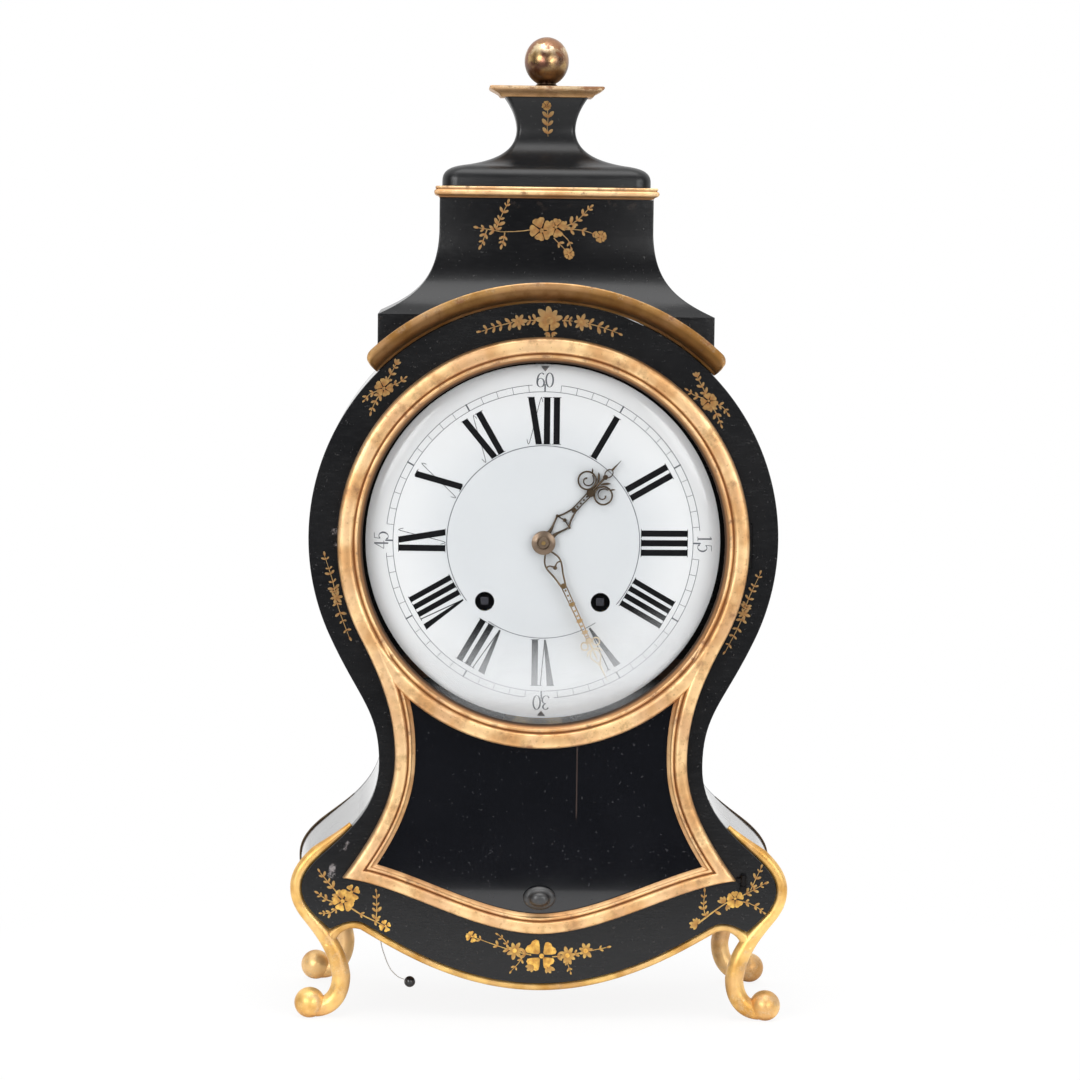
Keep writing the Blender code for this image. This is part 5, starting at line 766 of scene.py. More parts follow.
class Shape:
    """Points and faces of one piece, with how far each point is darkened, for grooves and for painted shade,
    and how worn it is, which on gilding also paints a highlight.
    """

    def __init__(self):
        self.points = []
        self.faces = []
        self.groove_and_shade = []
        self.wear_and_highlight = []

    def ring(self, points, groove_and_shade=0.0, wear_and_highlight=0.0):
        first = len(self.points)
        count = len(points)
        self.points += points
        self.groove_and_shade += groove_and_shade if isinstance(groove_and_shade, list) else [groove_and_shade] * count
        self.wear_and_highlight += wear_and_highlight if isinstance(wear_and_highlight, list) else [wear_and_highlight] * count
        return list(range(first, first + count))

    def band(self, one, two, closed=True):
        count = len(one)
        for i in range(count if closed else count - 1):
            j = (i + 1) % count
            self.faces.append((one[i], one[j], two[j], two[i]))

    def skin(self, rings, closed=False):
        """Walls between rings of points, round to the first again or with a cap at each end."""
        for one, two in zip(rings, rings[1:]):
            self.band(one, two)
        if closed:
            self.band(rings[-1], rings[0])
        else:
            self.faces.append(tuple(rings[0]))
            self.faces.append(tuple(rings[-1]))

    def fill(self, loops):
        """Faces over a flat outline and its holes."""
        flat = [[Vector((self.points[i].x, self.points[i].z, 0)) for i in loop] for loop in loops]
        order = [i for loop in loops for i in loop]
        for corners in tessellate_polygon(flat):
            self.faces.append(tuple(order[i] for i in corners))

    def plate(self, loops, front, back, ease=0.8, wear_and_highlight=1.0):
        """A board with eased edges: loops are its outline and then its holes."""
        steps = ((front, ease, 0.0), (front + 0.3 * ease, 0.3 * ease, wear_and_highlight), (front + ease, 0, 0.0))
        steps += ((back - ease, 0, 0.0), (back - 0.3 * ease, 0.3 * ease, 0.0), (back, ease, 0.0))
        fronts = []
        backs = []
        for i, loop in enumerate(loops):
            area = sum(a[0] * b[1] - b[0] * a[1] for a, b in zip(loop, loop[1:] + loop[:1]))
            inward = (1 if area > 0 else -1) * (1 if i == 0 else -1)
            rings = []
            for d, shrink, worn in steps:
                line = offset(loop, inward * shrink)
                rings.append(self.ring([at(x, d, z) for x, z in line], 0.0, worn))
            for one, two in zip(rings, rings[1:]):
                self.band(one, two)
            fronts.append(rings[0])
            backs.append(rings[-1])
        self.fill(fronts)
        self.fill(backs)

    def sweep(self, ribs, section, closed=False):
        """A moulding: each rib gives its two ends, the section a share between them and a depth."""
        rings = []
        for (ox, oz), (ix, iz), width in ribs:
            profile = section(width)
            points = [at(ox + (ix - ox) * u, d, oz + (iz - oz) * u) for u, d, _, _ in profile]
            rings.append(self.ring(points, [p[2] for p in profile], [p[3] for p in profile]))
        self.skin(rings, closed)

    def lathe(self, profile, steps, place):
        """Turns a profile of radius, height and wear; place gives the point at a radius, angle and height."""
        rings = []
        for radius, height, worn in profile:
            turns = [2 * math.pi * i / steps for i in range(steps)]
            if radius < 1e-6:
                rings.append(self.ring([place(0, 0, height)] * steps, 0.0, worn))
            else:
                rings.append(self.ring([place(radius, t, height) for t in turns], 0.0, worn))
        for one, two in zip(rings, rings[1:]):
            self.band(one, two)

    def tube(self, path, radii, steps, wear_and_highlight=None):
        """A round rod along points in metres, closed at both ends."""
        rings = []
        side = Vector((0, 1, 0))
        last = len(path) - 1
        for i, (point, radius) in enumerate(zip(path, radii)):
            ahead = (path[min(i + 1, last)] - path[max(i - 1, 0)]).normalized()
            side = (side - ahead * side.dot(ahead)).normalized()
            over = ahead.cross(side)
            turns = [2 * math.pi * k / steps for k in range(steps)]
            ring = [point + (side * math.cos(t) + over * math.sin(t)) * radius * MM for t in turns]
            rings.append(self.ring(ring, 0.0, wear_and_highlight[i] if wear_and_highlight else 0.0))
        self.skin(rings)

    def stroke(self, path, widths, lay, lift=PAINT_LIFT, closed=False):
        """A thin painted line on a surface whose depth lay gives."""
        rings = []
        for (x, z), (nx, nz), width in zip(path, normals(path, closed), widths):
            left = (x + nx * width / 2, z + nz * width / 2)
            right = (x - nx * width / 2, z - nz * width / 2)
            ring = [at(px, lay(px, pz) - lift, pz) for px, pz in (left, right)]
            ring += [at(px, lay(px, pz) + PAINT_SINK, pz) for px, pz in (right, left)]
            rings.append(self.ring(ring))
        self.skin(rings, closed)

    def wire(self, path, widths, front, back, closed=False):
        """A bar of a hand with a rounded face."""
        face = ((-0.5, 1.0), (-0.5, 0.5), (-0.3, 0.12), (0, 0), (0.3, 0.12), (0.5, 0.5), (0.5, 1.0))
        rings = []
        deep = back - front
        for (x, z), (nx, nz), width in zip(path, normals(path, closed), widths):
            ring = []
            for share, drop in face:
                ring.append(at(x + nx * width * share, front + deep * drop, z + nz * width * share))
            rings.append(self.ring(ring, 0.0, 1.0))
        self.skin(rings, closed)

    def joined(self, other):
        first = len(self.points)
        self.points += other.points
        self.groove_and_shade += other.groove_and_shade
        self.wear_and_highlight += other.wear_and_highlight
        self.faces += [tuple(i + first for i in face) for face in other.faces]


def mesh_of(name, shape):
    work = bmesh.new()
    groove_and_shade = work.verts.layers.float.new("groove_and_shade")
    wear_and_highlight = work.verts.layers.float.new("wear_and_highlight")
    made = []
    for point, grooved_and_shaded, worn in zip(shape.points, shape.groove_and_shade, shape.wear_and_highlight):
        vert = work.verts.new(point)
        vert[groove_and_shade] = grooved_and_shaded
        vert[wear_and_highlight] = worn
        made.append(vert)
    for face in shape.faces:
        corners = []
        for i in face:
            if made[i] not in corners:
                corners.append(made[i])
        if len(corners) > 2:
            work.faces.new(corners)
    bmesh.ops.remove_doubles(work, verts=work.verts, dist=1e-7)
    bmesh.ops.dissolve_degenerate(work, edges=work.edges, dist=1e-8)
    bmesh.ops.recalc_face_normals(work, faces=work.faces)
    mesh = bpy.data.meshes.new(name)
    work.to_mesh(mesh)
    work.free()
    return mesh


def settle(name, mesh, finish, body, stands_for=(), crease=38):
    """Puts a finished mesh in the scene as a piece of the clock."""
    mesh.polygons.foreach_set("use_smooth", [True] * len(mesh.polygons))
    mesh.set_sharp_from_angle(angle=math.radians(crease))
    mesh.materials.clear()
    mesh.materials.append(finish)
    piece = linked(name, mesh)
    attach(piece, body)
    if stands_for:
        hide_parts(*stands_for)
    return piece


def solid(name, shape, finish, body, stands_for=(), crease=38):
    return settle(name, mesh_of(name, shape), finish, body, stands_for, crease)


def carved(shape, *cutters):
    """The mesh of a shape with other shapes taken out of it."""
    holder = linked("carving", mesh_of("carving", shape))
    helpers = [holder]
    for cutter in cutters:
        tool = linked("cutter", mesh_of("cutter", cutter))
        helpers.append(tool)
        change = holder.modifiers.new("cut", "BOOLEAN")
        change.object = tool
        change.solver = "EXACT"
    bpy.context.view_layer.update()
    graph = bpy.context.evaluated_depsgraph_get()
    mesh = bpy.data.meshes.new_from_object(holder.evaluated_get(graph))
    for helper in helpers:
        old = helper.data
        bpy.data.objects.remove(helper)
        bpy.data.meshes.remove(old)
    return mesh


def through(outline, front, back):
    """A solid with this outline from one depth to another."""
    shape = Shape()
    shape.skin([shape.ring([at(x, d, z) for x, z in outline]) for d in (front, back)])
    return shape


def raised(plan, low, high):
    """A solid with this plan from one height to another."""
    shape = Shape()
    shape.skin([shape.ring([at(x, d, z) for x, d in plan]) for z in (low, high)])
    return shape


def box_shape(low, high):
    plan = [(low[0], low[1]), (high[0], low[1]), (high[0], high[1]), (low[0], high[1])]
    return raised(plan, low[2], high[2])


def face_on(x, z, wide=1.0, tall=1.0):
    """Places for a lathe whose axis runs from front to back, round or oval."""

    def place(radius, turn, height):
        return at(x + wide * radius * math.cos(turn), height, z + tall * radius * math.sin(turn))

    return place


def upright_on(x, d):
    """Places for a lathe whose axis stands upright."""

    def place(radius, turn, height):
        return at(x + radius * math.cos(turn), d + radius * math.sin(turn), height)

    return place


def ball_profile(radius, steps, wear_and_highlight):
    turns = [math.pi * i / steps for i in range(steps + 1)]
    return [(radius * math.sin(turn), -radius * math.cos(turn), wear_and_highlight) for turn in turns]


def panel_edge(left, right, foot, head, corner):
    """Outline of an upright panel with rounded corners."""
    edge = []
    quarter = math.pi / 2
    for i, (x, z) in enumerate(((right, head), (left, head), (left, foot), (right, foot))):
        middle = (x - corner if x == right else x + corner, z - corner if z == head else z + corner)
        edge += arc(middle, corner, quarter * i, quarter * (i + 1.2), 6)
    return edge


# Repeat cord, which hangs through the base and ends in a bead

CORD_X = -91
CORD_DEPTH = 25
CORD_EXIT = 50
THREAD_WIDTH = 0.6


def repeat_cord():
    route = [(CORD_X, z) for z in (71.1, 62, 54, 48)]
    route += [(-90.4, 39.4), (-87.6, 30.2), (-84.5, 23.8), (-80.4, 19.8), (-76.88, 18.35)]
    points = smooth(route, 4)
    line = bpy.data.curves.new("repeat_cord_line", "CURVE")
    line.dimensions = "3D"
    line.bevel_depth = THREAD_WIDTH / 2 * MM
    line.bevel_resolution = 3
    line.use_fill_caps = True
    spline = line.splines.new("POLY")
    spline.points.add(len(points) - 1)
    places = [at(x, CORD_DEPTH, z) for x, z in points]
    for knot, place in zip(spline.points, places):
        knot.co = (*place, 1)
    line.materials.append(THREAD)
    cord = linked("repeat_cord_line", line)
    bead = Shape()
    tilt = Vector((-6.8, 0, 2.8)).normalized()
    other = Vector((0, 1, 0))
    third = tilt.cross(other)

    def on_bead(radius, turn, height):
        away = tilt * height + (other * math.cos(turn) + third * math.sin(turn)) * radius
        return at(-73.6, CORD_DEPTH, 17) + away * MM

    bead.lathe(ball_profile(3.25, 14, 0), 24, on_bead)
    knob = solid("cord_end_bead", bead, BEAD, "pull", ["cord_bead"])
    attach(cord, "pull")
    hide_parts("repeat_cord")
    tuple(at(CORD_X, CORD_DEPTH, CORD_EXIT))


repeat_cord()


# Case


def build_case():
    side = case_side()
    outline = mirrored(side + hip_edge() + apron_edge())
    board = Shape()
    board.plate([outline, mirrored(lapped(2))], 0, BOARD_BACK, 0.25)
    leaf_pocket = box_shape((105.3, -1, KNUCKLE_LOW), (118.6, 1.6, KNUCKLE_HIGH))
    mesh = carved(board, leaf_pocket)
    settle("front_board_lacquered", mesh, LACQUER, "case", ["front_board"], 15)

    inner = offset(side + [(113.3, 44)], -WALL, False)[: len(side)]
    inner[0] = (0, side[0][1] - WALL)
    rear_side = rear_edge()
    front_band, rear_band, inner_band = [both_sides(half) for half in (side, rear_side, inner)]
    shell = Shape()
    front = [shell.ring([at(x, BOARD_BACK + SEAT, z) for x, z in line]) for line in (front_band, inner_band)]
    rear = [shell.ring([at(x, REAR_FRONT - SEAT, z) for x, z in line]) for line in (rear_band, inner_band)]
    shell.band(front[0], front[1], False)
    shell.band(rear[0], rear[1], False)
    for one, two in zip(front, rear):
        shell.band(one, two, False)
    for end in (0, -1):
        shell.faces.append((front[0][end], front[1][end], rear[1][end], rear[0][end]))
    solid("case_sides_lacquered", shell, SIDE_LACQUER, "case", ["case_shell"])

    back = Shape()
    doorway = [(66, 332), (66, 178), (-66, 178), (-66, 332)]
    back.plate([mirrored(rear_side + [(0, HEEL[1])]), doorway], REAR_FRONT, REAR_BACK, 0.7)
    solid("back_board_lacquered", back, LACQUER, "case", ["back_board"], 15)

    door = Shape()
    door.plate([panel_edge(-73, 73, 171, 339, 2)], REAR_BACK + SEAT, 132.3, 1.0)
    solid("back_door_lacquered", door, LACQUER, "rear_door", ["back_door"], 15)


build_case()


# Hood


def flare_profile():
    """Half width and height of the hood's flare, from its top down to the lip."""
    lip = (HOOD_HALF, HOOD_LIP)
    found = [(61, HOOD_TOP), (61, 459)]
    return found + bezier((61, 449.2), (62, 421.48), (75, 412.24), lip, 30) + [lip]


def cap_profile():
    """Half width and height of the hood's cap and neck, from below."""
    found = [(59.6, 476)] + bezier((59.6, 479), (59.6, 485.2), (54, 487.2), (45, 488.3), 14)
    found += bezier((45, 488.3), (30, 490.8), (17.5, 496), (16.8, 508.5), 22)
    return found + bezier((16.8, 508.5), (16.8, 515), (19.6, 521.5), (23.8, 527.2), 14) + [(23.8, 527.2)]


def hood_ring(half, z, corner):
    """A rectangle of the hood's plan with rounded corners."""
    deep = half * HOOD_SHARE
    found = []
    for sx, sy, start in ((1, 1, 0), (-1, 1, 90), (-1, -1, 180), (1, -1, 270)):
        for k in range(7):
            turn = math.radians(start + 15 * k)
            x = sx * (half - corner) + corner * math.cos(turn)
            y = sy * (deep - corner) + corner * math.sin(turn)
            found.append(at(x, HOOD_MIDDLE + y, z))
    return found


def hood_depth(profile, z):
    """Depth of the hood's front face at a height."""
    for (half_a, za), (half_b, zb) in zip(profile, profile[1:]):
        if min(za, zb) <= z <= max(za, zb) and za != zb:
            half = half_a + (half_b - half_a) * (z - za) / (zb - za)
            return HOOD_MIDDLE - half * HOOD_SHARE
    return HOOD_MIDDLE - profile[0][0] * HOOD_SHARE


def build_hood():
    flare = Shape()
    rings = []
    for half, z in flare_profile() + [(HOOD_HALF, z) for z in (390, 372, 362)]:
        worn = 0.6 if z in (HOOD_LIP, HOOD_TOP) else 0.0
        rings.append(flare.ring(hood_ring(half, z, 0.7), 0.0, worn))
    flare.skin(rings)
    arch = through(circle((0, HEAD_Z), HEAD_RADIUS + SEAT, 240), -40, 166)
    mesh = carved(flare, arch)
    settle("hood_flare_lacquered", mesh, HOOD_LACQUER, "case", ["hood_flare"], 30)

    cap = Shape()
    cap.skin([cap.ring(hood_ring(half, z, 0.15 * half)) for half, z in cap_profile()])
    solid("hood_cap_lacquered", cap, CAP_LACQUER, "case", ["hood_cap"], 50)

    fillet = Shape()
    # Its crests are painted paler as highlights, and the hollows between them and at its foot darker as
    # painted shade.
    steps = ((61, 469.3, 1, 0), (61.6, 470.2, 0.9, 0), (63, 470.7, 0.5, 0), (63.9, 471.4, 0, 0.6))
    steps += ((64.2, 472.3, 0, 1), (63.9, 473.2, 0, 0.6), (63, 473.7, 0.8, 0), (62.8, 474, 0.9, 0))
    steps += ((63.2, 474.4, 0.3, 0.4), (63.5, 474.9, 0, 1), (63.2, 475.5, 0, 1), (62.6, 475.7, 0, 0.4))
    fillet.skin([fillet.ring(hood_ring(half, z, 0.9), g, w) for half, z, g, w in steps])
    solid("hood_fillet_gilt", fillet, DOOR_GILT, "case", ["hood_fillet"], 50)

    plate = Shape()
    # Its underside is darker, and the top edge of its right half paler.
    steps = ((26.5, 527.5, 0.5, 0), (27.6, 529, 0.4, 0), (29.8, 530.3, 0.3, 0), (32.2, 531.6, 0, 0.4))
    steps += ((33, 532.6, 0, 1), (32.9, 533.4, 0, 1), (32.2, 533.7, 0, 0.4))
    rings = []
    for half, z, g, w in steps:
        line = hood_ring(half, z, 0.9)
        rings.append(plate.ring(line, g, [w + (0.9 if point.x > 0.002 and w else 0) for point in line]))
    plate.skin(rings)
    solid("hood_plate_gilt", plate, PLATE_GILT, "case", ["hood_top_plate"], 50)

    ball = Shape()
    profile = [(0, 534, 0), (6.7, 534, 0.4), (6.5, 534.5, 0.4), (5.7, 535.2, 0), (5.5, 535.6, 0)]
    low = math.asin(5.5 / 12.8)
    for i in range(21):
        turn = low + (math.pi - low) * i / 20
        profile.append((12.8 * math.sin(turn), 548.4 - 14 * math.cos(turn), 0.6))
    ball.lathe(profile, 48, upright_on(0, HOOD_MIDDLE))
    # The lower part of the ball is painted dark as shade, and its top paler as a painted highlight.
    ball.groove_and_shade = [clamped((0.5485 - point.z) / 0.007) for point in ball.points]
    ball.wear_and_highlight = [0.6 + 2.6 * clamped((point.z - 0.5515) / 0.008) for point in ball.points]
    solid("finial_gilt", ball, BALL_GILT, "case", ["finial_ball"])


build_hood()


# Gilt brow, apron bead and feet


def build_brow():
    cove = bezier((0.9, -2.4), (1.2, -7.5), (3.6, -11.9), (7.4, -13.4), 10)
    # The cove is painted dark brown as shade, and the fascia and top lip paler as painted highlights.
    section = [(0, 0.4, 0, 0), (0, -1.5, 0, 0.6)] + [(u, d, 0.86, 0) for u, d in cove]
    section += [(7.5, -13.9, 0.3, 0.6), (8.1, -14, 0, 0.6), (9.5, -14, 0, 0.6)]
    section += [(10, -13.5, 0, 1), (10, 0.4, 0, 0)]
    section = [(0.4 + 1.12 * u if d < 0 else u * 1.15, d, g, w) for u, d, g, w in section]
    brow = Shape()
    rings = []
    steps = 220
    half = math.radians(45.5)
    for i in range(steps + 1):
        turn = -half + 2 * half * i / steps
        from_end = (half - abs(turn)) * HEAD_RADIUS
        round_off = min(1.0, from_end / 6)
        shrink = 0.45 + 0.55 * math.sqrt(1 - (1 - round_off) ** 2)
        ring = []
        for u, d, _, _ in section:
            radius = HEAD_RADIUS + SEAT + u * shrink
            deep = d * shrink if d < 0 else d
            ring.append(at(radius * math.sin(turn), deep, HEAD_Z + radius * math.cos(turn)))
        rings.append(brow.ring(ring, [s[2] for s in section], [s[3] for s in section]))
    brow.skin(rings)
    solid("brow_gilt", brow, SHADED_BROW_GILT, "case", ["brow_moulding"])


def build_apron_bead():
    """The bead under the board's edge, which runs over the hips into the feet."""
    edge = apron_edge()
    hip = [(120.2, 41.6), (119.2, 46), (116.2, 49.8), (111.8, 52.4), (107.6, 53.6), (104.4, 53.7)]
    right = smooth(hip, 4) + offset(edge + [(-1, APRON_LOW)], 2.6, False)[:-1]
    line = [(-x, z) for x, z in right[:-1]] + list(reversed(right))
    last = len(line) - 1
    radii = [2.3 + 2.2 * max(0.0, 1 - min(i, last - i) / 14) ** 1.3 for i in range(last + 1)]
    bead = Shape()
    bead.tube([at(x, 5, z) for x, z in line], radii, 20, [0.3] * (last + 1))
    solid("apron_bead_gilt", bead, FOOT_GILT, "case", ["apron_bead"])


def foot_path(full, flared):
    """Centre line and radii of a foot, seen from the front: its arm on the hip, the stem and the toe.

    Full is the share of its thickness that the arm has. A flared one follows the hip's line at the back.
    """
    base = hip_curve(56)[22:] + heel_curve(24)[:13]
    away = normals(base, False)
    path = []
    radii = []
    for i, ((x, z), (nx, nz)) in enumerate(zip(base, away)):
        step = 4 * i / 34 if i <= 34 else 4 + 2 * (i - 34) / 12
        radius = 3.4 * min(1.0, (step + 1.3) / 3.2) if step <= 4 else 3.4 + 0.17 * (step - 4)
        radius *= full + (1 - full) * max(0.0, step - 4) / 2
        out = radius - 0.2 + (hip_flare(z) if flared else 0)
        path.append((x + nx * out, z + nz * out))
        radii.append(radius)
    x, z = path[-1]
    stem = bezier((x, z), (x - 7.5, z - 9), (115, 41.5), (112.8, 24), 20)[1:]
    toe = bezier((112.8, 24), (112.8, 13), (118.6, 5.7), (127.2, 5.7), 18) + [(127.2, 5.7)]
    start = radii[-1]
    radii += [start + (5.3 - start) * min(1.0, (i + 1) / 16) for i in range(len(stem))]
    radii += [5.3 + 0.2 * i / 18 for i in range(len(toe))]
    return path + stem + toe, radii


def build_foot(name, side, middle):
    """A foot; the front ones' arms lie close to the board's face, the rear ones' are a thin rim whose upper
    part is painted near black as shade.
    """
    rear = middle > HOOD_MIDDLE
    path, radii = foot_path(0.2 if rear else 1.0, rear)
    foot = Shape()
    last = len(path) - 1
    worn = [0.2 + 0.5 * i / last for i in range(last + 1)]
    ahead = [0 if rear else 1.9 * clamped((50 - i) / 16) for i in range(last + 1)]
    foot.tube([at(side * x, middle - a, z) for (x, z), a in zip(path, ahead)], radii, 22, worn)
    # The rear arm above the heel is painted near black, a painted shade.
    if rear:
        foot.groove_and_shade = [clamped((point.z - 0.058) / 0.008) for point in foot.points]
    ball = Shape()

    def on_toe(radius, turn, height):
        point = at(side * 130.7 + radius * math.cos(turn), middle + height, 8.4 + radius * math.sin(turn))
        point.z = max(point.z, 0)
        return point

    ball.lathe(ball_profile(8.8, 20, 0.7), 32, on_toe)
    foot.joined(ball)
    solid(name + "_gilt", foot, REAR_SHADED_GILT if rear else FOOT_GILT, "case", [name])


build_brow()
build_apron_bead()
for foot_name, foot_side, foot_middle in (
    ("foot_front_left", -1, 5.4),
    ("foot_front_right", 1, 5.4),
    ("foot_rear_left", -1, 122),
    ("foot_rear_right", 1, 122),
):
    build_foot(foot_name, foot_side, foot_middle)


# Door


def door_section(width, drop=0.0):
    """Share in from the outer edge, depth, groove and wear of the door moulding's points.

    Its inner lip is painted near black round the dial and brown along the rails, a painted shadow; its outer
    shoulder and the flanks of its inner bead are painted darker as shade, and the hollow before the bead is
    brown.
    """
    # The outer shoulder is painted darker, a painted shade; the hollow before the bead turns brown.
    found = [(0, -0.4, 0.5, 0), (0, -3.2, 0.6, 0), (0.012, -5.2, 0.5, 0), (0.035, -6.7, 0.34, 0)]
    found += [(0.075, -7.7, 0.12, 0.3), (0.13, -8.15, 0, 0.2), (0.2, -8.36, 0, 0), (0.28, -8.46, 0, 0)]
    found += [(0.36, -8.5, 0, 0), (0.44, -8.46, 0, 0), (0.51, -8.34, 0, 0), (0.555, -8.12, 0.05, 0)]
    found += [(0.59, -7.7, 0.2, 0), (0.615, -7.0, 0.6, 0), (0.635, -6.2, 1, 0), (0.655, -5.8, 1, 0)]
    found += [(0.67, -5.7, 0.9, 0)]
    found = [(share, d + (drop if d < -5 else 0), groove_and_shade, wear_and_highlight) for share, d, groove_and_shade, wear_and_highlight in found]
    # The flanks of the inner bead are painted darker as shade.
    for i, groove_and_shade in enumerate((0.4, 0.1, 0.0, 0.0, 0.2, 0.6)):
        turn = math.radians(20 + 140 * i / 5)
        found.append((0.75 - 0.075 * math.cos(turn), -5.7 - 0.9 * math.sin(turn) + drop, groove_and_shade, 0.6))
    # Past the bead the lip is painted darker towards the glass, near black round the ring and brown along the
    # rails, a painted shadow; the rebate's edge is darkest.
    ring = (width - RAIL_WIDTH) / (RING_WIDTH - RAIL_WIDTH)
    found += [(0.835, -5.5 + drop, 0.4 + 0.45 * ring, 0), (0.87, -5.1 + drop, 0.4 + 0.7 * ring, 0)]
    found += [(0.92, -4.7, 0.5 + 0.8 * ring, 0)]
    found += [(share, d, 0.7 + 0.8 * ring, 0) for share, d in ((0.97, -4.4), (1, -4.2))]
    rebate = 1 - 2.6 / width
    return found + [(1, -3.2, 1.5, 0), (rebate, -3.2, 0, 0), (rebate, -0.4, 0, 0)]


def build_door():
    ribs = list(zip(DOOR_OUTER, DOOR_INNER, DOOR_WIDTHS))
    ribs += [((-o[0], o[1]), (-i[0], i[1]), w) for o, i, w in reversed(ribs[1:-1])]
    moulding = Shape()
    moulding.sweep(ribs, door_section, True)
    knuckle = raised(circle((116.6, -2.4), 2.3, 24), KNUCKLE_LOW, KNUCKLE_HIGH)
    behind = box_shape((114.3, -2.4, KNUCKLE_LOW), (126.6, 1, KNUCKLE_HIGH))
    mesh = carved(moulding, knuckle, behind)
    settle("door_moulding_gilt", mesh, DOOR_GILT, "front_door", ["door_moulding"], 42)

    arc_ribs = []
    half = math.radians(60)
    for i in range(81):
        turn = -math.pi / 2 - half + 2 * half * i / 80
        ends = []
        for radius in (DOOR_RADIUS, DOOR_RADIUS - RING_WIDTH):
            ends.append((radius * math.cos(turn), DIAL_Z + radius * math.sin(turn)))
        arc_ribs.append((*ends, RING_WIDTH))
    cross = Shape()
    cross.sweep(arc_ribs, lambda width: door_section(width, 0.12))
    solid("door_cross_arc_gilt", cross, DOOR_GILT, "front_door", ["door_cross_arc"], 42)

    glass = Shape()
    domed = [(101.2 * i / 26, -2.9 - 3.5 * (1 - (i / 26) ** 2), 0) for i in range(27)]
    rim = [(103.9, -2.9, 0), (103.9, -0.9, 0)]
    under = [(radius, d + 2, worn) for radius, d, worn in reversed(domed)]
    glass.lathe(domed + rim + under, 128, face_on(0, DIAL_Z))
    solid("dial_glass_domed", glass, GLASS, "front_door", ["dial_glass"])

    pane = Shape()
    lap = 2.2
    side = lapped(lap)[RING_STEPS:]
    top = arc((0, DIAL_Z), DOOR_RADIUS - lap, -math.pi / 2, 0, 90)
    stop, start = crossing(top, side)
    edge = [along(top, stop * i / 40) for i in range(41)] + side[int(start) + 1 :]
    pane.plate([mirrored(edge)], -2.9, -0.9, 0.2, 0.0)
    solid("lower_pane_blackened", pane, DARK_GLASS, "front_door", ["lower_pane"], 15)

    knob = Shape()
    profile = [(0, -10.9), (1.4, -10.8), (2.9, -10.35), (4.0, -9.4), (4.7, -8.2), (5.5, -7.3), (6.6, -6.6)]
    profile += [(7.4, -5.9), (7.7, -5.2), (7.4, -4.5), (6.4, -3.9), (5.6, -3.2), (0, -3.2)]
    profile = smooth(profile[:-1], 3) + [profile[-1]]
    knob.lathe([(radius, d, 0.3) for radius, d in profile], 40, face_on(0, 71.5, 1.2, 0.88))
    solid("door_knob_turned", knob, KNOB_LACQUER, "front_door", ["door_knob"])


build_door()


# Dial


def dial_face(radius):
    """Depth of the dial's face: a shallow dome whose rim rolls back."""
    if radius <= ROLL_RADIUS:
        return 8 + 3 * (radius / ROLL_RADIUS) ** 2
    share = min(1.0, (radius - ROLL_RADIUS) / 13.6)
    return 11 + 6 / ROLL_RADIUS * (radius - ROLL_RADIUS) + 1.6 * (1 - math.sqrt(1 - share**2))


def on_dial(x, z):
    return dial_face(math.hypot(x, z - DIAL_Z))


def build_dial():
    dial = Shape()
    radii = [4.2, 8, 14, 20, 26, 32, 38, 44, 50, 56, 62, 68, 74, 80, 84, 88, 90, 92, 94, 96]
    radii += [97.5, 98.7, 99.6, 100.4, 101.0, 101.3]
    rings = []
    for back, order in ((0, radii), (1.5, reversed(radii))):
        for radius in order:
            depth = dial_face(radius) + back
            rings.append(dial.ring([at(x, depth, z) for x, z in circle((0, DIAL_Z), radius, 144)]))
    dial.skin(rings, True)
    holes = [through(circle((33 * side, 239.8), 5.5, 48), 4, 24) for side in (-1, 1)]
    settle("dial_enamelled", carved(dial, *holes), ENAMEL, "case", ["dial"], 50)


def radial(turn):
    """Turns a place, across and out from the dial's centre, clockwise from the top."""

    def placed(across, out):
        x = math.sin(turn) * out + math.cos(turn) * across
        return (x, DIAL_Z + math.cos(turn) * out - math.sin(turn) * across)

    return placed


def roman(shape, word, hour):
    """An hour numeral with thick bars, hairlines and small serifs, its foot to the centre."""
    placed = radial(math.radians(30 * hour))
    tall = NUMERAL_HEAD - NUMERAL_FOOT
    tight = 0.88 if len(word) > 3 else 1.0
    room = {"I": 5.5 * tight, "V": 8.0 * tight, "X": 8.2 * tight}
    bar = 3.55 * tight
    lean = 3.5 if word == "X" else 2.3 * tight
    cursor = -sum(room[letter] for letter in word) / 2

    def line(points, width, steps=6):
        points = smooth([(cursor + room[letter] / 2 + a, NUMERAL_FOOT + tall * v) for a, v in points], steps)
        widths = width if isinstance(width, list) else [width] * len(points)
        shape.stroke([placed(a, r) for a, r in points], widths, on_dial)

    def serif(left, right, height):
        line([(left * tight, height), (right * tight, height)], 0.34)

    for letter in word:
        if letter == "I":
            line([(0, 0), (0, 1)], bar)
            serif(-2.5, 2.5, 0)
            serif(-2.5, 2.5, 1)
        elif letter == "V":
            line([(-2.3 * tight, 1), (1.1 * tight, 0)], [bar * (1.12 - 0.8 * i / 6) for i in range(7)])
            line([(3.4 * tight, 1), (1.2 * tight, 0.02)], 0.55)
            serif(-4.6, -0.4, 1)
            serif(2.2, 4.7, 1)
        else:
            hair = [(4.3, 0.9), (3.7, 0.985), (2.9, 0.95), (0, 0.5), (-2.9, 0.05), (-3.9, 0.012), (-4.5, 0.1)]
            line([(-lean, 1), (lean, 0)], bar)
            line(hair, 0.3, 4)
            serif(-4.5, -0.4, 1)
            serif(0.5, 4.4, 0)
        cursor += room[letter]


def oval(wide, tall, middle=0.0):
    turns = [t * 0.3927 for t in range(17)]
    return [(wide * math.sin(turn), middle + tall * math.cos(turn)) for turn in turns]


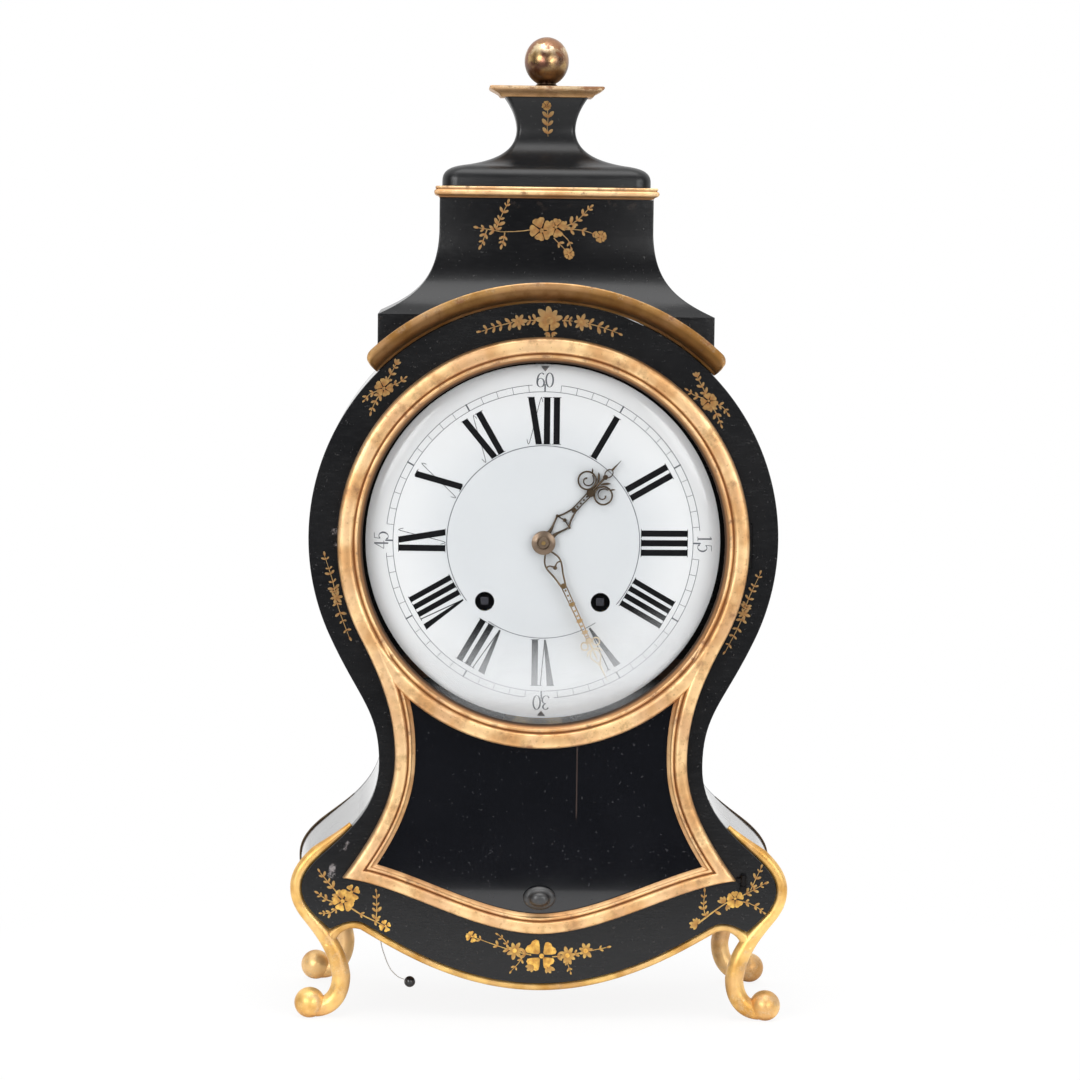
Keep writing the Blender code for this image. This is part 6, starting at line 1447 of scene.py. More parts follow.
DIGITS = {
    "0": [(oval(2.0, 4.0), "stem")],
    "6": [
        ([(1.75, 3.1), (0.9, 3.95), (-0.4, 3.5), (-1.5, 1.9), (-1.95, -0.4), (-1.9, -2.0)], "stem"),
        (oval(1.95, 2.45, -1.55), "stem"),
    ],
    "1": [([(0, 4), (0, -4)], "thick"), ([(-1.4, 2.9), (0, 4)], "thin"), ([(-1.3, -4), (1.3, -4)], "thin")],
    "5": [
        ([(1.8, 3.95), (-1.15, 3.9)], "stem"),
        ([(-1.15, 3.9), (-1.5, 0.6)], "thin"),
        (
            [(-1.5, 0.6), (-0.3, 1.35), (1.1, 0.9), (1.95, -0.8)]
            + [(1.5, -2.8), (0.2, -3.95), (-1.2, -3.8), (-1.8, -2.9)],
            "stem",
        ),
    ],
    "3": [
        ([(-1.6, 2.9), (-0.6, 3.9), (0.8, 3.75), (1.5, 2.5), (0.9, 1.1), (-0.3, 0.55)], "stem"),
        (
            [(-0.3, 0.55), (1.2, 0.2), (1.95, -1.4), (1.3, -3.2), (0, -4.0), (-1.3, -3.7), (-1.9, -2.7)],
            "stem",
        ),
    ],
    "4": [
        ([(0.9, 4), (-2.2, -1.5)], "thin"),
        ([(-2.2, -1.5), (2.3, -1.5)], "thin"),
        ([(0.9, 4), (0.9, -4)], "thick"),
    ],
}


def arabic(shape, word, hour):
    """Thin numbers for the quarters of the minute track, whose stems swell where they stand upright."""
    placed = radial(math.radians(30 * hour))
    for i, digit in enumerate(word):
        aside = (i - (len(word) - 1) / 2) * 5.1
        for points, kind in DIGITS[digit]:
            path = smooth(points, 3)
            widths = []
            for j in range(len(path)):
                before, after = path[max(j - 1, 0)], path[min(j + 1, len(path) - 1)]
                run = math.dist(before, after) or 1
                upright = abs(after[1] - before[1]) / run
                widths.append({"thick": 0.85, "thin": 0.32}.get(kind, 0.3 + 0.62 * upright**2))
            shape.stroke([placed(aside + x, MINUTE_NUMBERS + z) for x, z in path], widths, on_dial)


def node_group(name, sockets):
    """A geometry node tree with named inputs, its group nodes and the identifier of each input."""
    tree = bpy.data.node_groups.new(name, "GeometryNodeTree")
    named = {}
    tree.interface.new_socket(name="Geometry", in_out="INPUT", socket_type="NodeSocketGeometry")
    for label, kind in sockets:
        named[label] = tree.interface.new_socket(name=label, in_out="INPUT", socket_type=kind).identifier
    tree.interface.new_socket(name="Geometry", in_out="OUTPUT", socket_type="NodeSocketGeometry")
    wiring = Wiring(tree)
    start = tree.nodes.new("NodeGroupInput")
    inputs = {socket.name: Tone(wiring, socket) for socket in start.outputs if socket.name}
    return tree, wiring, inputs, named


def finish_group(wiring, geometry, material):
    """Ends a tree: its copies are made real and take their finish."""
    whole = wiring.node("GeometryNodeRealizeInstances", {"Geometry": geometry})
    whole = wiring.node("GeometryNodeSetMaterial", {"Geometry": whole, "Material": material})
    wiring.node("NodeGroupOutput", {"Geometry": whole})


def grown(tree, named, values, mesh):
    """The plain mesh that a tree grows on a mesh."""
    holder = linked("growing", mesh)
    change = holder.modifiers.new("grow", "NODES")
    change.node_group = tree
    for label, value in values.items():
        change[named[label]] = value
    bpy.context.view_layer.update()
    graph = bpy.context.evaluated_depsgraph_get()
    made = bpy.data.meshes.new_from_object(holder.evaluated_get(graph))
    holder.modifiers.remove(change)
    bpy.data.objects.remove(holder)
    return made


def minute_marks():
    """A tree that sets short bars round a circle, drawn flat."""
    sockets = [("Count", "NodeSocketInt"), ("Radius", "NodeSocketFloat"), ("Length", "NodeSocketFloat")]
    sockets += [("Width", "NodeSocketFloat"), ("Finish", "NodeSocketMaterial")]
    tree, wiring, given, named = node_group("minute_marks", sockets)
    spots = wiring.node("GeometryNodeMeshCircle", {"Vertices": given["Count"], "Radius": given["Radius"]})
    size = wiring.node("ShaderNodeCombineXYZ", {"X": given["Length"], "Y": given["Width"], "Z": 1.0})
    bar = wiring.node("GeometryNodeMeshCube", {"Size": size, "Vertices X": 3})
    place = wiring.node("GeometryNodeInputPosition")
    sockets = {0: wiring.part(place, "Y"), 1: wiring.part(place, "X")}
    facing = wiring.turned("Z", wiring.node("ShaderNodeMath", sockets, {"operation": "ARCTAN2"}))
    bars = wiring.node("GeometryNodeInstanceOnPoints", {"Points": spots, "Instance": bar, "Rotation": facing})
    finish_group(wiring, bars, given["Finish"])
    return tree, named


def laid(mesh, lay):
    """Moves flat artwork onto a surface: its own height is a share from the underside to the top."""
    for vert in mesh.vertices:
        x, z, layer = vert.co.x, vert.co.y, vert.co.z
        vert.co = at(x, lay(x, z) + PAINT_SINK - (PAINT_SINK + PAINT_LIFT) * layer, z)


def shape_of(mesh):
    shape = Shape()
    kinds = mesh.attributes.get("kind")
    roots = mesh.attributes.get("root")
    dull = [1.0 if kind.value == LEAF else 0.0 for kind in kinds.data] if kinds else 0.0
    dark = [root.value for root in roots.data] if roots else 0.0
    shape.ring([vert.co.copy() for vert in mesh.vertices], dark, dull)
    shape.faces = [tuple(face.vertices) for face in mesh.polygons]
    return shape


def build_dial_marks():
    numerals = Shape()
    words = ("XII", "I", "II", "III", "IIII", "V", "VI", "VII", "VIII", "IX", "X", "XI")
    for hour, word in enumerate(words):
        roman(numerals, word, hour)
    solid("hour_numerals", numerals, DIAL_BLACK, "case")

    track = Shape()
    tree, named = minute_marks()
    empty = bpy.data.meshes.new("track_start")
    for count, radius, length, width in ((60, 87.6, 3.9, 0.26), (12, 87.7, 4.5, 0.85)):
        values = {"Count": count, "Radius": radius, "Length": length, "Width": width, "Finish": DIAL_GREY}
        bars = grown(tree, named, values, empty)
        for vert in bars.vertices:
            vert.co.z += 0.5
            vert.co.y += DIAL_Z
        laid(bars, on_dial)
        track.joined(shape_of(bars))
    ring = circle((0, DIAL_Z), 85.6, 240)
    track.stroke(ring, [0.32] * len(ring), on_dial, closed=True)
    for quarter in range(4):
        start = math.pi / 2 * quarter + math.radians(4.6)
        span = arc((0, DIAL_Z), 89.6, start, start + math.radians(80.8), 54)
        track.stroke(span, [0.32] * len(span), on_dial)
    for start, end in ((-42, 222), (-126, -54)):
        span = arc((0, DIAL_Z), 55.0, math.radians(start + 2), math.radians(end - 2), 140)
        track.stroke(span, [0.42] * len(span), on_dial)
    for hour, word in ((0, "60"), (3, "15"), (6, "30"), (9, "45")):
        arabic(track, word, hour)
    solid("minute_track", track, DIAL_GREY, "case")

    tabs = Shape()
    for turn in (0, math.pi):
        placed = radial(turn)
        tabs.stroke([placed(0, 97.2), placed(0, 99.0), placed(0, 100.2)], [0.3, 3.2, 4.6], on_dial, 0.3)
    solid("dial_tabs", tabs, STEEL, "case")


build_dial()
build_dial_marks()


# Hands


class Hand:
    """A pierced hand, drawn pointing up from the dial's centre and turned to the time it shows."""

    def __init__(self, angle, front, back, fine):
        self.shape = Shape()
        self.placed = radial(angle)
        self.fine = fine
        self.front = front
        self.back = back

    def bar(self, points, width, steps=6, lift=0.0, both=False, closed=False):
        """A soft bar through the points, on one side or both, with the widths given along it, made finer."""
        for side in (1, -1) if both else (1,):
            line = smooth([(out, side * aside) for out, aside in points], steps)
            if closed:
                line = line[:-1]
            last = len(line) - 1
            spread = width if isinstance(width, (list, tuple)) else [width, width]
            widths = []
            for i in range(last + 1):
                place = i / last * (len(spread) - 1)
                k = min(int(place), len(spread) - 2)
                widths.append(self.fine * (spread[k] + (spread[k + 1] - spread[k]) * (place - k)))
            path = [self.placed(aside, out) for out, aside in line]
            self.shape.wire(path, widths, self.front - lift, self.back, closed)

    def ring(self, out, aside, long, wide, width, lift=0.0):
        """An open ring, round or long, on both sides if it stands aside."""
        turns = [t * math.pi / 6 for t in range(13)]
        loop = [(out + long * math.cos(turn), aside + wide * math.sin(turn)) for turn in turns]
        self.bar(loop, width, 4, lift, aside != 0, True)

    def stud(self, out, aside, radius, lift):
        """A small dome."""
        top = self.front - lift
        under = self.back - 0.1
        profile = [(0, under, 0), (radius, under, 0), (radius, self.front + 0.3, 0)]
        profile += [(0.85 * radius, top + 0.25 * lift, 0.5), (0.5 * radius, top + 0.05 * lift, 1)]
        self.shape.lathe(profile + [(0, top, 1)], 20, face_on(*self.placed(aside, out)))

    def disc(self, radius, bore, lift):
        """The boss at the centre, with a turned step."""
        front, back, top = self.front, self.back, self.front - lift
        profile = [(bore, back, 0), (radius, back, 0), (radius, front + 0.2, 0.6)]
        profile += [(0.94 * radius, front, 0.6), (0.74 * radius, front, 0), (0.7 * radius, top, 0.6)]
        profile += [(bore + 0.4, top, 0), (bore, top + 0.3, 0), (bore, back, 0)]
        self.shape.lathe(profile, 48, face_on(0, DIAL_Z))


def build_hour_hand():
    hand = Hand(HOUR_ANGLE, 5.6, 6.8, 0.8)
    hand.disc(6.6, 3.3, 0.5)
    hand.bar([(5.6, 1.7), (8, 1.8), (11, 2.8), (14, 3.9), (16.4, 4.6)], [3.2, 2.3, 1.5, 1.4, 1.5], both=True)
    hand.bar([(16.4, 4.6), (18.6, 3.3), (21.5, 2.2), (25.4, 1.2)], [1.5, 1.3, 1.3, 1.2], both=True)
    hand.bar([(17.6, 0), (17.0, 2.3), (16.4, 4.6)], [1.2, 0.9, 1.2], both=True)
    for aside in (-4.7, 4.7):
        hand.stud(16.4, aside, 0.95, 0.2)
    hand.stud(17.6, 0, 1.1, 0.2)
    hand.bar([(25, 1.3), (32, 1.2), (38.4, 1.4)], 0.9, both=True)
    for i in range(4):
        hand.stud(28.2 + 2.6 * i, 0, 0.62, 0.2)
    hand.stud(25.3, 0, 1.5, 0.2)
    hand.stud(38.9, 0, 2.4, 0.3)
    hand.bar([(39, 0), (44, 0), (49, 0), (52, 0)], [2.2, 1.5, 1.5, 2.2])
    hand.ring(42.8, 6.3, 5.1, 5.1, 1.25)
    curl = []
    for k in range(11):
        reach = 4.2 - 0.3 * k
        curl.append((42.8 + reach * math.cos(0.55 * k), 6.3 - reach * math.sin(0.55 * k)))
    hand.bar(curl, [1.0, 0.8, 0.9, 1.3], 4, 0.1, True)
    hand.bar([(46.2, 1.0), (48, 2.2), (49.6, 3.6), (50.6, 4.7)], [0.9, 1.7, 1.5, 0.3], both=True)
    hand.bar([(47.6, 6.9), (48.9, 7.9), (49.9, 8.9)], [0.6, 1.3, 0.3], both=True)
    hand.ring(54.1, 0, 2.7, 2.0, 0.85)
    hand.stud(51.2, 0, 1.5, 0.2)
    hand.bar([(56.4, 0), (58.2, 0), (60.5, 0), (64.3, 0)], [1.9, 1.5, 0.9, 0.3])
    solid("hour_hand_pierced", hand.shape, HOUR_BRONZE, "hour_train", ["hour_hand"])


def build_minute_hand():
    hand = Hand(MINUTE_ANGLE, 2.5, 3.7, 0.86)
    hand.disc(6.8, 2.4, 0.2)
    hand.bar([(6, 1.5), (8.2, 3.0), (11, 4.3), (14, 4.5), (17, 3.8), (21, 2.6), (27.2, 1.3)], 1.2, both=True)
    hand.bar([(15.6, 0.2), (14.2, 1.3), (13.4, 2.8), (13.6, 4.3)], [1.5, 1.0, 0.9, 1.1], both=True)
    hand.stud(15.7, 0, 1.2, 0.2)
    hand.stud(27.2, 0, 1.6, 0.2)
    hand.bar([(27, 1.35), (44, 1.15), (61, 0.95)], 0.75, both=True)
    for i in range(10):
        hand.stud(30 + 3.2 * i, 0, 0.62, 0.15)
    for out in (38.6, 49.1, 56.3):
        hand.bar([(out, -2.0), (out, 0), (out, 2.0)], [0.7, 1.1, 0.7])
        hand.stud(out, 0, 1.25, 0.25)
    hand.stud(61.6, 0, 1.9, 0.25)
    hand.ring(63.6, 3.6, 2.2, 2.0, 0.9)
    hand.bar([(61.8, 0), (64.5, 0), (67.4, 0)], [1.6, 1.5, 2.0])
    hand.bar([(67, 0.6), (69, 2.4), (71.3, 2.9), (73.8, 1.8), (76, 0.4)], 0.95, both=True)
    hand.bar([(67.2, 0), (70, 0), (73.6, 0)], [0.5, 1.2, 0.4])
    hand.bar([(66.8, 1.6), (68.2, 3.6), (70, 4.6)], [0.8, 1.2, 0.3], both=True)
    hand.stud(76.2, 0, 1.15, 0.15)
    hand.bar([(76, 0), (79, 0), (82.5, 0), (87, 0)], [1.5, 1.5, 0.9, 0.3])
    solid("minute_hand_pierced", hand.shape, MINUTE_BRONZE, "minute_train", ["minute_hand"])


build_hour_hand()
build_minute_hand()


# Back hinge

HINGE_X = 75.8
HINGE_DEPTH = 129.3


def hinge_knuckle(shape, low, high, bore, radius=2.2):
    """One eased barrel of the hinge round its pin, or the pin itself."""
    eased = radius - 0.3
    profile = [(bore, low, 0), (eased, low, 0), (radius, low + 0.3, 1), (radius, high - 0.3, 1)]
    profile += [(eased, high, 0), (bore, high, 0)]
    shape.lathe(profile + profile[:1] if bore else profile, 28, upright_on(HINGE_X, HINGE_DEPTH))


def screw_head():
    """A slotted screw's head round the origin, which looks back."""
    profile = [(0, -0.3, 0), (1.9, -0.3, 0), (1.9, 0.12, 1), (1.5, 0.42, 1), (0.8, 0.55, 0), (0, 0.6, 0)]
    head = Shape()
    head.lathe([(radius, d - FACE, worn) for radius, d, worn in profile], 24, face_on(0, 0))
    slot = box_shape((-2.2, 0.2 - FACE, -0.24), (2.2, 1 - FACE, 0.24))
    return linked("screw", carved(head, slot))


def screw_tree():
    """A tree that sets a screw on each point, its slot turned as the point says."""
    sockets = [("Screw", "NodeSocketObject"), ("Finish", "NodeSocketMaterial")]
    tree, wiring, given, named = node_group("hinge_screws", sockets)
    facing = wiring.turned("Y", wiring.told("turn", "FLOAT"))
    form = wiring.node("GeometryNodeObjectInfo", {"Object": given["Screw"]}, output="Geometry")
    sockets = {"Points": given["Geometry"], "Instance": form, "Rotation": facing}
    finish_group(wiring, wiring.node("GeometryNodeInstanceOnPoints", sockets), given["Finish"])
    return tree, named


def hinge_screws(places):
    """Slotted screws at these places, each turned a little further than the last."""
    helper = screw_head()
    spots = bpy.data.meshes.new("screw_spots")
    spots.from_pydata([at(*place) for place in places], [], [])
    layer = spots.attributes.new("turn", "FLOAT", "POINT")
    layer.data.foreach_set("value", [0.4 + 0.9 * i for i in range(len(places))])
    tree, named = screw_tree()
    made = shape_of(grown(tree, named, {"Screw": helper, "Finish": BRASS}, spots))
    bpy.data.objects.remove(helper)
    return made


def build_back_hinge():
    fixed = Shape()
    fixed.plate([panel_edge(75.2, 87.8, 225.6, 284.4, 1.4)], REAR_BACK + SEAT, 127.1, 0.2)
    for low, high in ((225, 244.7), (265.3, 285)):
        hinge_knuckle(fixed, low, high, 0)
        fixed.joined(box_shape((75.3, 126.8, low + 0.4), (77, HINGE_DEPTH, high - 0.4)))
    hinge_knuckle(fixed, 244, 266, 0, 0.9)
    fixed.joined(hinge_screws([(82.9, 127.1, z) for z in (231.6, 255, 278.4)]))
    solid("back_hinge_fixed_leaf", fixed, BRASS, "case", ["back_hinge_fixed"])

    moving = Shape()
    moving.plate([panel_edge(58, HINGE_X, 245.3, 264.7, 1.4)], 132.6, 133.6, 0.2)
    hinge_knuckle(moving, 245, 265, 1.2)
    moving.joined(box_shape((74.8, 130.6, 245.7), (76.6, 133.3, 264.3)))
    moving.joined(hinge_screws([(63.4, 133.6, z) for z in (250, 260)]))
    solid("back_hinge_moving_leaf", moving, BRASS, "rear_door", ["back_hinge_moving"])


build_back_hinge()


# Gilt sprays painted on the lacquer

LEAF, PETAL, DOT = 0, 1, 2


class Spray:
    """Stems, leaves and flowers of one surface, drawn flat in millimetres."""

    def __init__(self, lay):
        self.lay = lay
        self.stems = Shape()
        self.marks = []
        self.move((0, 0))

    def move(self, centre, turn=0.0, mirror=1, size=1.0):
        """Sets where the next stems and flowers go."""
        self.centre = centre
        self.turn = math.radians(turn)
        self.mirror = mirror
        self.size = size

    def placed(self, x, z):
        x, z = x * self.mirror * self.size, z * self.size
        c, s = math.cos(self.turn), math.sin(self.turn)
        return (self.centre[0] + c * x - s * z, self.centre[1] + s * x + c * z)

    def mark(self, kind, x, z, heading, size):
        """A leaf, petal or dot, turned and sized a little differently from the one before."""
        count = len(self.marks)
        px, pz = self.placed(x, z)
        qx, qz = self.placed(x + math.cos(heading), z + math.sin(heading))
        heading = math.atan2(qz - pz, qx - px) + 0.17 * math.sin(12.9 * count + 0.7)
        size = size * self.size * (1 + 0.13 * math.sin(7.7 * count))
        self.marks.append((kind, px, pz, heading, size))

    def stem(self, points, width=0.7):
        path = smooth(points, 5)
        last = len(path) - 1
        widths = [self.size * width * (1 - 0.5 * i / last) for i in range(last + 1)]
        self.stems.stroke([self.placed(x, z) for x, z in path], widths, self.lay)
        return path

    def sprig(self, points, pairs, leaf, width=0.7, open_by=0.75, end=True):
        """A stem with leaves in pairs that grow smaller to its tip."""
        path = self.stem(points, width)
        last = len(path) - 1
        for i in range(pairs):
            place = (i + 0.8) / (pairs + 0.3)
            k = min(int(place * last), last - 1)
            heading = math.atan2(path[k + 1][1] - path[k][1], path[k + 1][0] - path[k][0])
            size = leaf * (1.1 - 0.45 * place)
            for side in (-1, 1):
                self.mark(LEAF, *path[k], heading + side * open_by, size * (0.86 if (i + side) % 2 else 1.0))
        if end:
            heading = math.atan2(path[-1][1] - path[-2][1], path[-1][0] - path[-2][0])
            self.mark(LEAF, *path[-1], heading, leaf * 0.75)

    def bloom(self, x, z, radius, petals=5, turn=0.3):
        """An open flower."""
        for i in range(petals):
            self.mark(PETAL, x, z, turn + 2 * math.pi * i / petals, radius)
        self.mark(DOT, x, z, 0, radius * 0.17)

    def fan(self, x, z, radius):
        """A flower seen aslant: narrow petals above, two broad ones below."""
        for i in range(5):
            self.mark(LEAF, x, z, math.radians(8 + 41 * i), radius)
        for turn in (-0.93, -2.2):
            self.mark(PETAL, x, z + 0.1 * radius, turn, 0.9 * radius)
        self.mark(DOT, x, z, 0, radius * 0.24)

    def star(self, x, z, radius, points=7, turn=0.2):
        """A daisy with narrow petals."""
        for i in range(points):
            self.mark(LEAF, x, z, turn + 2 * math.pi * i / points, radius)
        self.mark(DOT, x, z, 0, radius * 0.3)

    def bud(self, x, z, heading, size):
        for side in (-0.55, 0, 0.55):
            self.mark(LEAF, x, z, heading + side, size)


def flat_outline(name, line):
    """A small flat solid with its own height from 0 to 1, for copies to be made of."""
    mesh = bpy.data.meshes.new(name)
    count = len(line)
    points = [(x, y, 0) for x, y in line] + [(x, y, 1) for x, y in line]
    faces = [tuple(reversed(range(count))), tuple(range(count, 2 * count))]
    faces += [(i, (i + 1) % count, count + (i + 1) % count, count + i) for i in range(count)]
    mesh.from_pydata(points, [], faces)
    root = mesh.attributes.new("root", "FLOAT", "POINT")
    root.data.foreach_set("value", [max(0.0, 1 - 0.95 * math.hypot(x, y)) for x, y, z in points])
    return linked(name, mesh)


def spray_tree():
    """A tree that sets a leaf, a petal or a dot on each point, turned and sized as the point says."""
    sockets = [("Leaf", "NodeSocketObject"), ("Petal", "NodeSocketObject"), ("Dot", "NodeSocketObject")]
    tree, wiring, given, named = node_group("gilt_spray", sockets + [("Finish", "NodeSocketMaterial")])
    kind = wiring.told("kind", "INT")
    size = wiring.told("size", "FLOAT")
    facing = wiring.turned("Z", wiring.told("turn", "FLOAT"))
    scale = wiring.node("ShaderNodeCombineXYZ", {"X": size, "Y": size, "Z": 1.0})
    whole = tree.nodes.new("GeometryNodeJoinGeometry")
    for label, number in (("Leaf", LEAF), ("Petal", PETAL), ("Dot", DOT)):
        settings = {"data_type": "INT", "operation": "EQUAL"}
        chosen = wiring.node("FunctionNodeCompare", {2: kind, 3: number}, settings)
        form = wiring.node("GeometryNodeObjectInfo", {"Object": given[label]}, output="Geometry")
        sockets = {"Points": given["Geometry"], "Selection": chosen, "Instance": form}
        sockets.update({"Rotation": facing, "Scale": scale})
        copies = wiring.node("GeometryNodeInstanceOnPoints", sockets)
        tree.links.new(copies.socket, whole.inputs[0])
    finish_group(wiring, Tone(wiring, whole.outputs[0]), given["Finish"])
    return tree, named


def leaf_line():
    over = [(0.02, 0.0), (0.14, 0.1), (0.4, 0.2), (0.68, 0.21), (0.9, 0.13), (1.0, 0.0)]
    return over[::-1] + [(x, -y) for x, y in over[1:-1]]


def petal_line():
    """A heart-shaped petal that leaves a gap to the flower's middle and to the next petal."""
    over = [(0.2, 0.06), (0.36, 0.2), (0.56, 0.37), (0.76, 0.49), (0.92, 0.42), (1.0, 0.2), (0.93, 0.0)]
    return over[::-1] + [(x, -y) for x, y in over[:-1]]


def paint_sprays(name, sprays):
    helpers = {
        "Leaf": flat_outline("leaf", leaf_line()),
        "Petal": flat_outline("petal", petal_line()),
        "Dot": flat_outline("dot", circle((0, 0), 1, 10)),
    }
    tree, named = spray_tree()
    whole = Shape()
    for spray in sprays:
        spots = bpy.data.meshes.new("spray_spots")
        points = []
        for i, (kind, x, z, _, _) in enumerate(spray.marks):
            points.append((x, z, (0.6 if kind == DOT else 0) + 0.5 * (0.618 * i % 1)))
        spots.from_pydata(points, [], [])
        columns = (("kind", "INT", 0), ("turn", "FLOAT", 3), ("size", "FLOAT", 4))
        for label, kind, column in columns:
            layer = spots.attributes.new(label, kind, "POINT")
            layer.data.foreach_set("value", [mark[column] for mark in spray.marks])
        flowers = grown(tree, named, {**helpers, "Finish": SPRAY_GOLD}, spots)
        laid(flowers, spray.lay)
        whole.joined(shape_of(flowers))
        spray.stems.wear_and_highlight = [1.0] * len(spray.stems.points)
        whole.joined(spray.stems)
    for helper in helpers.values():
        bpy.data.objects.remove(helper)
    solid(name, whole, SPRAY_GOLD, "case")


def garland(spray):
    """Flowers in a row with a large one in the middle, hung from two lifted ends."""
    spray.bloom(0, 0, 8.8, 4, 0.62)
    spray.sprig([(-6, 0.5), (-15, 2.5), (-25, 5.6), (-40, 11.0)], 5, 4.4)
    spray.sprig([(6, -0.5), (15, 0.6), (25, 2.6), (37, 5.2)], 5, 4.4)
    spray.star(-15.5, 3.0, 4.9)
    spray.star(14.8, 0.4, 4.9, 8)
    spray.star(25.2, 3.2, 4.4, 7)
    spray.bloom(-40, 11.0, 3.2, 4)
    spray.sprig([(-10, 1), (-13, -4), (-17, -8.5)], 2, 3.4, 0.5)
    spray.sprig([(14, -0.5), (15.2, -5), (16.5, -8.6)], 2, 3.2, 0.5)
    spray.bud(-4.5, -5.5, -2.3, 4.4)
    spray.bud(3.0, -6.0, -0.9, 4.6)
    spray.sprig([(-19, 4), (-21, 8.5), (-24.5, 11.8)], 2, 3.0, 0.5)


def arched(spray):
    """A row of small flowers that follows the curve of the head."""
    spray.fan(0, 0, 8.2)
    for side in (-1, 1):
        spray.sprig([(7 * side, 0.2), (13 * side, 0)], 2, 4.6, 0.7, 1.0, False)
        spray.star(17.6 * side, -0.6, 4.6, 7)
        spray.sprig([(21 * side, -1.2), (29 * side, -3.2), (38.5 * side, -6.4)], 4, 4.6, 0.7, 1.0)
    spray.bud(-0.6, -6.4, -2.0, 3.0)
    spray.bud(1.4, -6.4, -1.0, 3.0)


def hip_spray(spray):
    """A flower on the left-hand hip with a long stem to the apron and short leaves."""
    spray.bloom(0, 0, 5.6, 5, 0.6)
    spray.bloom(4.6, 4.8, 4.2, 4, 0.2)
    spray.sprig([(2, -2), (9, -6.5), (15, -9.5), (21, -12.4)], 2, 3.2, 0.9)
    spray.bloom(22, -12.6, 3.0, 4, 0.5)
    spray.sprig([(17, -10.2), (17.4, -4), (17.2, 4.2)], 4, 3.6, 0.6)
    spray.sprig([(-1, 2), (-6, 8), (-11.5, 14.5)], 4, 3.9, 0.7)
    spray.sprig([(-2, -1), (-8, 0.6), (-12, 3.6)], 3, 3.4, 0.6)
    spray.sprig([(-2, -3), (-6, -6), (-10, -6.4)], 3, 3.2, 0.6)


def climbing_spray(spray):
    """A stem that climbs the right-hand hip to a flower, with short leaves round it."""
    spray.stem([(91, 56.6), (97.4, 61.6), (103.6, 66.3), (110, 70.6)], 1.1)
    spray.bud(90.8, 56.6, -2.5, 4.4)
    spray.bud(90.8, 56.6, 1.9, 3.4)
    spray.sprig([(95.8, 60.4), (94.2, 66), (94.7, 74.4)], 4, 3.6, 0.6)
    spray.bloom(112.2, 71.2, 4.9, 5, 0.4)
    spray.bud(106.6, 68.8, 2.5, 4.2)
    spray.bud(107.4, 67.6, -0.9, 3.6)
    spray.mark(LEAF, 100.6, 63.8, -0.5, 3.6)
    spray.sprig([(115.4, 69.6), (120.2, 68.6), (125, 66.2), (128, 63.8)], 3, 3.7, 0.6)
    spray.sprig([(116.4, 73), (122.4, 76.2), (128.4, 79.8)], 3, 4.0, 0.6)
    spray.sprig([(120.9, 76), (123.8, 82.6), (126.6, 88.6)], 3, 3.8, 0.6)


def diagonal_spray(spray):
    """A short spray round the curve of the head."""
    spray.bloom(0, 0, 5.0, 5, 0.5)
    spray.sprig([(2, 1), (8, 3), (14, 5)], 3, 4.0, 0.7)
    spray.sprig([(-2, -1), (-8, -2), (-14, -4.5)], 3, 4.0, 0.7)
    spray.sprig([(3, -1), (8, -3.5), (12, -4)], 2, 3.6, 0.6)
    spray.sprig([(-3, 1), (-8, 3), (-12, 2.6)], 2, 3.6, 0.6)
    spray.bud(14, 5, 0.4, 3.4)


def trailing_spray(spray):
    """A slim spray down the side of the case."""
    spray.star(0, 0, 3.7, 6)
    spray.sprig([(0, 2), (-0.8, 11), (-3.2, 24)], 6, 3.7, 0.6, 1.1)
    spray.sprig([(0, -2), (1.6, -11), (4.4, -23)], 4, 3.7, 0.6, 1.1)


def hood_spray(spray):
    """A long spray across the hood."""
    spray.bloom(-3.0, 0.2, 6.6, 5, 0.5)
    spray.bloom(5.2, 2.2, 5.2, 5, 0.1)
    spray.stem([(-6, 1.0), (-16, -0.4), (-27, -0.9)], 0.7)
    spray.sprig([(-29, -0.6), (-27, 6), (-22.6, 15.0)], 5, 4.4, 0.7)
    spray.sprig([(-26, -0.8), (-33, 0.4), (-38.5, 1.2)], 2, 4.4, 0.7)
    spray.sprig([(-34, 0.6), (-35.6, -4), (-37.0, -8.0)], 2, 4.2, 0.7)
    spray.sprig([(-24, -1.2), (-24.4, -4.6), (-25.4, -7.6)], 2, 4.2, 0.7)
    spray.sprig([(9, 2), (17, 6), (24.2, 13.4)], 5, 4.4, 0.7)
    spray.sprig([(10, 1), (20, 0.6), (29, -2.2)], 3, 4.2, 0.6)
    spray.bloom(31.0, -2.6, 3.4, 5)
    spray.sprig([(4, -4), (8.6, -8.6), (12.0, -12.0)], 2, 3.8, 0.6)
    spray.bloom(12.6, -13.2, 3.0, 5)
    spray.sprig([(9, -2), (12.4, -5.4), (13.6, -8.6)], 1, 3.8, 0.6)


def neck_spray(spray):
    """A small upright sprig on the neck of the hood."""
    spray.bloom(-0.3, 6.8, 2.7, 5)
    spray.stem([(0, 6), (0.6, 0), (0.3, -5), (0.8, -10.5)], 0.5)
    for side in (-1, 1):
        for height in (0.2, -4.4, -9.0):
            spray.mark(LEAF, 0.5, height, math.pi / 2 + 0.8 * side, 4.6)


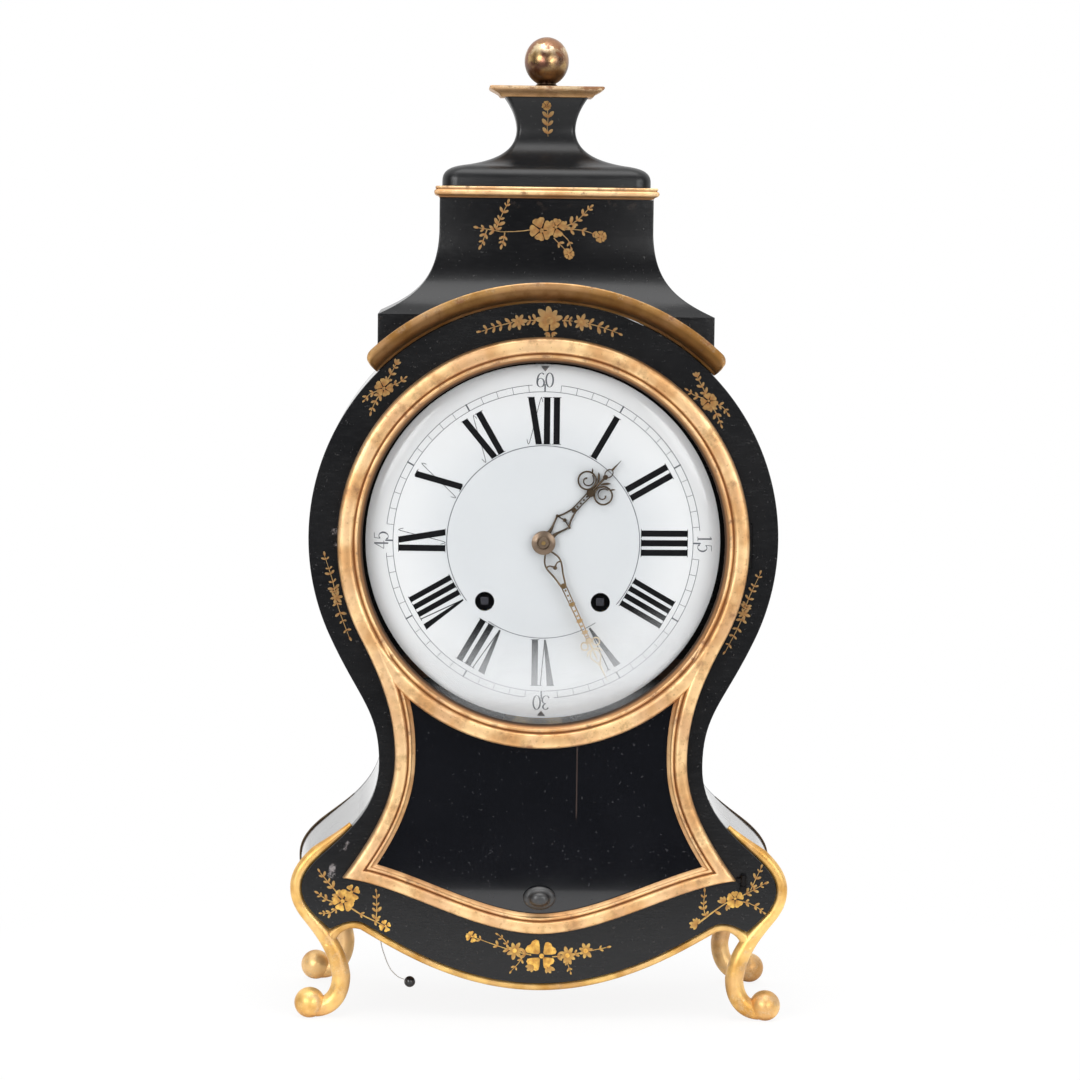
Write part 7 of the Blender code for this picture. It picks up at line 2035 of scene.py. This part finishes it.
def build_sprays():
    flare = flare_profile()
    cap = cap_profile()
    board = Spray(lambda x, z: 0.0)
    hood = Spray(lambda x, z: hood_depth(flare, z))
    neck = Spray(lambda x, z: hood_depth(cap, z))
    for spray, pattern, *place in (
        (board, garland, (1.8, 37.2)),
        (board, arched, (1.9, 400.2)),
        (board, diagonal_spray, (-91.5, 361), 44),
        (board, diagonal_spray, (92.5, 356), -44, -1),
        (board, trailing_spray, (-117.5, 242), 8),
        (board, trailing_spray, (114.3, 235), -14, -1),
        (board, hip_spray, (-112.2, 68), 0, 1, 1.12),
        (board, climbing_spray, (0, 0)),
        (hood, hood_spray, (0.2, 450.8)),
        (neck, neck_spray, (0.2, 515.5)),
    ):
        spray.move(*place)
        pattern(spray)
    paint_sprays("gilt_sprays_case", [board])
    paint_sprays("gilt_sprays_hood", [hood, neck])


build_sprays()


# Floor, world and lamps


def build_floor():
    """A white table that ends in front of the clock and keeps its shadow."""
    mesh = bpy.data.meshes.new("floor")
    mesh.from_pydata([(-4, -0.5135, 0), (4, -0.5135, 0), (4, 5, 0), (-4, 5, 0)], [], [(0, 1, 2, 3)])
    paint = Paint("floor_white")
    seen = paint.node("ShaderNodeLightPath", output="Is Camera Ray")
    share = 0.87 + 0.13 * paint.ease(paint.away((0, 0, 0)), 0.2, 0.42)
    tint = paint.blend(paint.noise(6, 2), (0.93,) * 3, (0.96,) * 3)
    matt = paint.node("ShaderNodeBsdfPrincipled", {"Base Color": tint, "Roughness": 0.7})
    white = paint.node("ShaderNodeEmission", {"Color": (1, 1, 1, 1), "Strength": 1.0})
    both = paint.node("ShaderNodeMixShader", {0: seen * share, 1: matt, 2: white})
    mesh.materials.append(paint.done(both))
    linked("floor", mesh)


def build_world():
    """White behind the clock, and a dim room in front of it."""
    world = bpy.data.worlds.new("studio")
    world.use_nodes = True
    bpy.context.scene.world = world
    wiring = Wiring(world.node_tree)
    world.node_tree.nodes.clear()
    way = wiring.node("ShaderNodeTexCoord", output="Generated")
    over = wiring.part(way, "Z")
    behind = wiring.ease(wiring.part(way, "Y"), -0.35, 0.25)
    above = wiring.ease(over, 0.15, 0.55)
    high = wiring.ease(over, 0.52, 0.88)
    below = wiring.ease(over, -0.185, -0.225)
    room = 0.05 + 0.12 * above + 1.4 * high + 0.7 * below
    seen = wiring.node("ShaderNodeLightPath", output="Is Camera Ray")
    strength = (behind * 0.94 + (1 - behind) * room).most(seen)
    glow = wiring.node("ShaderNodeBackground", {"Color": (1, 1, 1, 1), "Strength": strength})
    wiring.node("ShaderNodeOutputWorld", {"Surface": glow})


def build_lamp(name, place, aim, size, power):
    lamp = bpy.data.lights.new(name, "AREA")
    lamp.shape = "DISK"
    lamp.size = size
    lamp.energy = power
    holder = linked(name, lamp)
    holder.location = place
    holder.rotation_euler = (Vector(aim) - Vector(place)).to_track_quat("-Z", "Y").to_euler()


build_floor()
build_world()
build_lamp("left_softbox", (-1.5, -1.9, 1.0), (0, 0, 0.28), 1.1, 14)
build_lamp("right_softbox", (1.7, -1.7, 0.9), (0, 0, 0.28), 1.1, 10)
build_lamp("front_left_softbox", (-1.05, -2.55, 0.8), (0, 0, 0.28), 0.9, 17)
build_lamp("front_right_softbox", (1.1, -2.5, 0.75), (0, 0, 0.28), 0.9, 14)
build_lamp("top_softbox", (0, -0.5, 2.2), (0, 0, 0.3), 1.6, 14)
bpy.context.scene.view_settings.view_transform = "Standard"
